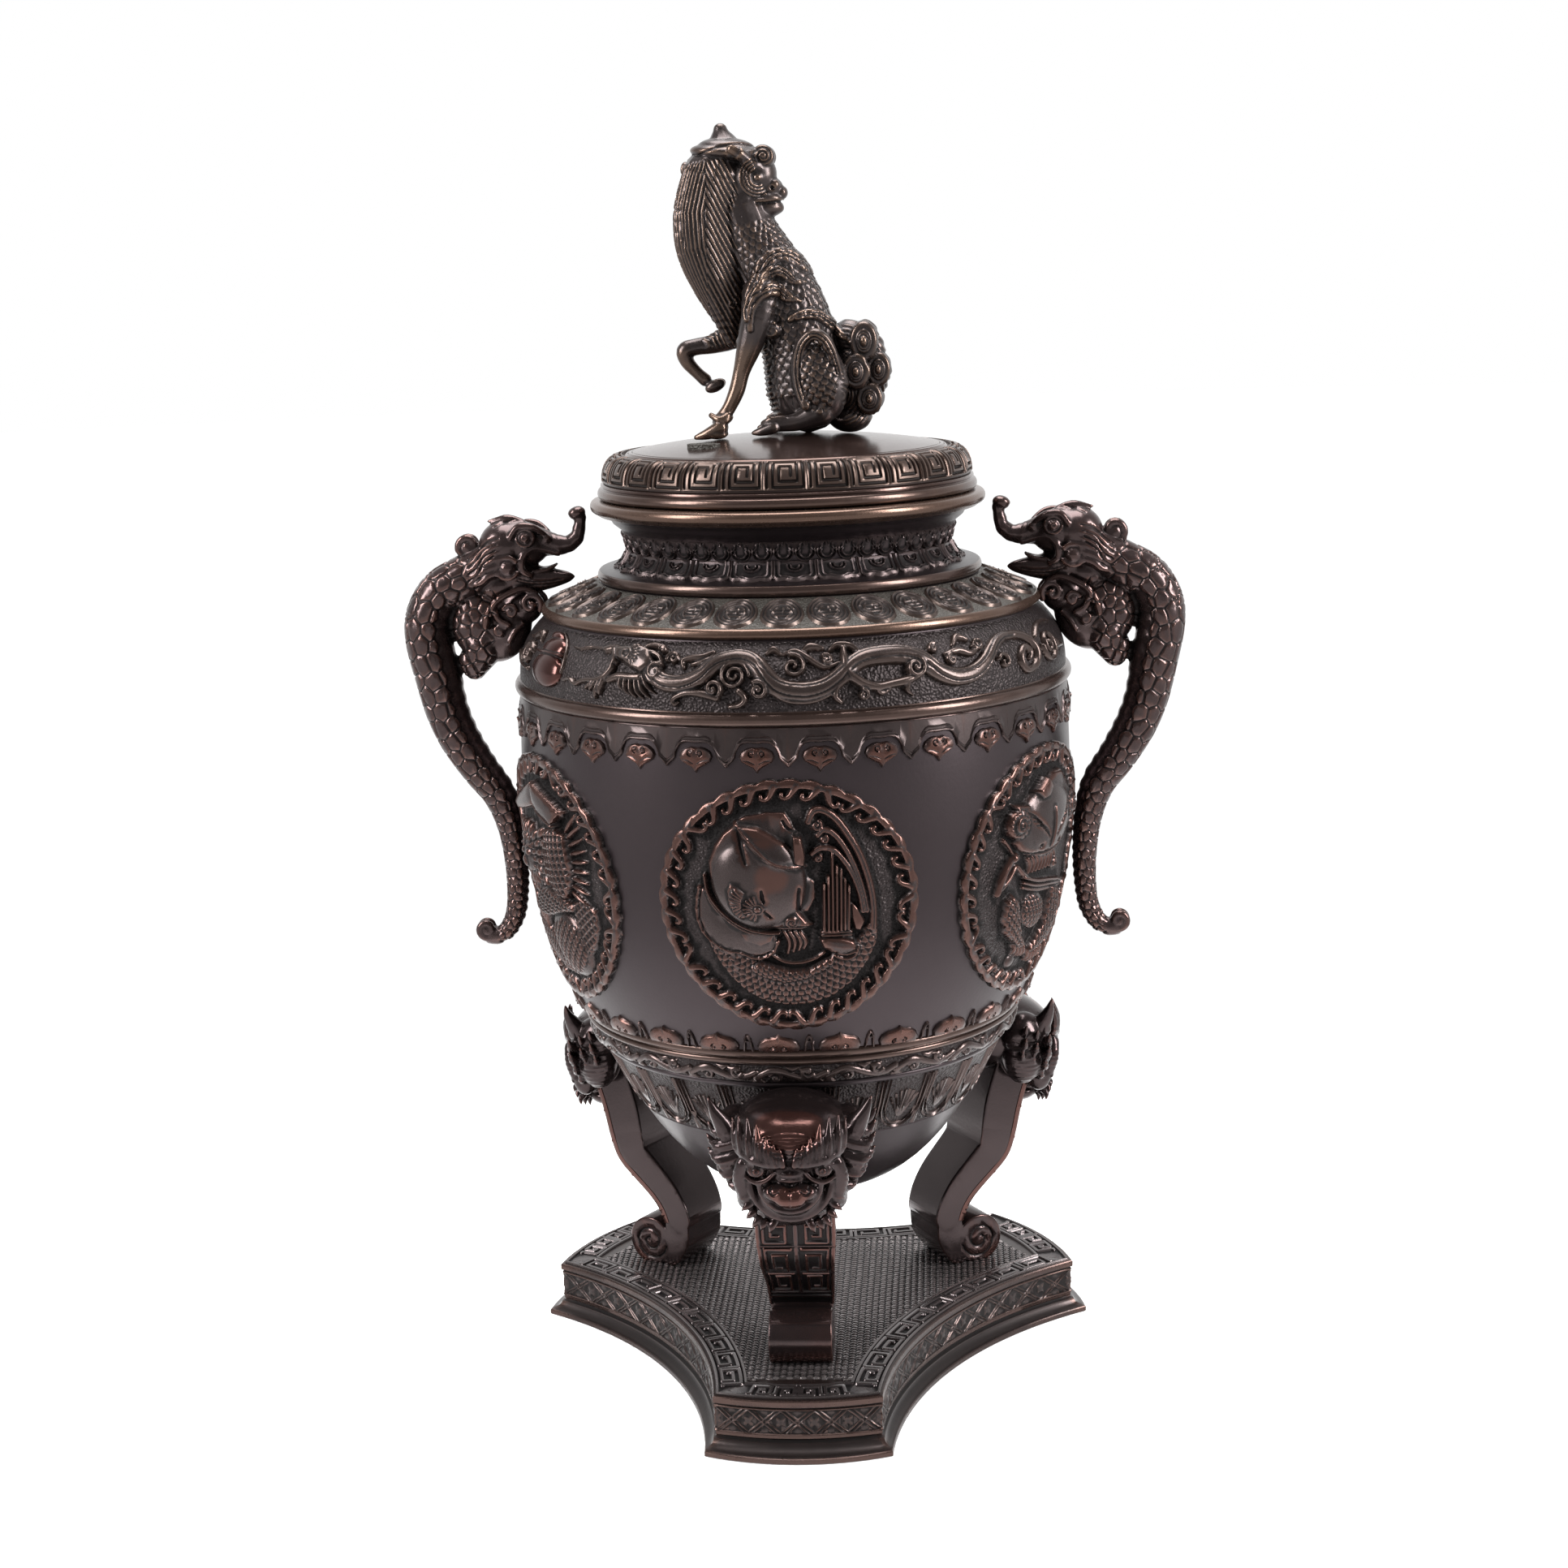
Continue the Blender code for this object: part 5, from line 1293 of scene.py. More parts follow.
def rightFigure(board):
    at, line, boss = drawingTools(board, "right")
    x, y = board["x"], board["y"]
    # scaled legs with claws, and the belly between them
    boss((2.4, 170.4), (8.4, 6.4), 2.5, lean=-30, roundness=0.4)
    belly = at([(-7, 176), (0, 177), (8, 173), (8.4, 167), (2, 163.8), (-4, 166.4)])
    texture(board, belly, 0.8 * (scaleRelief(-y, x, 1.9, 1.9) - 0.5))
    for outline, lean in ((at([(-17.6, 178), (-14, 180), (-10.4, 177.4), (-7.6, 170), (-5, 164.4),
                               (-1, 160.8), (-4, 158),
                               (-10, 161.4), (-15.6, 165.6), (-18, 171)]), 0.3),
                          (at([(12, 177.6), (19, 176), (24, 170), (24, 162), (19, 157), (12, 155.6),
                               (5, 154.6), (1, 156.4),
                               (6, 160), (10, 164), (11.4, 171)]), -0.3)):
        plate(board, outline, 2.3, edge=1.5, swell=0.6)
        texture(board, outline, 0.8 * (scaleRelief(-y + lean * x, x + lean * y, 1.9, 2.2) - 0.5))
    for u, v in ((-8, 160.6), (-5.6, 159.6), (-3.2, 159), (-1, 158.6), (3.4, 156), (6.2, 155), (9.2, 154.6),
                 (12.2, 154.8),
                 (15.2, 155.4)):
        line([(u, v, 0.95), (u + 0.9, v - 2.0, 0.85), (u + 0.3, v - 3.6, 0.35)], 2.5)
    boss((-6, 154), (3.4, 2.6), 1.3)
    # hanging sash, collar and bow
    for shift in (0.0, 1.9, 3.6):
        line([(-8, 184 - shift, 0.7), (0, 181.4 - shift * 0.9, 0.85), (10, 179.6 - shift * 0.9, 0.85),
              (24, 176.6 - shift * 0.6, 0.7)], 2.7 - shift * 0.2)
    for k in range(8):
        u = -6.4 + 2.5 * k
        line([(u, 190, 0.9), (u + 1.4, 187.6, 1.05), (u + 0.8, 185 - 0.1 * k, 0.7)], 2.0)
    spiralBoss(board, at([(12, 185)])[0], 1.8, 0, 1.3, 0.5, 2.2)
    # raised arm with its stick
    line([(-21.4, 181, 1.5), (-19.6, 186.6, 1.9), (-16, 191.6, 1.6)], 2.6)
    line([(-20.6, 181.6, 1.3), (-16, 185, 1.3), (-12.6, 188.4, 1.0), (-9, 185.6, 1.2), (-5, 183.2, 1.0)],
         2.0)
    boss((-14.8, 192), (2.3, 1.9), 3.1, lean=30)
    line([(-20.4, 198.8, 0.9), (-18, 196.6, 0.7), (-15.4, 193.4, 0.6)], 2.2)
    # broad head seen from the front
    head = at([(-16.4, 210.2), (-8, 209.4), (-5.8, 213.2), (0.6, 216.8), (4, 215.4), (8, 217), (14, 217.2),
               (19, 213.4),
               (24, 208.4), (28.4, 204), (27, 198), (21, 194), (12, 191.4), (6, 190.2), (0, 189.8),
               (-6, 190.6),
               (-12, 193), (-15.8, 196.6), (-13.6, 203)])
    plate(board, head, 2.2, edge=1.5, swell=0.8)
    boss((5.6, 202), (18, 13.5), 5.0, roundness=0.45)
    line([(3.4, 206, 0.7), (3.4, 199, 0.9), (3.6, 193, 0.7)], 0.7, how="add")
    for side, middle in ((-1, 3.2), (1, 3.8)):
        for k in range(4):
            line([(middle + side * (2.0 + 1.4 * k), 196.6 + 1.2 * k, 0.35),
                  (middle + side * (5 + 1.5 * k), 200.4 + 1.3 * k, 0.5),
                  (middle + side * (9.4 + 1.2 * k), 201.6 + 1.6 * k, 0.35)], -0.55, how="add")
        boss((middle + side * 5.2, 194), (1.2, 0.9), -0.9, how="add")
    for u in (-14.6, 21.4):
        eye = at([(u, 203.2)])[0]
        mound(board, eye, (5.2, 4.9), 4.4, roundness=0.4)
        for a in np.linspace(0, tau, 17)[:-1]:
            mound(board, (eye[0] + 4.5 * cos(a), eye[1] + 4.2 * sin(a)), (0.95, 0.95), 0.7, how="add")
        ridge(board, curl(eye, 3.0, 30, 1.6, 0.5, inner=0.1), 0.7, how="add")
    plate(board, at([(-6.2, 212.6), (0.6, 217), (4, 213.4), (1, 209.4), (-3, 209)]), 4.6, edge=1.2)
    line([(-11, 192.8, 0.4), (-3, 191.4, 0.5), (5, 191.2, 0.5), (14, 193, 0.4)], -0.9, how="add")


def frontRubs(co):
    # the front one's face and cap are worn reddish
    x, z = co[:, 0], co[:, 2]
    face = fade(7.5 - np.hypot(x + 2.5, (z - 196.0) * 1.1), 0, 4.5) * 0.95
    cap = fade(6.0 - np.hypot((x + 5.5) * 0.8, (z - 209.0) * 1.2), 0, 4.0) * 0.8
    return np.maximum(face, cap) * (co[:, 1] < 0)


def makeMedallions():
    k = medallion
    for kind, draw in (("front", frontFigure), ("left", leftFigure), ("right", rightFigure)):
        board = newBoard(k["board"], k["board"], k["step"])
        rimOfCurls(board)
        draw(board)
        board["h"] = np.maximum(board["h"], 0.0) * 1.1 - 0.15
        keep = np.hypot(board["x"], board["y"]) < k["radius"] + 0.7
        azimuth = k[kind]["azimuth"] + np.degrees(k[kind]["middleX"] / k["onRadius"])
        relief = boardObject("medallion_" + kind, board, onBelly(azimuth), k["triangles"], keep=keep,
                             depth=1.3)
        behind = hiddenCopy(relief, "medallion_back_" + kind, bellyRadius, 2 * radians(azimuth) + pi,
                            k["backRelief"],
                            k["backTriangles"])
        if kind == "front":
            addWear(relief, frontRubs)
        for piece in (relief, behind):
            finish(piece, ("medallion", "ground"), sharp=180)
            groundFaces(piece)


def groundFaces(piece):
    # the punched ground between the figures has its own bronze
    mesh = piece.data
    co = coordinates(mesh) / mm
    lift = np.hypot(co[:, 0], co[:, 1]) - bellyRadius(co[:, 2])
    for face in mesh.polygons:
        if all(lift[v] < medallion["groundLift"] for v in face.vertices):
            face.material_index = 1


finishes["medallion"] = bronze("medallions", (0.047, 0.035, 0.034), (0.105, 0.043, 0.030), rub=0.5,
                               gloss=0.27)
makeMedallions()
print("medallions laid")

# Dragon band: a point's x runs round from the front, and its second number is its height on the jar
dragonBand = {
    "azimuth": -90.0, "reach": 126.0, "foot": 247.5, "top": 267.7, "radius": 90.0, "step": 0.34,
    "triangles": 30000, "pearlTriangles": 4000, "backTriangles": 9000, "backRelief": 0.6,
}


def dragonSurface():
    k = dragonBand
    return bandSurface(upTheSide(dragonRadius, k["foot"], k["top"], 14), k["azimuth"], k["radius"],
                       base=-0.15)


def dragonSpot(u, v, length):
    k = dragonBand
    return u, (v - (k["foot"] + k["top"]) / 2) * length / (k["top"] - k["foot"])


def dragonFigure(board, length):
    def spot(u, v):
        return dragonSpot(u, v, length)

    def line(points, height, how="over"):
        wide = 1.28 if how == "over" else 1.0
        ridge(board, smoothLine([(*spot(u, v), half * wide) for u, v, half in points], 4), height * wide,
              how=how)

    def scroll(u, v, radius, start, turns, half, height=1.9):
        ridge(board, curl(spot(u, v), radius * 1.1, start, turns, half * 1.3, inner=0.14, thin=0.75),
              height * 1.25)

    # hind scrolls and flames behind the body
    for u, v, radius, start, turns in ((-12.5, 257.6, 4.4, 0, 2.0), (5.7, 260.0, 3.6, 100, -1.4),
                                       (109.0, 256.8, 5.2, 180, 1.8),
                                       (79.0, 255.4, 2.5, 150, -1.1), (-107.8, 257.4, 4.0, 20, 1.6),
                                       (69.6, 262.0, 2.0, 200, 1.3), (57.6, 258.4, 1.6, 90, 1.2),
                                       (52.2, 262.3, 1.5, 60, 1.2),
                                       (16.2, 261.4, 1.7, 120, -1.2), (-32.9, 262.2, 2.0, 200, -1.3)):
        scroll(u, v, radius, start, turns, 0.62, 1.7)
    for points in ([(-28.7, 259.6, 0.5), (-29.6, 261.6, 0.7), (-26.8, 262.6, 0.9), (-23.0, 263.0, 0.9),
                    (-19.6, 265.0, 0.3)],
                   [(-26.4, 260.6, 0.4), (-22.6, 261.4, 0.8), (-19.4, 263.4, 0.4)],
                   [(2.6, 263.6, 0.4), (6.4, 264.6, 0.8), (10.0, 262.6, 0.9), (15.2, 259.4, 0.7),
                    (20.0, 260.6, 0.4)],
                   [(8.6, 264.2, 0.5), (11.4, 266.0, 1.2), (15.4, 265.2, 0.6)],
                   [(60.0, 262.6, 0.5), (63.0, 265.0, 1.1), (66.6, 263.6, 0.6)],
                   [(55.6, 260.2, 0.5), (60.8, 260.8, 1.0), (66.0, 259.4, 0.9), (71.4, 262.0, 0.5)],
                   [(-2.6, 264.0, 0.4), (-0.4, 265.4, 0.9), (1.8, 263.8, 0.5)],
                   [(101.0, 260.0, 0.6), (106.4, 262.8, 0.8), (114.0, 263.6, 0.7), (122.0, 262.4, 0.3)],
                   [(113.0, 258.4, 0.5), (117.6, 255.6, 0.9), (124.0, 254.6, 0.4)],
                   [(-116.0, 262.4, 0.4), (-109.0, 262.8, 0.9), (-104.0, 264.6, 1.2), (-101.0, 262.2, 0.5)],
                   [(-124.0, 256.6, 0.3), (-117.0, 256.0, 0.8), (-111.6, 254.0, 0.7), (-104.6, 253.4, 0.5)]):
        line(points, 1.6)
    # body from the neck to the curled tail
    body = [(-40.1, 259.1, 1.9), (-36.5, 256.1, 1.9), (-32.9, 255.2, 1.9), (-28.7, 255.3, 1.9),
            (-25.1, 256.3, 1.9),
            (-22.1, 257.9, 1.9), (-19.7, 260.2, 1.9), (-16.7, 262.0, 1.9), (-12.5, 262.9, 1.9),
            (-8.9, 262.6, 2.0),
            (-5.9, 261.0, 2.1), (-3.5, 258.2, 2.2), (-1.1, 255.6, 2.2), (2.0, 253.9, 2.1), (6.0, 253.1, 2.1),
            (10.4, 253.0, 2.1), (15.0, 254.0, 2.0), (19.2, 256.2, 2.0), (22.4, 258.6, 2.0),
            (25.4, 260.5, 2.0),
            (29.0, 261.6, 2.1), (34.2, 262.0, 2.2), (40.2, 261.7, 2.2), (45.0, 260.5, 2.1),
            (48.6, 258.4, 2.1),
            (51.6, 255.9, 2.0), (55.8, 254.1, 2.0), (60.0, 253.5, 1.9), (65.4, 254.1, 1.9),
            (70.2, 256.2, 1.8),
            (74.0, 258.8, 1.6), (78.0, 261.2, 1.4), (83.0, 262.6, 1.2), (88.0, 262.6, 1.1),
            (93.0, 261.6, 1.1),
            (97.2, 259.4, 1.0), (98.8, 256.2, 1.0), (97.2, 253.2, 1.0), (93.6, 251.7, 0.9),
            (89.8, 252.0, 0.9),
            (87.9, 254.6, 0.9), (89.6, 257.2, 0.9), (92.4, 258.0, 0.9), (94.4, 256.2, 0.8),
            (92.8, 254.8, 0.6)]
    line([(u, v, half * 1.2) for u, v, half in body], 2.4)
    line([(u, v - half * 0.55, 0.3) for u, v, half in body[:34]], -0.5, how="add")
    line([(u, v + half * 0.75, 0.26) for u, v, half in body[:34]], -0.35, how="add")
    # clawed legs and the scrolls that lie over the body
    line([(-17.6, 251.6, 1.0), (-21.5, 252.6, 1.1), (-25.7, 252.9, 0.9), (-29.3, 252.2, 0.8),
          (-31.6, 250.8, 0.7),
          (-30.9, 249.6, 0.6), (-29.8, 250.2, 0.4)], 1.9)
    line([(-10.7, 253.4, 0.9), (-8.8, 251.6, 0.9), (-10.4, 249.7, 0.8), (-13.6, 249.3, 0.6)], 2.2)
    line([(-1.0, 252.6, 0.5), (5.0, 250.4, 0.7), (12.0, 250.5, 0.7), (18.0, 252.8, 0.6), (21.6, 255.2, 0.4)],
         1.5)
    line([(22.2, 266.0, 0.6), (21.8, 262.4, 1.0), (22.2, 258.0, 1.2), (25.6, 254.9, 1.3), (30.6, 253.2, 1.2),
          (35.0, 253.6, 1.1), (40.6, 254.2, 1.2), (45.4, 255.4, 0.7)], 2.3)
    line([(41.0, 254.0, 0.9), (40.4, 251.6, 0.7), (42.4, 250.0, 0.3)], 1.9)
    line([(22.6, 256.0, 0.8), (19.0, 254.0, 0.8), (18.0, 251.4, 0.8), (19.6, 249.8, 0.7)], 1.9)
    line([(31.0, 253.0, 0.9), (32.2, 251.4, 0.7), (35.0, 252.4, 0.5)], 1.7)
    line([(17.6, 264.4, 0.5), (20.0, 265.9, 0.8), (24.4, 265.2, 0.9), (27.0, 262.8, 0.5)], 2.0)
    for u, v, radius, start, turns, half in ((-18.5, 254.0, 2.3, -40, 1.3, 0.7),
                                             (-4.9, 253.6, 2.5, 120, -1.5, 0.75),
                                             (43.8, 257.4, 2.9, 60, -1.6, 0.8),
                                             (26.4, 251.4, 1.5, 90, -1.2, 0.6),
                                             (-37.8, 258.0, 2.4, 60, 1.4, 0.75)):
        scroll(u, v, radius, start, turns, half, 2.6)
        mound(board, spot(u, v), (radius * 0.42, radius * 0.42), 3.0)
    # mane and beard locks
    for root, tip, half in (((-50.3, 255.6), (-49.0, 252.4), 0.6), ((-48.6, 255.4), (-46.8, 251.4), 0.6),
                            ((-46.6, 255.3), (-44.4, 250.8), 0.65), ((-44.8, 255.5), (-41.8, 250.6), 0.65),
                            ((-43.4, 256.0), (-39.6, 250.9), 0.65), ((-42.4, 257.0), (-37.6, 252.2), 0.6),
                            ((-41.8, 258.0), (-35.6, 253.6), 0.6), ((-57.4, 254.6), (-58.6, 250.6), 0.6),
                            ((-58.8, 254.4), (-60.4, 249.4), 0.55), ((-60.4, 254.0), (-62.6, 251.4), 0.5),
                            ((-61.6, 254.0), (-65.0, 251.6), 0.4)):
        middle = ((root[0] + tip[0]) / 2 - 0.5, (root[1] + tip[1]) / 2 - 0.3)
        line([(*root, half), (*middle, half * 1.15), (*tip, 0.18)], 1.9)
    for points in ([(-45.4, 263.4, 0.7), (-42.4, 265.4, 0.9), (-38.6, 265.6, 0.7), (-36.6, 264.2, 0.4)],
                   [(-44.6, 262.0, 0.7), (-41.4, 263.4, 0.9), (-38.0, 262.4, 0.7), (-36.2, 260.2, 0.4)],
                   [(-44.0, 260.6, 0.7), (-41.0, 261.0, 0.9), (-38.4, 259.4, 0.6)]):
        line(points, 2.2)
    scroll(-37.4, 264.6, 1.2, 180, -1.1, 0.45, 2.0)
    # whiskers, snout, jaws and eye
    line([(-77.3, 263.2, 0.25), (-74.9, 263.1, 0.3), (-72.5, 262.9, 0.4), (-69.5, 263.6, 0.45),
          (-66.5, 264.0, 0.35),
          (-62.3, 264.0, 0.4), (-58.0, 264.4, 0.5)], 1.1)
    line([(-56.2, 263.4, 0.9), (-54.5, 260.8, 1.0), (-54.9, 257.9, 1.0), (-57.5, 255.6, 0.95),
          (-61.1, 254.5, 0.8),
          (-64.7, 254.3, 0.7), (-67.7, 253.7, 0.6), (-70.4, 252.7, 0.6), (-73.4, 253.8, 0.5),
          (-77.3, 253.0, 0.3)], 1.9)
    plate(board, [spot(u, v) for u,
                  v in ((-63, 263.4), (-60, 265.3), (-56, 265.6), (-52, 264.6), (-49.6, 262.6),
                        (-53.6, 262.4),
                                          (-57, 263.2), (-60, 262.4))], 1.7, edge=0.8)
    plate(board, [spot(u, v) for u,
                  v in ((-56, 264.2), (-50, 264.9), (-46, 265.7), (-41.6, 264.4), (-39.4, 261.6),
                                          (-39.6, 258.8), (-43, 257.2), (-47, 258.4), (-50.4, 259.8),
                                          (-54, 261.0))], 2.9,
          edge=1.0, swell=0.3)
    line([(-55.4, 254.9, 0.8), (-51.8, 256.2, 1.1), (-47.4, 256.3, 1.1), (-43.4, 256.4, 1.3)], 2.0)
    line([(-54.0, 259.3, 0.4), (-50.0, 258.3, 0.7), (-45.6, 257.5, 0.4)], -1.3, how="add")
    line([(-88.6, 266.8, 0.3), (-83.4, 264.6, 0.4), (-79.6, 260.6, 0.4), (-78.8, 256.4, 0.4),
          (-80.6, 252.2, 0.3)], 0.9)
    eye = spot(-49.1, 262.0)
    mound(board, eye, (1.1, 1.0), 3.9)
    ridge(board, oval(eye, 1.6, 1.5, 0.32), 0.5, how="add")
    fanRibs(board, eye, 2.3, 4.6, -50, 60, 8, 0.32, 0.5)


def pearlFigure(board, length):
    # a two-lobed gourd lying by the dragon's whiskers
    def spot(u, v):
        return dragonSpot(u, v, length)

    mound(board, spot(-88.6, 255.0), (9.8, 5.8), 3.3, lean=-2, roundness=0.42)
    mound(board, spot(-88.4, 261.4), (7.6, 3.9), 2.7, lean=4, roundness=0.42)
    mound(board, spot(-90.6, 265.0), (4.6, 2.0), 2.2, lean=-6)
    ridge(board, [(*spot(-96.6, 259.4), 0.4), (*spot(-80.6, 259.6), 0.4)], 3.0)


def makeDragonBand():
    k = dragonBand
    surface = dragonSurface()
    for name, draw, triangles, finishName in (("dragon_band", dragonFigure, k["triangles"], "dragon"),
                                              ("dragon_pearl", pearlFigure, k["pearlTriangles"], "pearl")):
        board = newBoard(2 * k["reach"], surface.length, k["step"])
        draw(board, surface.length)
        relief = boardObject(name, board, surface, triangles, keep=standing(board), depth=0.9)
        behind = hiddenCopy(relief, name + "_back", dragonRadius, 0.0, k["backRelief"], k["backTriangles"])
        for piece in (relief, behind):
            finish(piece, finishName, sharp=180)


finishes["dragon"] = bronze("dragon relief", (0.050, 0.038, 0.036), (0.086, 0.058, 0.048), rub=0.45,
                            gloss=0.28)
finishes["pearl"] = bronze("rubbed gourd", (0.055, 0.025, 0.022), (0.10, 0.040, 0.032), rub=0.4, gloss=0.2)
makeDragonBand()
print("dragon band laid")

# Lid: spun, with a key fret cut into its shoulder
lid = {
    "topZ": 327.4, "crown": 5.2, "topRadius": 55.8, "edgeZ": 322.2, "fretRadius": 63.0, "fretZ": 313.4,
    "seatZ": 307.4, "flangeRadius": 50.9, "wall": 2.6, "units": 28, "firstUnit": -87.0, "unitRadius": 59.6,
    "unitTriangles": 1250, "groove": 0.75, "steps": 176, "parts": ("lid", "rim", "inside"),
    "tabletAt": (-25.5, -27.0), "tabletHalf": (5.8, 3.8), "tabletTurn": -20.0,
}


def lidTop(r):
    return lid["topZ"] - lid["crown"] * (r / lid["topRadius"]) ** 2


def fretProfile():
    # the rounded shoulder, bottom to top
    points = []
    for share in np.linspace(0, 1, 9):
        turn = share * pi / 2
        points.append((lid["topRadius"] + (lid["fretRadius"] - lid["topRadius"]) * cos(turn) ** 0.8,
                       lid["fretZ"] + (lid["edgeZ"] - lid["fretZ"]) * sin(turn) ** 0.9))
    return points


def lidProfile():
    line = [(r, lidTop(r)) for r in np.linspace(0, 51.6, 14)]
    for middle in (52.3, 53.7):
        line += [(middle - 0.3, lidTop(middle - 0.3)), (middle, lidTop(middle) - 0.4),
                 (middle + 0.3, lidTop(middle + 0.3))]
    line += [(r - 0.6, z - 0.75) for r, z in fretProfile()[::-1]]
    line += [(62.4, 313.2), (62.2, 312.9), (62.9, 312.7), (63.4, 312.3), (63.5, 311.7), (63.1, 311.4),
             (63.3, 311.1)]
    rounded(line, (63.5, 310.9), (63.6, 307.6), 1.05)
    seat, flange, wall = lid["seatZ"], lid["flangeRadius"], lid["wall"]
    line += [(62.6, seat), (flange, seat), (flange, 301.4), (flange - wall, 301.4), (flange - wall, 314.6)]
    return line + [(r, lidTop(r) - wall) for r in (40.0, 20.0, 0.0)]


def lidZone(r, z, normal):
    if z < 311.2 and r > 62.0:
        return "rim"
    return "inside" if normal.z < -0.2 and r < 62 or r < 51 and z < 320 else "lid"


def makeLidBody():
    body = turnedObject("lid_body", lidProfile(), lid["steps"], lid["parts"], lidZone)
    storeWearAndShade(body, strength=0.15)
    finish(body, lid["parts"], "lid", sharp=30)


def makeLidFret():
    surface = bandSurface(fretProfile(), 0)
    pitch = tau * lid["unitRadius"] / lid["units"]
    board = newBoard(pitch, surface.length - 0.2, 0.24)
    board["h"] += 0.12
    half, up = pitch / 2, surface.length / 2
    u, v = half - 1.0, up - 1.0
    path = [(-u, -v), (-u, v), (u, v), (u, -v), (-u + 1.9, -v), (-u + 1.9, v - 1.9), (u - 1.9, v - 1.9),
            (u - 1.9, -v + 1.9), (-u + 3.8, -v + 1.9), (-u + 3.8, v - 3.8), (u - 3.9, v - 3.8),
            (u - 3.9, -v + 3.7)]
    ridge(board, widths(path, 0.5), lid["groove"], how="cut", square=True)
    for side in (-1, 1):
        ridge(board, [(side * half, -up + 0.6, 0.3), (side * half, up - 0.5, 0.3)], 0.3, how="cut",
              square=True)
    unit = boardObject("lid_fret", board, surface, lid["unitTriangles"], depth=0.8)
    finish(turnedCopies("lid_fret", unit, lid["units"], lid["firstUnit"]), "fret")


def makeTablet():
    # the oval plate in front of the finial's hoof
    bm = bmesh.new()
    bmesh.ops.create_circle(bm, cap_ends=True, radius=1.0, segments=48)
    bmesh.ops.scale(bm, vec=(*lid["tabletHalf"], 1), verts=bm.verts)
    face = bm.faces[:]
    top = bmesh.ops.extrude_face_region(bm, geom=face, use_keep_orig=True)
    lifted = [v for v in top["geom"] if isinstance(v, bmesh.types.BMVert)]
    bmesh.ops.translate(bm, vec=(0, 0, 2.0), verts=lifted)
    crown = [f for f in bm.faces if all(v in lifted for v in f.verts)]
    bmesh.ops.inset_region(bm, faces=crown, thickness=0.7, depth=0.0)
    crown = [f for f in crown if f.is_valid]
    bmesh.ops.inset_region(bm, faces=crown, thickness=0.25, depth=-0.3)
    bmesh.ops.recalc_face_normals(bm, faces=bm.faces)
    x, y = lid["tabletAt"]
    turn = Matrix.Rotation(radians(lid["tabletTurn"]), 4, "Z")
    bmesh.ops.transform(bm, matrix=Matrix.Translation((x, y, lidTop(hypot(x, y)) - 0.8)) @ turn,
                        verts=bm.verts)
    tablet = newObject("lid_tablet", bm)
    storeWearAndShade(tablet, strength=0.5)
    finish(tablet, "shoulder")


finishes["lid"] = bronze("polished lid", (0.062, 0.038, 0.033), (0.095, 0.058, 0.044), rub=0.35, gloss=0.2,
                         recessShade=0.9)
finishes["fret"] = bronze("lid fret", (0.062, 0.042, 0.036), (0.090, 0.060, 0.046), rub=0.35, gloss=0.34)
makeLidBody()
makeLidFret()
makeTablet()
print("lid made")

# Plinth: three ends and three hollow sides, key fret round a woven floor, lattice on the sides
plinth = {
    "facings": (-90, 30, 150), "height": 19.8, "reach": 93.0, "endHalf": 27.5, "bulge": 4.2, "waist": 54.5,
    "borderWidth": 10.6, "weave": 2.25, "latticeFoot": 7.4, "latticeTop": 16.8,
}


def arcThrough(start, middle, end, pieces):
    # points of the circle through three points, without the last one
    (ax, ay), (bx, by), (cx, cy) = start, middle, end
    d = 2 * (ax * (by - cy) + bx * (cy - ay) + cx * (ay - by))
    ux = ((ax**2 + ay**2) * (by - cy) + (bx**2 + by**2) * (cy - ay) + (cx**2 + cy**2) * (ay - by)) / d
    uy = ((ax**2 + ay**2) * (cx - bx) + (bx**2 + by**2) * (ax - cx) + (cx**2 + cy**2) * (bx - ax)) / d
    radius = hypot(ax - ux, ay - uy)
    first, half, last = (atan2(y - uy, x - ux) for x, y in (start, middle, end))
    sweep = (last - first) % tau
    if (half - first) % tau > sweep:
        sweep -= tau
    return [(ux + radius * cos(first + sweep * i / pieces), uy + radius * sin(first + sweep * i / pieces))
            for i in range(pieces)]


def turnedPoint(point, degrees):
    c, s = cos(radians(degrees)), sin(radians(degrees))
    return point[0] * c - point[1] * s, point[0] * s + point[1] * c


def plinthSides(spread, facing):
    # one end and the hollow side that follows it, as two runs of points
    k = plinth
    reach, half = k["reach"] + spread, k["endHalf"] + 0.8 * spread
    start, end = turnedPoint((reach, -half), facing), turnedPoint((reach, half), facing)
    bulge = turnedPoint((reach + k["bulge"] + 0.48 * spread, 0.0), facing)
    hollow = turnedPoint((k["waist"] + spread, 0.0), facing + 60)
    following = turnedPoint((reach, -half), facing + 120)
    return arcThrough(start, bulge, end, 24) + [end], arcThrough(end, hollow, following, 56) + [following]


def plinthOutline(spread):
    points = []
    for facing in plinth["facings"]:
        end, hollow = plinthSides(spread, facing)
        points += end[:-1] + hollow[:-1]
    return points


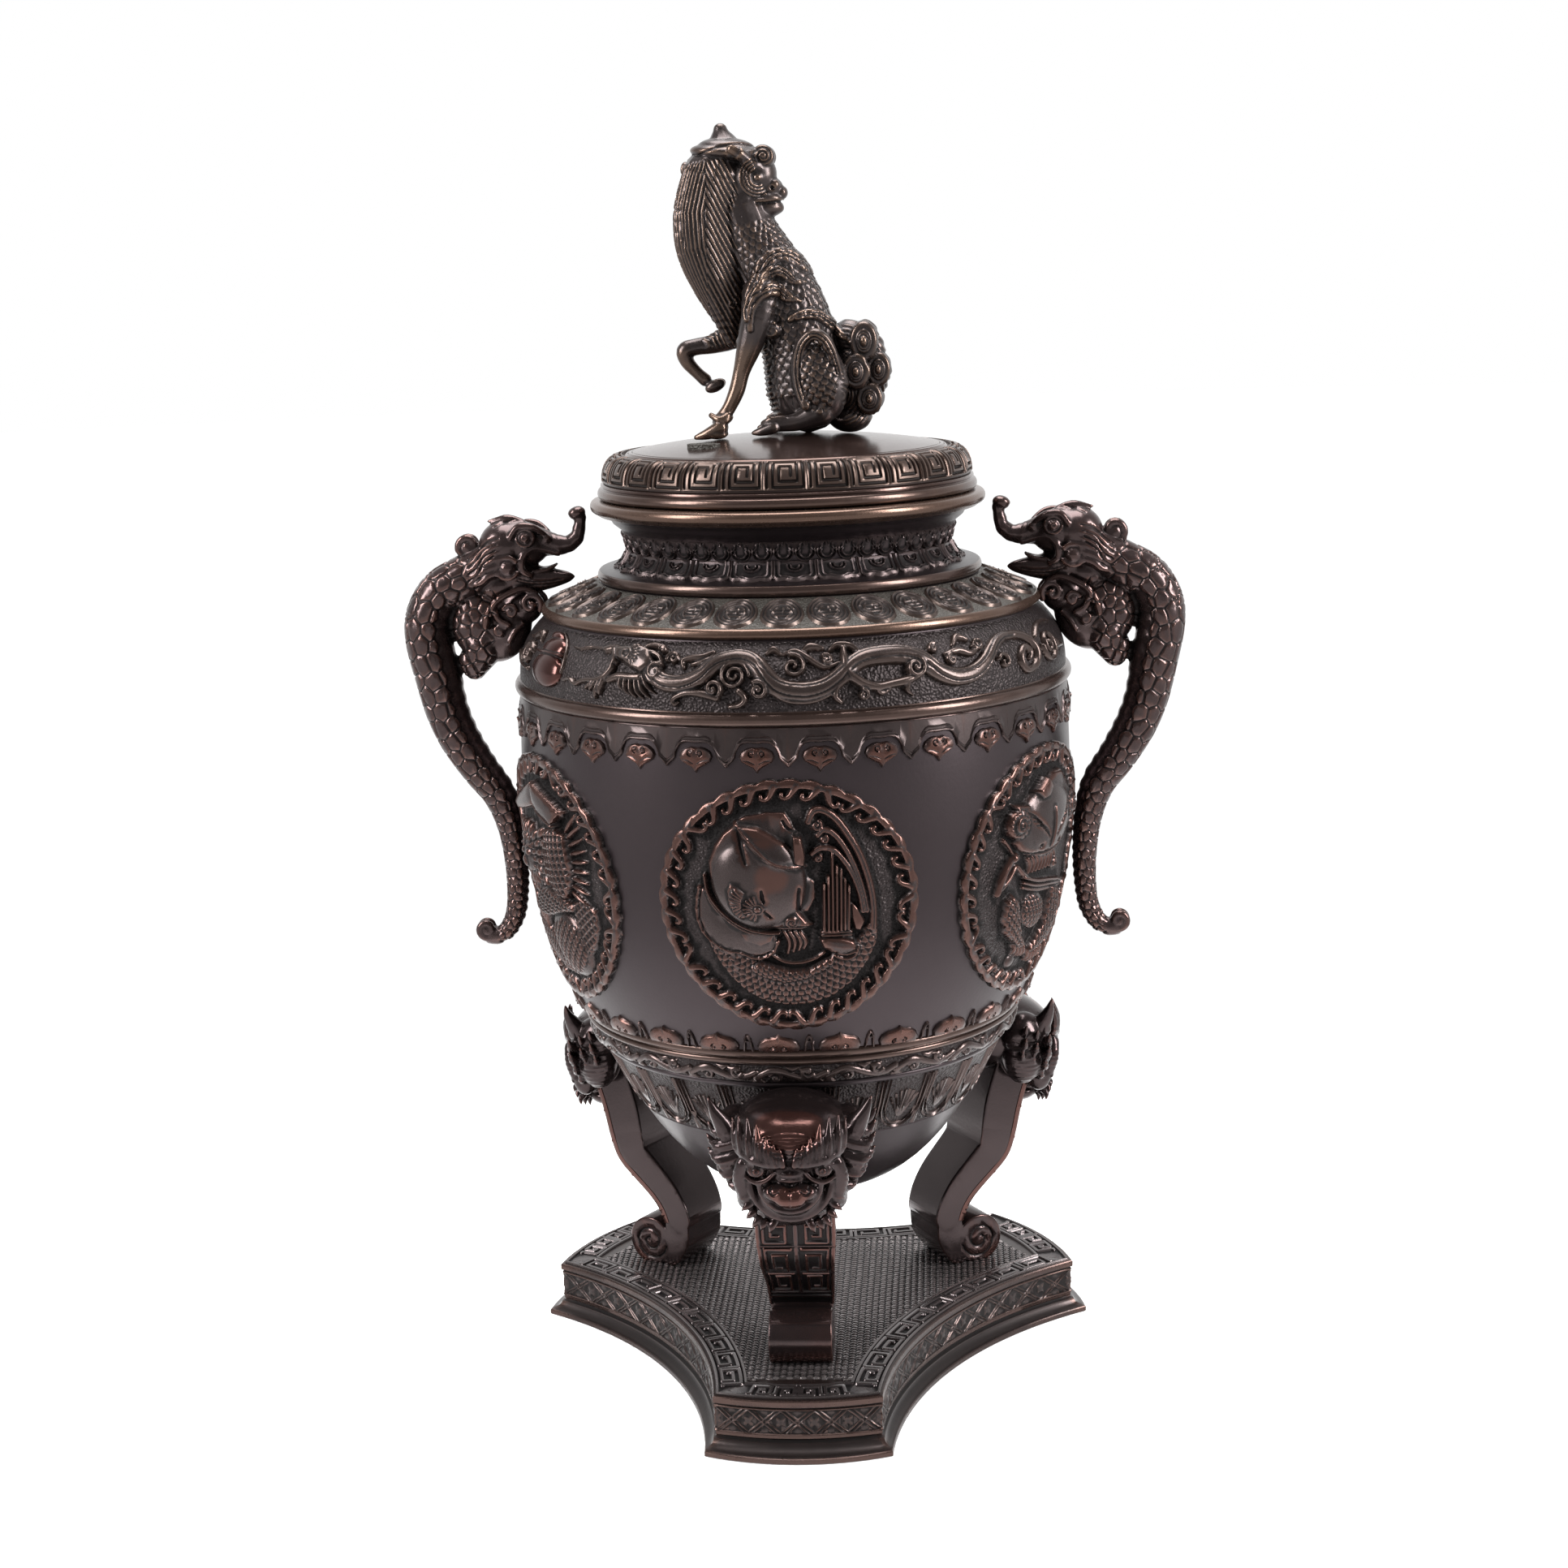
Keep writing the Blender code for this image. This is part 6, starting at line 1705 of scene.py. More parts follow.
def plinthBody():
    # levels: height, and how far the outline spreads there
    levels = [(0.0, 4.0), (0.4, 4.4), (1.7, 4.4), (2.1, 4.1), (2.3, 3.4), (2.9, 2.3), (3.7, 1.4), (4.6, 0.9),
              (5.1, 0.8), (5.3, 0.3), (5.9, -0.3), (6.3, 0.0), (17.1, 0.0), (17.3, 0.45), (17.6, 0.7),
              (19.3, 0.7), (19.7, 0.4), (plinth["height"], -0.2)]
    rings = [[(x, y, z) for x, y in plinthOutline(spread)] for z, spread in levels]
    bm = bmesh.new()
    runs = []
    for ring in rings:
        verts = [bm.verts.new(point) for point in ring]
        runs.append([bm.edges.new((a, b)) for a, b in zip(verts, verts[1:] + verts[:1])])
    for low, high in zip(runs, runs[1:]):
        bmesh.ops.bridge_loops(bm, edges=low + high)
    for run in (runs[0], runs[-1]):
        bmesh.ops.contextual_create(bm, geom=run)
    bmesh.ops.recalc_face_normals(bm, faces=bm.faces)
    return newObject("plinth_body", bm)


def alongRun(points, inward, width, low):
    # a board laid along a run of points: its y goes inward over the top, or up the side
    line, length, tangent = measured(points)

    def place(co):
        s = np.clip(co[:, 0] + length[-1] / 2, 0, length[-1])
        x, y = np.interp(s, length, line[:, 0]), np.interp(s, length, line[:, 1])
        tx, ty = np.interp(s, length, tangent[:, 0]), np.interp(s, length, tangent[:, 1])
        up = co[:, 1] + width / 2
        if inward:
            return np.column_stack([x - ty * up, y + tx * up, low + co[:, 2]])
        return np.column_stack([x + ty * co[:, 2], y - tx * co[:, 2], low + up])

    place.length = length[-1]
    return place


def beyondMitre(board, surface, run):
    # true where a border's board lies nearer to a neighbouring run than to its own
    flat = surface(np.column_stack([board["x"].ravel(), board["y"].ravel(), np.zeros(board["x"].size)]))
    own = np.full(len(flat), far)
    other = np.full(len(flat), far)
    for facing in plinth["facings"]:
        for line in plinthSides(-0.6, facing):
            mine = len(line) == len(run) and np.allclose(line, run)
            pts = np.array(line)
            for a, b in zip(pts, pts[1:]):
                way = b - a
                share = np.clip((flat[:, :2] - a) @ way / (way @ way), 0, 1)
                gap = np.linalg.norm(flat[:, :2] - a - share[:, None] * way, axis=1)
                if mine:
                    own = np.minimum(own, gap)
                else:
                    other = np.minimum(other, gap)
    return (other < own - 0.05).reshape(board["x"].shape)


def keyUnit(board, middle, wide, tall, turn):
    # one square spiral of a key fret, standing up
    u, v = wide / 2 - 0.5, tall / 2 - 0.8
    path = [(-u - 0.9, -v), (-u, -v), (-u, v), (u - 0.7, v), (u - 0.7, -v), (-u + 2.5, -v),
            (-u + 2.5, v - 2.4),
            (u - 3.0, v - 2.4), (u - 3.0, -v + 2.3)]
    ridge(board, [(middle + turn * a, b, 0.82) for a, b in path], 0.7, square=True)


def makeFret(points, isEnd):
    # the key fret along one run of the top's border
    units, corner, triangles = (4, 2.0, 4200) if isEnd else (10, 1.2, 13000)
    width = plinth["borderWidth"]
    surface = alongRun(points, True, width, plinth["height"])
    board = newBoard(surface.length, width, 0.27)
    half, up = surface.length / 2, width / 2
    for v, w in ((-up + 0.5, 0.6), (up - 0.6, 0.7)):
        ridge(board, [(-half, v, w), (half, v, w)], 0.7, square=True)
    inner = width - 2.8
    room = surface.length - corner * width
    pitch = room / units
    for i in range(units):
        middle = -room / 2 + (i + 0.5) * pitch
        keyUnit(board, middle, pitch, inner, 1 if middle < 0 else -1)
    if isEnd:
        ridge(board, [(0, -inner / 2, 0.8), (0, inner / 2, 0.8)], 0.7, square=True)
    board["h"] = np.where(beyondMitre(board, surface, points), -0.8, board["h"] + 0.02)
    return boardObject("plinth_fret", board, surface, triangles, depth=1.0)


def makeLattice(points, isEnd):
    # crossed pairs of lines with a small flower in each field, along one side
    units, triangles = (5, 1800) if isEnd else (10, 4000)
    tall = plinth["latticeTop"] - plinth["latticeFoot"]
    surface = alongRun(points, False, tall, plinth["latticeFoot"])
    board = newBoard(surface.length, tall, 0.27)
    half, up = surface.length / 2, tall / 2
    pitch = (surface.length - 1.0) / units
    for v in (-up + 0.3, up - 0.3):
        ridge(board, [(-half, v, 0.35), (half, v, 0.35)], 0.45, square=True)
    for i in range(-1, units + 1):
        left = -half + 0.5 + i * pitch
        for shift in (-0.95, 0.95):
            for foot, top in ((-up, up), (up, -up)):
                bar = [(left + shift, foot, 0.34), (left + pitch + shift, top, 0.34)]
                ridge(board, bar, 0.28, square=True)
        middle = left + pitch
        for turn in range(45, 405, 90):
            c, v = cos(radians(turn)), sin(radians(turn))
            mound(board, (middle + 1.0 * c, 1.0 * v), (1.0, 0.75), 0.32, lean=turn)
            ridge(board, [(middle + 0.9 * v, 0.9 * c, 0.3), (middle + 2.0 * v, 2.0 * c, 0.22)], 0.25)
        for v in (-up + 1.3, up - 1.3):
            mound(board, (left + pitch / 2, v), (1.3, 0.7), 0.25)
    return boardObject("plinth_lattice", board, surface, triangles, depth=0.8)


def makePlinth():
    body = plinthBody()
    storeWearAndShade(body, strength=0.2)
    weave = makeWovenFloor()
    weave.data.polygons.foreach_set("material_index", [1] * len(weave.data.polygons))
    pieces, floor = [body], [weave]
    for facing in plinth["facings"]:
        end, hollow = plinthSides(-0.6, facing)
        floor += [makeFret(end, True), makeFret(hollow, False)]
        end, hollow = plinthSides(0.0, facing)
        pieces += [makeLattice(end, True), makeLattice(hollow, False)]
    finish(joinObjects("plinth_cast", pieces), "plinth", "plinth", sharp=35)
    finish(joinObjects("plinth_floor", floor), ("border", "weave"), sharp=35)


def makeWovenFloor():
    # basket weave inside the fret, in strips that run across the plinth
    k = plinth
    pitch = k["weave"]
    outline = np.array(plinthOutline(-k["borderWidth"] - 0.2))
    span = np.ptp(outline, axis=0) + 1.0
    middle = (outline.max(0) + outline.min(0)) / 2
    board = newBoard(span[0], span[1], 0.45)
    board["x"] += middle[0]
    board["y"] += middle[1]
    inside = plateMask(board, whole, outline, 0.4)
    x, y = board["x"], board["y"]
    column = np.floor(x / pitch)
    across = np.abs((x / pitch) % 1 - 0.5) * 2
    slot = (y / (pitch * 0.9) + 0.5 * (column % 2)) % 1
    weave = 0.7 * (1 - across**4) * (0.1 + 0.9 * np.sqrt(np.clip(1 - ((slot - 0.5) * 2.3)**2, 0, 1)))
    board["h"] = np.where(inside > 0, weave * inside, -0.3)

    def place(co):
        return co + np.array([0, 0, k["height"]])

    return boardObject("plinth_weave", board, place, 56000, keep=inside > 0, depth=0.6)


finishes["plinth"] = bronze("plinth bronze", (0.031, 0.023, 0.022), (0.080, 0.044, 0.035), rub=0.5,
                            gloss=0.3)
# the fret border and the woven floor are painted lighter than the plinth, and lighter still on their tops:
# painted sheen
finishes["border"] = bronze("sheen-painted fret border", (0.056, 0.045, 0.046), (0.100, 0.084, 0.082), rub=0.7, gloss=0.27)
finishes["weave"] = bronze("sheen-painted woven floor", (0.100, 0.087, 0.088), (0.21, 0.185, 0.182), rub=0.8, gloss=0.3,
                           recessShade=1.0)
makePlinth()
print("plinth cast")

# Legs: a fretted strap that rolls up at the foot, under a beast's mask; x is out from the axis, y across
leg = {
    "voxel": 0.40, "triangles": 33000, "strapTriangles": 11000, "halfWidth": 12.9, "rollAt": (64.4, 28.4),
    "roll": 9.1, "footZ": 20.1, "strapRuns": 120,
    "azimuths": {"leg_front": -90.0, "leg_back_right": 30.0, "leg_back_left": 150.0},
    "strap": [(86, 90), (84, 85), (81.2, 76.6), (77.6, 62.6), (74.6, 57.4), (70.6, 53.6), (62.6, 46.4),
              (58.8, 41.2), (57.2, 36.6)],
}


def strapHalfWidth(z):
    return 10.9 + 2.4 * np.clip((z - 36.0) / 33.0, 0, 1)


def strapSurface(line):
    # a board laid down the front of a leg, from the roll up; its x spreads with the strap's width
    path, length, tangent = measured(smoothLine(line, 4)[::-1])

    def place(co):
        s = np.clip(co[:, 1] + length[-1] / 2, 0, length[-1])
        z = np.interp(s, length, path[:, 1]) - co[:, 2] * np.interp(s, length, tangent[:, 0])
        x = np.interp(s, length, path[:, 0]) + co[:, 2] * np.interp(s, length, tangent[:, 1])
        across = co[:, 0] * strapHalfWidth(np.interp(s, length, path[:, 1])) / leg["halfWidth"]
        return np.column_stack([x, across, z])

    place.length = length[-1]
    return place


def makeStrap():
    surface = strapSurface(leg["strap"])
    wide = leg["halfWidth"]
    board = newBoard(2 * wide, surface.length - 0.2, 0.26)
    up = surface.length / 2
    ridge(board, [(0, -up + 6, 0.9), (0, up, 0.9)], 0.5, square=True)
    for side in (-1, 1):
        ridge(board, [(side * (wide - 0.7), -up, 0.8), (side * (wide - 0.7), up, 0.8)], 0.5, square=True)
    rows = (up - 13.6, up - 25.4, up - 40.5, up - 57.0)
    for top, bottom in zip(rows, rows[1:]):
        mid, tall = (top + bottom) / 2, (top - bottom) / 2 - 0.5
        ridge(board, [(-wide, bottom, 0.55), (wide, bottom, 0.55)], 0.5, square=True)
        for side in (-1, 1):
            key = [(1.9, tall - 0.9), (10.4, tall - 0.9), (10.4, -tall + 1.0), (3.4, -tall + 1.0),
                   (3.4, tall - 3.4), (8.0, tall - 3.4), (8.0, -tall + 3.4), (5.6, -tall + 3.4)]
            ridge(board, [(side * u, mid + v, 0.62) for u, v in key], 0.6, square=True)
    ridge(board, [(-wide, rows[0], 0.6), (wide, rows[0], 0.6)], 0.5, square=True)
    ridge(board, [(-wide, rows[-1] - 2.0, 0.6), (wide, rows[-1] - 2.0, 0.6)], 0.5, square=True)
    board["h"] = board["h"] - 0.25
    strap = boardObject("leg_strap", board, surface, leg["strapTriangles"], depth=1.8)
    return storeWearAndShade(strap, strength=0.5)


def strapDepth(z):
    return 10.4 + 3.8 * float(fade(z, 38, 80))


def strapLines():
    # points down the strap's front, and the way from each into the bronze
    front = smoothLine(leg["strap"], 26)
    inward = np.gradient(front, axis=0)[:, ::-1] * (1, -1)
    inward /= np.linalg.norm(inward, axis=1)[:, None]
    for _ in range(leg["strapRuns"]):
        inward[1:-1] = (inward[:-2] + 2 * inward[1:-1] + inward[2:]) / 4
    inward /= np.linalg.norm(inward, axis=1)[:, None]
    return front, inward


def makeBack():
    # a clean skin for the strap's back and sides, where a thinned one looks streaky
    bm = bmesh.new()
    rings = []
    for (px, pz), (dx, dz) in zip(*(line[::6] for line in strapLines())):
        if pz > 36:
            deep, half = strapDepth(pz) + 0.96, strapHalfWidth(pz) - 0.24
            section = [(1.5, half), (deep - 1, half), (deep - 0.35, half), (deep, half - 0.35),
                       (deep, half - 1)]
            section += [(d, -w) for d, w in section[::-1]]
            rings.append([bm.verts.new((px + d * dx, w, pz + d * dz)) for d, w in section])
    for first, second in zip(rings, rings[1:]):
        for k in range(len(first)):
            bm.faces.new((first[k - 1], first[k], second[k], second[k - 1]))
    for ring in (rings[0], rings[-1]):
        bm.faces.new(ring)
    bmesh.ops.recalc_face_normals(bm, faces=bm.faces)
    return newObject("leg_back", bm)


def legMasses():
    clay = []

    def drum(x, z, radius, across):
        # round seen from the side, flat on its two ends
        bm = bmesh.new()
        upright = Matrix.Translation((x, 0, z)) @ Matrix.Rotation(pi / 2, 4, "X")
        bmesh.ops.create_cone(bm, cap_ends=True, segments=64, radius1=radius, radius2=radius,
                              depth=2 * across,
                              matrix=upright)
        lump(clay, bm)

    drum(*leg["rollAt"], leg["roll"], 10.7)
    for (px, pz), (dx, dz) in zip(*strapLines()):
        reach = strapDepth(pz) / 2
        drum(px + dx * (reach + 0.9), pz + dz * (reach + 0.9), reach, strapHalfWidth(pz) - 0.3)
    for px, pz, reach in smoothLine([(52.0, 36.4, 5.2), (52.6, 30.6, 5.2), (55.8, 25.2, 5.0)], 12):
        drum(px, pz, reach, 10.6)
    bm = bmesh.new()
    bmesh.ops.create_cube(bm, size=1.0,
                          matrix=Matrix.Translation((60.5, 0, 22.5)) @ Matrix.Diagonal((11, 19.6, 4.8, 1)))
    lump(clay, bm)
    # mask: skull, domed forehead, face and muzzle
    ball(clay, (75, 0, 105), (16.0, 18.0, 14))
    ball(clay, (81.8, 0, 109.0), (17.0, 19.4, 9.6), lean=-16)
    ball(clay, (85.0, 0, 98.5), (12.6, 16.6, 9.6))
    ball(clay, (87.4, 0, 88.4), (10.4, 14.4, 9.2))
    ball(clay, (84.6, 0, 81.4), (9.2, 12.8, 5.0))
    pair(clay, (88.4, 15.0, 88.2), (4.6, 3.2, 5.4))
    rodPair(clay, [(94.2, 15.2, 100.4, 2.4), (93.0, 16.4, 95.2, 2.5), (92.0, 15.4, 89.8, 2.2),
                   (91.4, 13.6, 85.4, 1.6)])
    # brow ridges, eyes and the loops under them
    rodPair(clay, [(99.0, 1.8, 101.0, 1.5), (99.0, 6.4, 101.9, 1.8), (97.2, 11.6, 103.0, 2.0),
                   (93.4, 16.2, 104.6, 1.7)])
    pair(clay, (96.6, 10.7, 99.0), (2.5, 3.2, 2.4))
    rodPair(clay, [(98.4, 5.6, 99.2, 0.7), (98.4, 8.4, 101.0, 0.9), (97.6, 11.8, 101.3, 0.9),
                   (95.4, 14.8, 100.2, 0.7)], 10)
    rodPair(clay, [(97.4, 5.2, 98.0, 0.8), (97.2, 7.6, 95.7, 0.9), (96.4, 11.2, 94.7, 0.9),
                   (94.8, 14.6, 96.4, 0.8),
                   (93.4, 16.6, 99.6, 0.7)], 10)
    for z in (95.4, 97.3):
        rod(clay, [(96.6, -3.4, z, 0.7), (97.8, 0, z + 0.3, 0.95), (96.6, 3.4, z, 0.7)], 10)
    # heart-shaped nose inside two bands of the lip
    pair(clay, (97.2, 4.4, 91.4), (3.4, 4.2, 2.9), turn=6)
    ball(clay, (97.8, 0, 89.8), (3.6, 5.4, 3.3))
    for reach, foot, out, thick in ((9.9, 84.9, 97.0, 1.15), (13.2, 81.4, 94.2, 1.45)):
        band = [(out - 0.9 * (1 - sin(a)), reach * cos(a), 94.6 - (94.6 - foot) * sin(a), thick)
                for a in np.linspace(0.04, pi - 0.04, 13)]
        rod(clay, band, 12, 2)
    # tufts: blades of the brows, the whiskers along the jaw
    for y, rise, half in ((1.9, 5.67, 1.035), (3.9, 6.75, 1.15), (6.3, 8.91, 1.3225), (9.2, 11.88, 1.5525),
                          (12.3, 12.96, 1.61), (15.2, 11.88, 1.4375), (17.3, 9.72, 1.15)):
        out, foot = 100.7 - 0.024 * y**2, 101.6 + 0.013 * y**2
        rodPair(clay, [(out, y, foot, half), (out - 0.1, y + 0.4, foot + rise * 0.45, half * 1.05),
                       (out - 0.20 * rise + 0.6, y + 0.9, foot + rise, 0.3)], 10, 3)
    for y, z, tipY, tipZ in ((13.6, 91.6, 16.9, 90.6), (13.8, 88.6, 17.3, 87.6), (13.2, 86.0, 16.4, 83.6),
                             (12.4, 83.2, 14.8, 80.8), (10.8, 81.0, 13.0, 77.6), (8.8, 79.8, 10.2, 76.9),
                             (6.0, 79.3, 7.4, 75.8)):
        rodPair(clay, [(92.6, y, z, 1.3), (93.2, (y + tipY) / 2, (z + tipZ) / 2 + 0.3, 1.05),
                       (92.4, tipY, tipZ, 0.25)], 10, 3)
    # ears, and locks swept back from the cheeks
    pair(clay, (80, 17.2, 98), (8.0, 6.2, 10.5))
    pair(clay, (79, 18.6, 107), (8.0, 6.4, 8.0))
    rodPair(clay, [(84, 19.2, 106, 4.2), (86, 22.2, 111.6, 3.2), (87, 24.6, 116.0, 1.8),
                   (86.8, 26.4, 120.0, 0.5)])
    for y, z, reach, half in ((18.4, 105.0, 9.0, 2.5), (18.2, 100.2, 8.8, 2.6), (17.2, 95.4, 7.4, 2.3),
                              (16.2, 91.2, 5.4, 1.8)):
        for back, lift in ((0.0, 0.0), (5.0, 2.4), (9.6, 4.8)):
            rodPair(clay, [(87.0 - back, y - 1.0, z + lift, half),
                           (86.6 - back, y + reach * 0.4, z - 1.3 + lift, half * 0.95),
                           (86.0 - back, y + reach * 0.75, z - 0.4 + lift, half * 0.6),
                           (85.4 - back, y + reach, z + 2.6 + lift, 0.4)], 10, 3)
    for side in (-1, 1):
        for y, z, reach, start in ((20.6, 108.8, 2.9, 40), (22.4, 103.0, 2.5, 20), (20.4, 97.6, 2.2, 0)):
            line = curl((0, 0), reach, start, -1.5, 0.95, inner=0.15, thin=0.75)
            rod(clay, [(88.4 - 0.4 * (y - 18) + 1.0 * (1 - hypot(u, v) / reach), side * (y + u), z + v, w)
                       for u, v, w in line], 10, 1)
    return clay


def legSkin(obj):
    skin = skinOf(obj)
    x, y, z = skin["co"].T
    front = x > 84

    def line(points, half, depth, pieces=4):
        sideLine(skin, smoothLine([(u, v, half) for u, v in points], pieces), depth, front, (1, 2),
                 groove=True)

    for side in (-1, 1):
        sideLine(skin, oval((side * 10.7, 98.9), 1.5, 1.5, 0.34), 0.45, front, (1, 2), groove=True)
        line([(side * 10.7, 98.8), (side * 10.7, 99.0)], 0.6, 0.4, 1)
        line([(side * 3.6, 92.6), (side * 5.2, 91.6), (side * 6.6, 92.6), (side * 6.0, 93.6)], 0.42, 0.6)
        for y0, rise in ((3.9, 5.0), (6.3, 6.6), (9.2, 8.8), (12.3, 9.6), (15.2, 8.8)):
            foot = 101.8 + 0.013 * y0**2
            line([(side * y0, foot), (side * (y0 + 0.8), foot + rise * 0.7)], 0.24, 0.3, 1)
    line([(0, 87.4), (0, 91.0), (0, 94.2)], 0.4, 0.5)
    # wrinkles of the forehead
    for rise in range(6):
        wide = 4.6 + 1.1 * rise
        bow = 0.030 - 0.011 * rise
        line([(t, 104.2 + 1.45 * rise + bow * t**2) for t in np.linspace(-wide, wide, 9)], 0.3, 0.24, 2)
    # furrows of the locks, and the spiral on the roll's ends
    onHair = fade(np.abs(y), 16.5, 18.5) * fade(z, 86, 89) * fade(x, 66, 70) * fade(109.0 - z, 0, 3)
    skin["lift"] += 0.1 * onHair * np.cos((z + 0.3 * np.abs(y)) * 3.4)
    ends = np.abs(y) > 9.6
    spiral = curl(leg["rollAt"], leg["roll"] - 1.8, 190, 1.7, 0.42, inner=0.16, thin=0.8)
    sideLine(skin, spiral, 0.6, ends, (0, 2), groove=True, facing=0.6)
    return settle(skin)


def legWearAndHighlight(co):
    # hands have worn the forehead, the nose and the front of the roll reddish; the forehead's crown is also
    # made brighter as a painted highlight
    x, y, z = co.T
    # the crown is made brighter and redder than wear alone: painted highlight on the dome's top
    crown = fade(13.0 - np.hypot(y, (z - 112.5) * 1.6), 0, 5) * fade(x, 88, 91)
    nose = fade(5.2 - np.hypot(y * 0.8, z - 89.6), 0, 2.0) * fade(x, 97, 99)
    roll = fade(27.0 - z, 0, 6) * fade(x, 64, 70) * 0.6
    return np.maximum(np.maximum(crown * 1.1, nose), roll)


def makeLegs():
    casting = legSkin(melted("leg_cast", legMasses(), leg["voxel"]))
    storeWearAndShade(casting, wide=12, strength=0.4)
    addWear(casting, legWearAndHighlight)
    dropFlakes(thin(casting, leg["triangles"]))
    whole = joinObjects("leg_cast", [casting, makeStrap(), makeBack()])
    co = coordinates(whole.data)
    co[:, 2] = np.maximum(co[:, 2], leg["footZ"])
    setCoordinates(whole.data, co)
    for name, azimuth in leg["azimuths"].items():
        copy = bpy.data.objects.new(name + "_cast", whole.data.copy())
        copy.data.transform(Matrix.Rotation(radians(azimuth), 4, "Z"))
        bpy.context.scene.collection.objects.link(copy)
        finish(copy, "leg", name, sharp=55)
    bpy.data.objects.remove(whole)


finishes["leg"] = bronze("leg bronze", (0.034, 0.024, 0.024), (0.110, 0.042, 0.031), rub=0.5, gloss=0.2,
                         mottle=0.25)
makeLegs()
print("legs cast")

# Handles: scaled beasts with raised trunks, modelled on the right and turned about for the left
handle = {
    "voxel": 0.42, "triangles": 80000, "widest": 134.6, "round": 9, "wingScute": 4.3,
    "body": [(97, 0, 288.5, 7.0), (104, 0, 284.8, 7.6), (113, 0, 280.5, 7.6), (121, 0, 275.5, 8.0),
             (125.8, 0, 267, 8.2), (126, 0, 259, 8.4), (123.6, 0, 248, 8.6), (121, 0, 235, 8.0),
             (117, 0, 224.5, 7.6), (110.5, 0, 213.5, 7.0), (104.2, 0, 204.5, 6.3), (100.6, 0, 193.5, 5.4),
             (99.2, 0, 181, 4.7), (99.2, 0, 170, 4.3), (100.5, 0, 160.5, 4.0), (104.5, 0, 153.7, 3.6),
             (110.2, 0, 152.6, 3.1)],
}


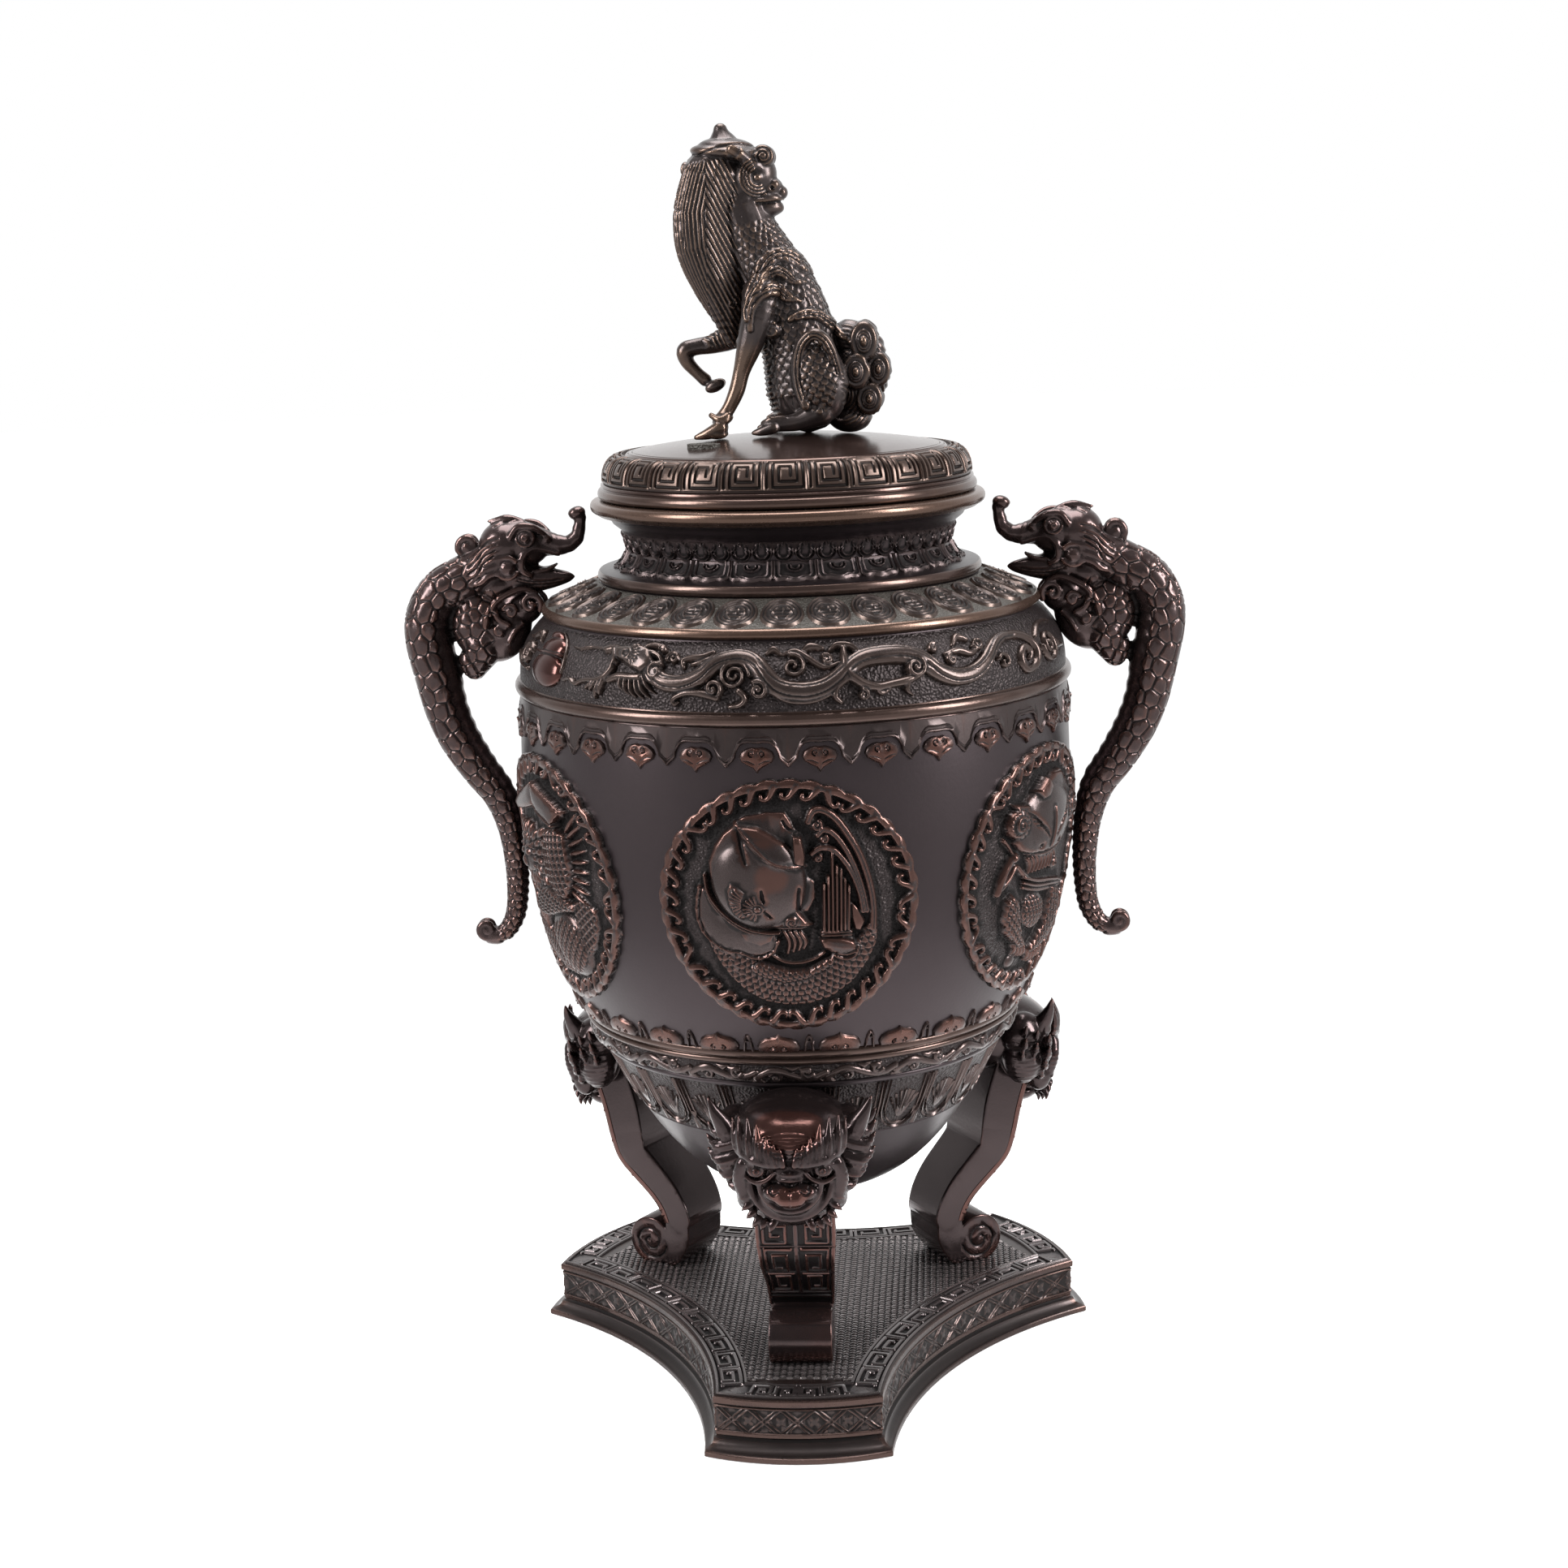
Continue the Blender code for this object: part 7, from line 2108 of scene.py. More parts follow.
def handleMasses():
    clay = []
    rod(clay, handle["body"], 24, 4)
    # rolled end of the tail
    for side in (-1, 1):
        coil(clay, (111.4, side * 1.4, 155.4), 3.4, -120, 1.35, 1.5, 0.8, side)
    # skull, brows, cheeks and eyes
    ball(clay, (92.6, 0, 291.8), (10.0, 7.4, 7.9), lean=10)
    ball(clay, (98.2, 0, 291.4), (8.8, 8.6, 8.6))
    ball(clay, (95.6, 0, 284.6), (6.4, 8.0, 5.4))
    pair(clay, (89.8, 5.6, 294.4), (3.1, 2.5, 2.9))
    rodPair(clay, [(83.6, 4.2, 295.4, 1.0), (87.6, 6.0, 298.0, 1.35), (92.2, 6.6, 298.2, 1.35),
                   (95.0, 7.2, 294.8, 1.1)])
    pair(clay, (89.9, 7.2, 294.4), (1.75, 1.5, 1.75))
    pair(clay, (83.0, 3.6, 293.8), (1.7, 1.5, 1.6))
    pair(clay, (96.3, 7.6, 284.2), (2.7, 2.0, 2.7))
    for side in (-1, 1):
        ring = [(96.4 + 3.9 * cos(a), side * 8.0, 284.4 + 3.7 * sin(a), 0.85)
                for a in np.linspace(-2.6, 2.5, 15)]
        rod(clay, ring, 10, 1)
    # trunk raised in front, with the upper lip folded back to the corner of the mouth
    rod(clay, [(88, 0, 292.6, 5.6), (81.5, 0, 291.4, 4.0), (76.8, 0, 291.2, 3.1), (73.2, 0, 293.4, 2.6),
               (72.0, 0, 297.2, 2.2), (71.4, 0, 300.6, 2.0)], 18)
    ball(clay, (72.6, 0, 302.0), (3.1, 2.9, 2.2), lean=-14)
    rodPair(clay, [(79.6, 2.4, 288.6, 1.2), (84.0, 3.6, 290.0, 1.3), (88.2, 5.4, 290.6, 1.35),
                   (91.2, 6.8, 287.6, 1.3),
                   (91.4, 7.0, 283.6, 1.2), (88.8, 6.0, 281.6, 1.1)])
    # lower jaw, pointed, with a tooth
    rod(clay, [(95, 0, 280.6, 6.0), (88.0, 0, 279.8, 4.8), (82.0, 0, 279.8, 3.5), (77.4, 0, 280.0, 2.1),
               (74.9, 0, 280.1, 0.7)], 18)
    rodPair(clay, [(88.6, 3.9, 282.4, 1.0), (83.6, 2.8, 282.9, 0.9), (80.6, 1.8, 284.4, 0.5)])
    ball(clay, (100.5, 0, 277.6), (7.4, 5.6, 5.4), lean=-10)
    # crest, and the curl behind the neck
    rod(clay, [(92.0, 0, 299.2, 1.4), (96.6, 0, 300.6, 1.5), (100.4, 0, 300.2, 1.1), (103.4, 0, 299.8, 0.5)],
        10)
    ball(clay, (97.0, 0, 299.4), (5.0, 2.2, 1.6), lean=-8)
    for side in (-1, 1):
        coil(clay, (110.6, side * 1.6, 291.6), 4.0, -60, 1.3, 1.35, 0.9, side)
    ball(clay, (110.2, 0, 290.6), (3.6, 3.4, 3.0))
    # locks of the mane behind the cheek
    for reach, z in ((0, 291.0), (1.2, 288.8), (1.8, 286.6), (1.4, 284.2), (-0.6, 281.8)):
        rodPair(clay, [(98.4, 7.4, z + 1.4, 1.3), (102.6, 7.8, z + 0.2, 1.3),
                       (106.4 + reach, 7.4, z - 2.2, 1.1),
                       (109.2 + reach, 6.4, z - 3.2, 0.6)], 10)
    # shoulder that hangs inside the arch, with its curls
    ball(clay, (107.6, 0, 264.0), (10.6, 6.4, 12.8), lean=-14)
    rod(clay, [(107.0, 0, 257, 7.4), (109.6, 0, 252, 5.6), (110.8, 0, 249.0, 4.3)], 18)
    ball(clay, (100.2, 0, 262.4), (9.4, 6.6, 12.0), lean=30)
    ball(clay, (111.4, 0, 251.6), (5.0, 5.4, 5.2))
    ball(clay, (93.2, 0, 270.4), (7.4, 5.4, 6.6), lean=-10)
    for side in (-1, 1):
        coil(clay, (89.4, side * 4.6, 271.4), 3.9, 210, -1.25, 1.25, 1.2, side)
        rod(clay, [(87.6, side * 4.4, 275.0, 1.1), (91.6, side * 5.6, 276.8, 1.2),
                   (96.0, side * 6.6, 275.6, 1.2),
                   (100.6, side * 7.2, 273.0, 1.3), (104.0, side * 7.2, 268.6, 1.3),
                   (105.2, side * 7.0, 263.8, 0.9)], 10)
        coil(clay, (96.2, side * 6.4, 269.2), 2.6, 20, 1.3, 0.9, 0.8, side)
        rod(clay, [(97.0, side * 6.6, 264.6, 1.0), (100.4, side * 7.0, 266.6, 1.1),
                   (101.6, side * 7.0, 271.0, 0.9)], 10)
        coil(clay, (100.2, side * 6.6, 262.4), 2.2, 150, -1.2, 0.8, 0.8, side)
        rod(clay, [(92.6, side * 4.6, 264.6, 0.9), (95.2, side * 5.8, 262.2, 1.0),
                   (97.2, side * 6.2, 258.6, 0.7)], 10)
    return clay


def scutes(along, across, jitter=0.24):
    # rounded plates, 1 in the middle of each and 0 in the joints; one plate per unit both ways
    nearest = np.full(along.shape, 9.0)
    second = np.full(along.shape, 9.0)
    row = np.floor(along)
    for i in (-1, 0, 1):
        r = row + i
        column = np.floor(across - 0.5 * (r % 2))
        for j in (-1, 0, 1):
            c = column + j
            wobble = np.sin(r * 12.99 + c * 78.23) * 43758.5
            u = r + 0.5 + jitter * ((wobble % 1) * 2 - 1)
            v = c + 0.5 + 0.5 * (r % 2) + jitter * ((wobble * 7.3 % 1) * 2 - 1)
            gap = np.hypot((along - u) * 0.92, across - v)
            second = np.minimum(second, np.maximum(gap, nearest))
            nearest = np.minimum(nearest, gap)
    return fade(second - nearest, 0.0, 0.2)


def handleSkin(obj):
    k = handle
    skin = skinOf(obj)
    x, y, z = skin["co"].T
    path = smoothLine(k["body"], 4)
    length, gap, turn = nearPath(skin["co"], path)
    steps = np.linalg.norm(np.diff(path[:, :3], axis=0), axis=1)
    reached = np.concatenate([[0.0], np.cumsum(steps)])
    girth = np.concatenate([[0.0], np.cumsum(steps / np.interp(reached[1:], reached, path[:, 3]))])
    radius = np.interp(length, reached, path[:, 3])
    units = np.interp(length, reached, girth) * k["round"] / tau
    onBody = fade(radius + 1.9 - gap, 0, 1.0) * fade(length, 12.5, 15.5) * fade(reached[-1] - length, 2.0,
                                                                                5.0)
    head = fade(107.8 - x, 0, 1.5) * fade(z - 276.5, 0, 1.0)
    onBody *= 1 - head
    inWing = fade(118.0 - x, 0, 1) * fade(277.0 - z, 0, 1.0) * fade(z - 243, 0, 1) * (gap > radius + 0.8)
    onBody *= 1 - inWing
    edge = 1.95 + 0.16 * np.abs(np.sin(units * pi))
    back = fade(edge - np.abs(turn), 0.0, 0.10)
    under = fade(length, 24, 30) * (1 - back)
    plates = scutes(units, turn * k["round"] / tau + 0.5)
    skin["lift"] += onBody * (1 - under) * (plates - 0.62) * 0.6
    ribs = 0.5 + 0.5 * np.cos(units * tau)
    skin["lift"] -= onBody * under * (0.85 + 0.35 * (1 - ribs))
    shoulder = inWing * (np.abs(y) > 2.0) * fade(x + (z - 262) * 0.12, 100.5, 103.5)
    along, across = (x * 0.35 + z * 0.94) / k["wingScute"], (x * 0.94 - z * 0.35) / k["wingScute"]
    skin["lift"] += shoulder * (scutes(along, across) - 0.62) * 0.65
    # head: rings of the eye, wrinkles of the trunk, lines of the crest, locks and jaw
    sideLine(skin, oval((89.9, 294.4), 2.9, 2.8, 0.42, 25), 0.5)
    sideLine(skin, [(90.0, 294.5, 0.5), (90.1, 294.5, 0.5)], 0.4, groove=True)
    onTrunk = fade(82.5 - x, 0, 3) * fade(z - 286.5, 0, 1.0)
    bend = np.arctan2(z - 298.5, x - 81.5)
    skin["lift"] += 0.08 * onTrunk * np.cos(bend * 17)
    for shift in (0.0, 1.3, 2.6, 3.9):
        line = smoothLine([(99.0 + shift * 0.4, 294.6 - shift * 1.5, 0.3),
                           (103.4 + shift * 0.3, 293.4 - shift * 1.9, 0.42),
                           (107.0, 289.8 - shift * 2.0, 0.42), (110.0, 287.6 - shift * 1.9, 0.3)], 4)
        sideLine(skin, line, 0.6, groove=True)
    for shift in (0.0, 1.1):
        sideLine(skin, smoothLine([(78.6, 278.4 + shift, 0.25), (83.6, 277.9 + shift, 0.4),
                                   (89.0, 278.1 + shift, 0.4),
                                   (93.6, 279.6 + shift, 0.25)], 4), 0.4, groove=True)
    sideLine(skin, smoothLine([(94.2, 300.6, 0.3), (97.4, 299.6, 0.4), (100.8, 298.2, 0.3)], 4), 0.5,
             groove=True, facing=0.0)
    return settle(skin)


def makeHandles():
    figure = handleSkin(melted("handle_cast", handleMasses(), handle["voxel"]))
    storeWearAndShade(figure, wide=12, strength=0.55)
    thin(figure, handle["triangles"])
    co = coordinates(figure.data)
    co[:, 0] = np.minimum(co[:, 0], handle["widest"])
    setCoordinates(figure.data, co)
    other = figure.data.copy()
    other.transform(Matrix.Rotation(pi, 4, "Z"))
    left = bpy.data.objects.new("handle_cast_left", other)
    bpy.context.scene.collection.objects.link(left)
    finish(figure, "handle", "handle_right", sharp=180)
    finish(left, "handle", "handle_left", sharp=180)


finishes["handle"] = bronze("handle bronze", (0.058, 0.040, 0.039), (0.120, 0.058, 0.044), rub=0.55,
                            gloss=0.24, mottle=0.6)
makeHandles()
print("handles cast")

# Kirin: seated on the lid, facing left with its head turned back
kirin = {
    "voxel": 0.36, "triangles": 140000, "scale": 2.05, "scaleWidth": 2.8, "strands": 46,
    "trunk": [(8, 0, 341, 14), (6, 0, 355, 13.2), (2.5, 0, 369, 12.5), (-3.5, 0, 382, 11.0),
              (-9.5, 0, 393, 9.8), (-13, 0, 403, 9.0)],
    "mane": [(-21.0, 0, 413, 10.6), (-24, 0, 401, 11.2), (-23.6, 0, 390, 11.2), (-20.8, 0, 379, 9.4),
             (-18, 0, 369, 6.6), (-16.8, 0, 359, 2.4)],
    "rim": [(8.0, 337.0, 1.5), (5.9, 344.0, 1.8), (5.6, 351.0, 2.0), (7.4, 357.4, 2.1), (11.4, 360.6, 2.1),
            (15.4, 358.2, 2.0), (18.2, 351.8, 1.7), (20.6, 341.5, 0.8)],
    "curls": [(27.6, 357.6, 3.9, 1.5), (24.8, 347.6, 3.7, 1.4), (32.2, 348.0, 3.4, 1.5),
              (29.0, 338.4, 3.8, 1.25)],
    "foreleg": [(-6, -9.5, 374, 6.6), (-7.5, -11.5, 366, 5.6), (-10.5, -11.5, 357, 4.3),
                (-13.3, -11.2, 349, 2.9),
                (-15.2, -11, 342.5, 2.7), (-18.2, -11, 336.5, 2.3), (-21.4, -11.2, 332.3, 2.5)],
}


def kirinMasses():
    k = kirin
    clay = []
    rod(clay, k["trunk"])
    rod(clay, k["mane"], 24)
    # head turned back, its face towards +X
    ball(clay, (-11.5, 0.5, 409.5), (9.5, 8.4, 10.6), lean=-12)
    ball(clay, (-6.5, 0, 412.6), (6.2, 6.6, 7.0), lean=-20)
    ball(clay, (-15.8, 0, 420.2), (13.2, 10.4, 3.3), lean=-6)
    ball(clay, (-16.8, 0, 422.0), (9.6, 8.4, 3.4), lean=-4)
    rod(clay, [(-17.6, 0, 421, 6.2), (-18.2, 0, 424.6, 3.9), (-18.6, 0, 427.2, 2.5)])
    ball(clay, (-18.6, 0, 428.0), (2.3, 2.3, 2.1))
    pair(clay, (-4.4, 3.4, 418.8), (4.0, 3.6, 3.8), lean=-30)
    ball(clay, (-5.6, 0, 416.6), (4.6, 5.6, 4.2))
    pair(clay, (-6.3, 5.4, 412.0), (2.1, 1.8, 2.1))
    rodPair(clay, [(-10.5, 5.5, 417.5, 1.5), (-6.8, 6.0, 416.3, 1.2), (-4.2, 4.6, 413.6, 1.0),
                   (-2.2, 2.6, 411.6, 0.9)])
    rodPair(clay, [(-8.2, 6.4, 415.8, 2.2), (-10.4, 8.8, 418.4, 2.1), (-12.6, 10.6, 420.2, 2.0),
                   (-14.0, 11.4, 421.0, 2.0)])
    ball(clay, (-2.6, 0, 408.4), (4.4, 4.6, 3.9))
    pair(clay, (-1.2, 2.7, 409.4), (2.1, 1.9, 2.0))
    ball(clay, (1.4, 0, 406.9), (1.9, 2.9, 2.2))
    ball(clay, (-4.0, 0, 405.2), (6.0, 5.7, 2.8), lean=-3)
    ball(clay, (-5.4, 0, 401.9), (7.2, 5.2, 3.5), lean=4)
    ball(clay, (-0.4, 0, 401.9), (2.3, 3.1, 1.9), lean=8)
    ball(clay, (-10.2, 0, 402.4), (4.8, 6.8, 4.4), lean=-6)
    rodPair(clay, [(-9.5, 6.4, 404.5, 1.1), (-4.5, 5.5, 404.5, 0.9), (-0.2, 3.7, 405.0, 0.7)])
    ball(clay, (-31.0, 3.0, 415.8), (1.6, 2.2, 2.3))
    # near foreleg, straight, with its fetlock and cloven hoof
    rod(clay, k["foreleg"])
    rod(clay, [(-18.4, -13.2, 334.4, 1.1), (-21.0, -14.0, 333.2, 1.2), (-24.0, -12.0, 334.6, 1.0)], 10)
    ball(clay, (-20.2, -11.2, 332.2), (4.0, 3.9, 1.5), lean=28)
    for side in (-1, 1):
        rod(clay, [(-21.0, -11.2 + side * 1.9, 330.4, 2.6), (-25.0, -11.3 + side * 1.7, 328.6, 2.0),
                 (-29.3, -11.3 + side * 1.1, 327.4, 0.9)], 12)
        ball(clay, (-22.2, -11.2 + side * 1.9, 328.2), (3.6, 2.3, 1.6))
    # far foreleg, raised and bent
    rod(clay, [(-8, 8.5, 369, 7.0), (-16, 8.5, 361, 5.0), (-24, 8.5, 357.6, 3.4), (-30, 8.5, 356.7, 2.9),
             (-33.9, 8.5, 355.4, 3.1), (-33.4, 8.5, 351.8, 2.5), (-30.2, 8.5, 348.0, 2.1),
             (-27.4, 8.5, 345.4, 2.3)])
    for side in (-1, 1):
        ball(clay, (-24.0, 8.5 + side * 1.6, 343.4), (3.7, 1.9, 2.1), lean=24)
    # haunches and hind feet
    pair(clay, (12.6, 12.6, 345.6), (9.2, 6.4, 14.2), lean=12)
    for side in (-1, 1):
        rod(clay, [(13, 13 * side, 335, 5.0), (5, 13.6 * side, 331.8, 3.1), (-2.6, 13.6 * side, 331.2, 2.6)])
        rod(clay, [(0.5, 14.6 * side, 333.0, 1.3), (-3.5, 15.4 * side, 332.8, 1.3),
                   (-6.5, 14.0 * side, 331.6, 1.0)], 10)
        for toe in (-1, 1):
            rod(clay, [(-3.0, 13.5 * side + toe * 1.8, 330.2, 2.2),
                       (-7.0, 13.4 * side + toe * 1.5, 329.0, 1.6),
                     (-9.8, 13.3 * side + toe, 328.5, 0.8)], 12)
    # haunch's rim and the spiral at the elbow
    for side in (-1, 1):
        path = [(x, side * (18.4 - 0.055 * (x - 12.5)**2), z, r) for x, z, r in k["rim"]]
        rod(clay, path, 12)
        coil(clay, (-2.6, side * 13.4, 362.0), 2.5, 70, side * -1.4, 0.72, 0.9, side)
        ball(clay, (-2.6, side * 12.2, 362.0), (2.8, 1.9, 2.8))
    # tail: a bushy cloud of curls
    ball(clay, (24.0, 1.5, 344), (8.0, 10.0, 15.5))
    ball(clay, (22.6, 1.5, 358.5), (6.4, 8.0, 6.2))
    ball(clay, (22, 2.5, 332), (7.5, 9.6, 5.2))
    for x, z, reach, tall in k["curls"]:
        depth = 11.4 - abs(x - 24) * 0.55
        pair(clay, (x, depth - 2.9, z), (reach + 0.9, 4.2, (reach + 0.4) * tall))
    ball(clay, (31.6, 0, 353.6), (3.0, 6.0, 5.4))
    ball(clay, (33.0, 0, 344.4), (2.2, 5.4, 4.4))
    return clay


def kirinSkin(obj):
    k = kirin
    skin = skinOf(obj)
    x, y, z = skin["co"].T
    length, gap, turn = nearPath(skin["co"], k["trunk"][::-1])
    maneLength, maneGap, maneTurn = nearPath(skin["co"], k["mane"])
    edge = np.where(z < 402, -11.4 + (402 - z) * 0.085, -11.4 - (z - 402) * 0.26)
    onMane = fade(13.0 - maneGap, 0.0, 1.2) * fade(z, 355, 358) * fade(edge - x, -0.7, 0.7)
    onMane *= fade(419.0 - z + (x + 18) * 0.12, 0.0, 1.6)
    onHead = fade(z - 396.5 - (x + 12) * 0.12, 0, 1.5)
    onTrunk = fade(gap, 8.0, 9.5) * fade(16.5 - gap, 0, 1.4) * (1 - onMane) * (1 - onHead)
    legGap = nearPath(skin["co"], k["foreleg"][1:])[1]
    onTrunk *= fade(np.where(y < 0, legGap, 9.0), 4.8, 6.2) * fade(z, 334, 337) * fade(22.0 - x, 2.0, 4.5)
    inHaunch = fade(1.0 - np.hypot((x - 12.8) / 6.4, (z - 346.5) / 12.6), 0.0, 0.08) * (np.abs(y) > 13)
    onTrunk *= 1 - fade(np.abs(y), 15.0, 16.5)
    skin["lift"] += 0.42 * onTrunk * (scaleRelief(length, turn * 11.5, k["scale"], k["scaleWidth"]) - 0.6)
    across = (x - 12.8) * 0.95 + (z - 346) * 0.25
    along = (360 - z) * 0.97 + (x - 12.8) * 0.22
    skin["lift"] += 0.6 * inHaunch * (scaleRelief(along, across, 1.8, 3.1) - 0.5)
    # mane: strands down the back, and combed forward over the neck
    fall = np.cos(maneTurn * k["strands"] + 0.25 * np.sin(maneLength * 0.25))
    comb = np.cos((x * 0.90 + z * 0.44) / 1.5 * tau)
    forward = fade(x + 23.5 - (z - 400) * 0.02, -0.6, 0.6) * (np.abs(skin["normal"][:, 1]) > 0.25)
    strands = np.where(forward > 0.5, comb, fall)
    skin["lift"] += onMane * (0.30 * strands + 0.12 * np.cos(maneTurn * k["strands"] / 5))
    # tail's curls, the hair between them, and the ribs of the chest
    onTail = fade(x, 19.5, 21.5) * fade(z, 328, 331)
    for u, v, reach, tall in k["curls"]:
        away = np.hypot(x - u, (z - v) / tall) / reach
        onTail *= fade(away, 1.0, 1.2)
        seen = fade(np.abs(y), 3.0, 4.5) * fade(1.3 - away, 0.0, 0.1)
        rings = 0.55 * np.exp(-((away - 0.98) / 0.16)**2) - 0.35 * np.exp(-((away - 0.74) / 0.07)**2)
        rings -= 0.3 * np.exp(-((away - 0.54) / 0.06)**2) + 0.3 * np.exp(-((away - 0.36) / 0.06)**2)
        skin["lift"] += seen * (rings + 0.7 * np.clip(1 - (away / 0.3)**2, 0, 1))
    skin["lift"] += 0.18 * onTail * np.cos((np.hypot(x - 20, (z - 340) * 0.8)) / 1.15 * tau)
    onChest = fade(8.5 - np.abs(y), 0, 1.5) * fade(364 - z, 0, 3) * fade(1.0 - x, 0, 2) * fade(x, -14, -11)
    skin["lift"] += 0.28 * onChest * np.cos((z + 0.05 * x**2) / 1.9 * tau)
    flames = (
        [(-10.6, 366.0, 0.9), (-9.6, 372.6, 1.7), (-7.0, 378.2, 2.2), (-4.8, 383.0, 2.3), (-1.8, 386.2, 2.0),
         (2.7, 386.6, 1.8), (6.8, 384.0, 1.5), (11.8, 379.6, 0.4)],
        [(-9.6, 362.6, 0.7), (-9.4, 369.0, 1.4), (-7.0, 373.4, 1.9), (-3.4, 375.6, 2.0), (-0.2, 375.2, 1.8),
         (2.8, 372.8, 1.3), (7.0, 371.3, 0.4)],
        [(-5.6, 378.0, 1.2), (-1.8, 381.2, 1.5), (1.6, 380.6, 1.3), (4.6, 378.0, 1.0), (8.6, 377.2, 0.4)],
        [(3.4, 365.6, 0.8), (8.0, 367.0, 1.3), (12.4, 366.6, 1.3), (16.0, 363.8, 1.2), (19.6, 360.2, 1.0),
         (23.2, 357.4, 0.4)],
    )
    for flame in flames:
        line = smoothLine(flame, 5)
        sideLine(skin, [(u, v, w * 1.3) for u, v, w in line], 1.4)
        edgeLines(skin, line, (-0.42, 0.25), slice(3, -5))
    edgeLines(skin, smoothLine(k["rim"], 5), (-0.45, 0.2), slice(2, -3), where=np.abs(y) > 13)
    # face: rings round the eyes, curls of the brow, nostrils and the cap's fold
    for reach in (2.9, 4.0, 5.1, 6.2):
        sideLine(skin, oval((-6.3, 412.0), reach * 0.92, reach, 0.36, 22, 1.9, 5.2), 0.42, facing=0.1)
    sideLine(skin, curl((-4.2, 418.8), 3.2, 200, -2.0, 0.5), 0.5, groove=True, facing=0.05)
    sideLine(skin, [(-6.4, 411.9, 0.9), (-6.3, 411.9, 0.9)], 0.3, facing=0.1)
    sideLine(skin, [(-1.7, 408.5, 0.75), (-1.4, 408.2, 0.6)], 0.9, groove=True, facing=0.05)
    sideLine(skin, smoothLine([(-7.0, 403.6, 0.3), (-3.6, 403.5, 0.42), (0.2, 403.9, 0.42),
                               (2.8, 404.0, 0.4)], 4), 0.8,
             groove=True, facing=0.0)
    sideLine(skin, curl((-16.0, 371.0), 1.7, 60, -1.3, 0.5), 0.7, where=np.abs(y) > 6)
    sideLine(skin, smoothLine([(-26.0, 419.6, 0.3), (-20.0, 421.8, 0.45), (-13.0, 423.0, 0.4),
                               (-8.0, 422.4, 0.3)], 4),
             0.5, groove=True, facing=0.0)
    sideLine(skin, [(-31.6, 392.6, 0.9), (-31.0, 390.8, 0.9)], 0.5, groove=True)
    return settle(skin)


def kirinWearAndHighlight(co):
    # where hands have worn the bronze golden: the near foreleg and hoof, the haunch's rim, the cap; on the
    # near foreleg and hoof the gold is also a painted highlight
    x, y, z = co.T
    gap = nearPath(co, kirin["foreleg"][2:])[1]
    leg = fade(6.0 - gap, 0.0, 2.0) * fade(362 - z, 0, 10) * (y < -5)
    hoof = fade(-14.0 - x, 0, 3) * fade(340 - z, 0, 3)
    stub = fade(2.3 - np.hypot(np.hypot(x + 12.4, np.abs(y) - 10.4), z - 420.0), 0.0, 0.4)
    raised = fade(356.5 - z, 0, 2) * fade(z - 344, 0, 3) * fade(-20 - x, 0, 3) * 0.35
    return np.maximum(np.maximum(leg * 0.6, hoof * 0.4), np.maximum(stub, raised))


def makeKirin():
    figure = kirinSkin(melted("kirin_cast", kirinMasses(), kirin["voxel"]))
    flatEnd(figure, (-12.4, 10.4, 420.0), (-0.72, 0.56, 0.42), 3.4)
    storeWearAndShade(figure, wide=12, strength=0.7)
    addWear(figure, kirinWearAndHighlight)
    dropFlakes(thin(figure, kirin["triangles"]))
    co = coordinates(figure.data)
    co[:, 2] = np.maximum(co[:, 2], lidTop(np.minimum(np.hypot(co[:, 0], co[:, 1]), 60.0)) - 0.4)
    setCoordinates(figure.data, co)
    finish(figure, "kirin", "kirin", sharp=180)


# the golden rubbed colour on its raised edges is wear, and partly a painted highlight
finishes["kirin"] = bronze("finial bronze", (0.047, 0.037, 0.036), (0.150, 0.094, 0.064), rub=0.58,
                           gloss=0.31)
makeKirin()
print("kirin cast")

# Stage: camera, floor and lights
stage = {
    "cameraAt": (56.4, -896.2, 388.6), "heading": 3.878, "pitch": 11.514, "roll": -1.839, "focal": 3237.0,
    "photoWidth": 1932, "sensor": 36.0, "aim": (0, 0, 0.2),
    "lights": {
        "left light": ((-1.3, -0.7, 0.9), (0.45, 1.1), 37),
        "right light": ((1.4, -0.5, 0.8), (0.40, 1.0), 40),
        "top light": ((0.0, 0.2, 1.6), (1.0, 1.0), 36),
    },
}


def makeCamera():
    heading, pitch, roll = (radians(stage[key]) for key in ("heading", "pitch", "roll"))
    ahead = Vector((-sin(heading) * cos(pitch), cos(heading) * cos(pitch), -sin(pitch)))
    right = Vector((cos(heading), sin(heading), 0))
    up = right.cross(ahead)
    across = right * cos(roll) + up * sin(roll)
    above = up * cos(roll) - right * sin(roll)
    lens = bpy.data.cameras.new("camera")
    lens.sensor_width = stage["sensor"]
    lens.lens = stage["focal"] / stage["photoWidth"] * stage["sensor"]
    lens.clip_start = 0.01
    camera = bpy.data.objects.new("camera", lens)
    bpy.context.scene.collection.objects.link(camera)
    turn = Matrix((across, above, -ahead)).transposed().to_4x4()
    camera.matrix_world = Matrix.Translation(Vector(stage["cameraAt"]) * mm) @ turn
    bpy.context.scene.camera = camera


def makeLights():
    for name, (at, size, power) in stage["lights"].items():
        lamp = bpy.data.lights.new(name, "AREA")
        lamp.shape = "RECTANGLE"
        lamp.size, lamp.size_y = size
        lamp.energy = power
        obj = bpy.data.objects.new(name, lamp)
        bpy.context.scene.collection.objects.link(obj)
        obj.location = at
        obj.rotation_euler = (Vector(stage["aim"]) - Vector(at)).to_track_quat("-Z", "Y").to_euler()


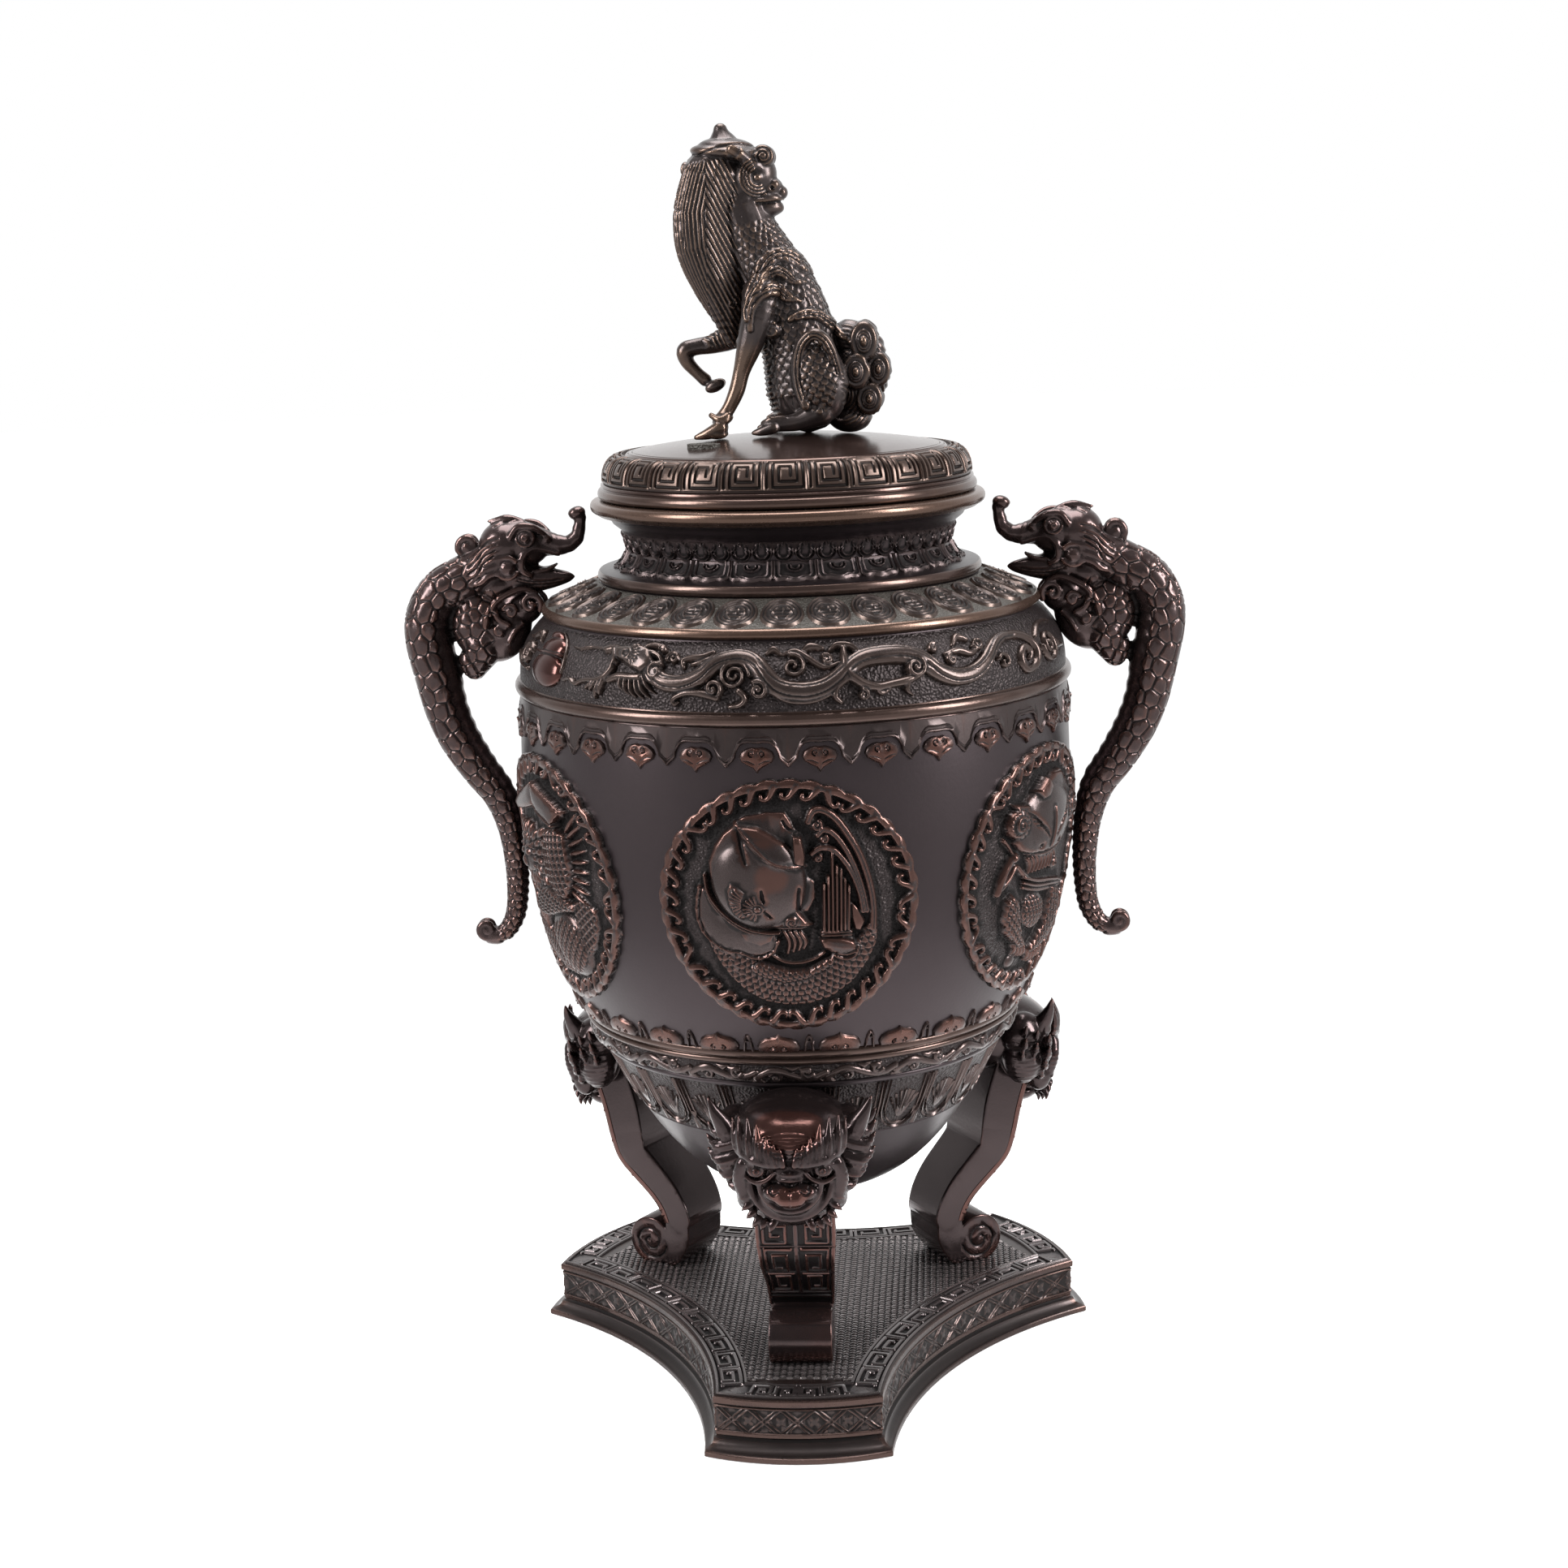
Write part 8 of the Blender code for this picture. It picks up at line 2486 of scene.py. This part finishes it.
def makeFloor():
    bm = bmesh.new()
    bmesh.ops.create_circle(bm, cap_ends=True, radius=6.0, segments=96)
    floor = newObject("floor", bm)
    material = bpy.data.materials.new("pale floor")
    material.use_nodes = True
    tree = material.node_tree
    shader = tree.nodes["Principled BSDF"]
    setInputs(shader, {"Roughness": 0.7, "Specular IOR Level": 0.1, "Emission Strength": 1.0})
    # paper white a little way off, so that only a faint shadow shows round the foot
    where = newNode(tree, "ShaderNodeTexCoord", (-900, 0))
    away = newNode(tree, "ShaderNodeVectorMath", (-700, 0), operation="LENGTH")
    near = newNode(tree, "ShaderNodeMapRange", (-500, 0), interpolation_type="SMOOTHSTEP")
    setInputs(near, {"From Min": 0.10, "From Max": 0.42})
    tree.links.new(where.outputs["Object"], away.inputs[0])
    tree.links.new(away.outputs["Value"], near.inputs["Value"])
    for socket, first, last, at in (("Base Color", 0.9, 0.0, 100), ("Emission Color", 0.30, 1.0, -200)):
        mix = newNode(tree, "ShaderNodeMix", (-250, at), data_type="RGBA")
        setInputs(mix, {"A": (first, first, first, 1), "B": (last, last, last, 1)})
        tree.links.new(near.outputs["Result"], mix.inputs["Factor"])
        tree.links.new(mix.outputs["Result"], shader.inputs[socket])
    floor.data.materials.append(material)


def makeWorld():
    world = bpy.data.worlds.new("studio")
    world.use_nodes = True
    # white where it is seen, and in reflections bright behind the piece and dim in front of it
    tree = world.node_tree
    back = tree.nodes["Background"]
    setInputs(back, {"Color": (1, 1, 1, 1)})
    seen = newNode(tree, "ShaderNodeLightPath", (-700, 200))
    where = newNode(tree, "ShaderNodeTexCoord", (-900, 0))
    parts = newNode(tree, "ShaderNodeSeparateXYZ", (-700, 0))
    dim = newNode(tree, "ShaderNodeMapRange", (-500, 0), interpolation_type="SMOOTHSTEP")
    setInputs(dim, {"From Min": -0.1, "From Max": 0.75, "To Min": 0.24, "To Max": 1.15})
    mix = newNode(tree, "ShaderNodeMix", (-250, 0), data_type="FLOAT")
    mix.inputs["B"].default_value = 1.0
    tree.links.new(where.outputs["Generated"], parts.inputs["Vector"])
    tree.links.new(parts.outputs["Y"], dim.inputs["Value"])
    tree.links.new(seen.outputs["Is Camera Ray"], mix.inputs["Factor"])
    tree.links.new(dim.outputs["Result"], mix.inputs["A"])
    tree.links.new(mix.outputs["Result"], back.inputs["Strength"])
    bpy.context.scene.world = world
    bpy.context.scene.view_settings.view_transform = "Standard"


makeCamera()
makeFloor()
makeWorld()
makeLights()
print("stage set")
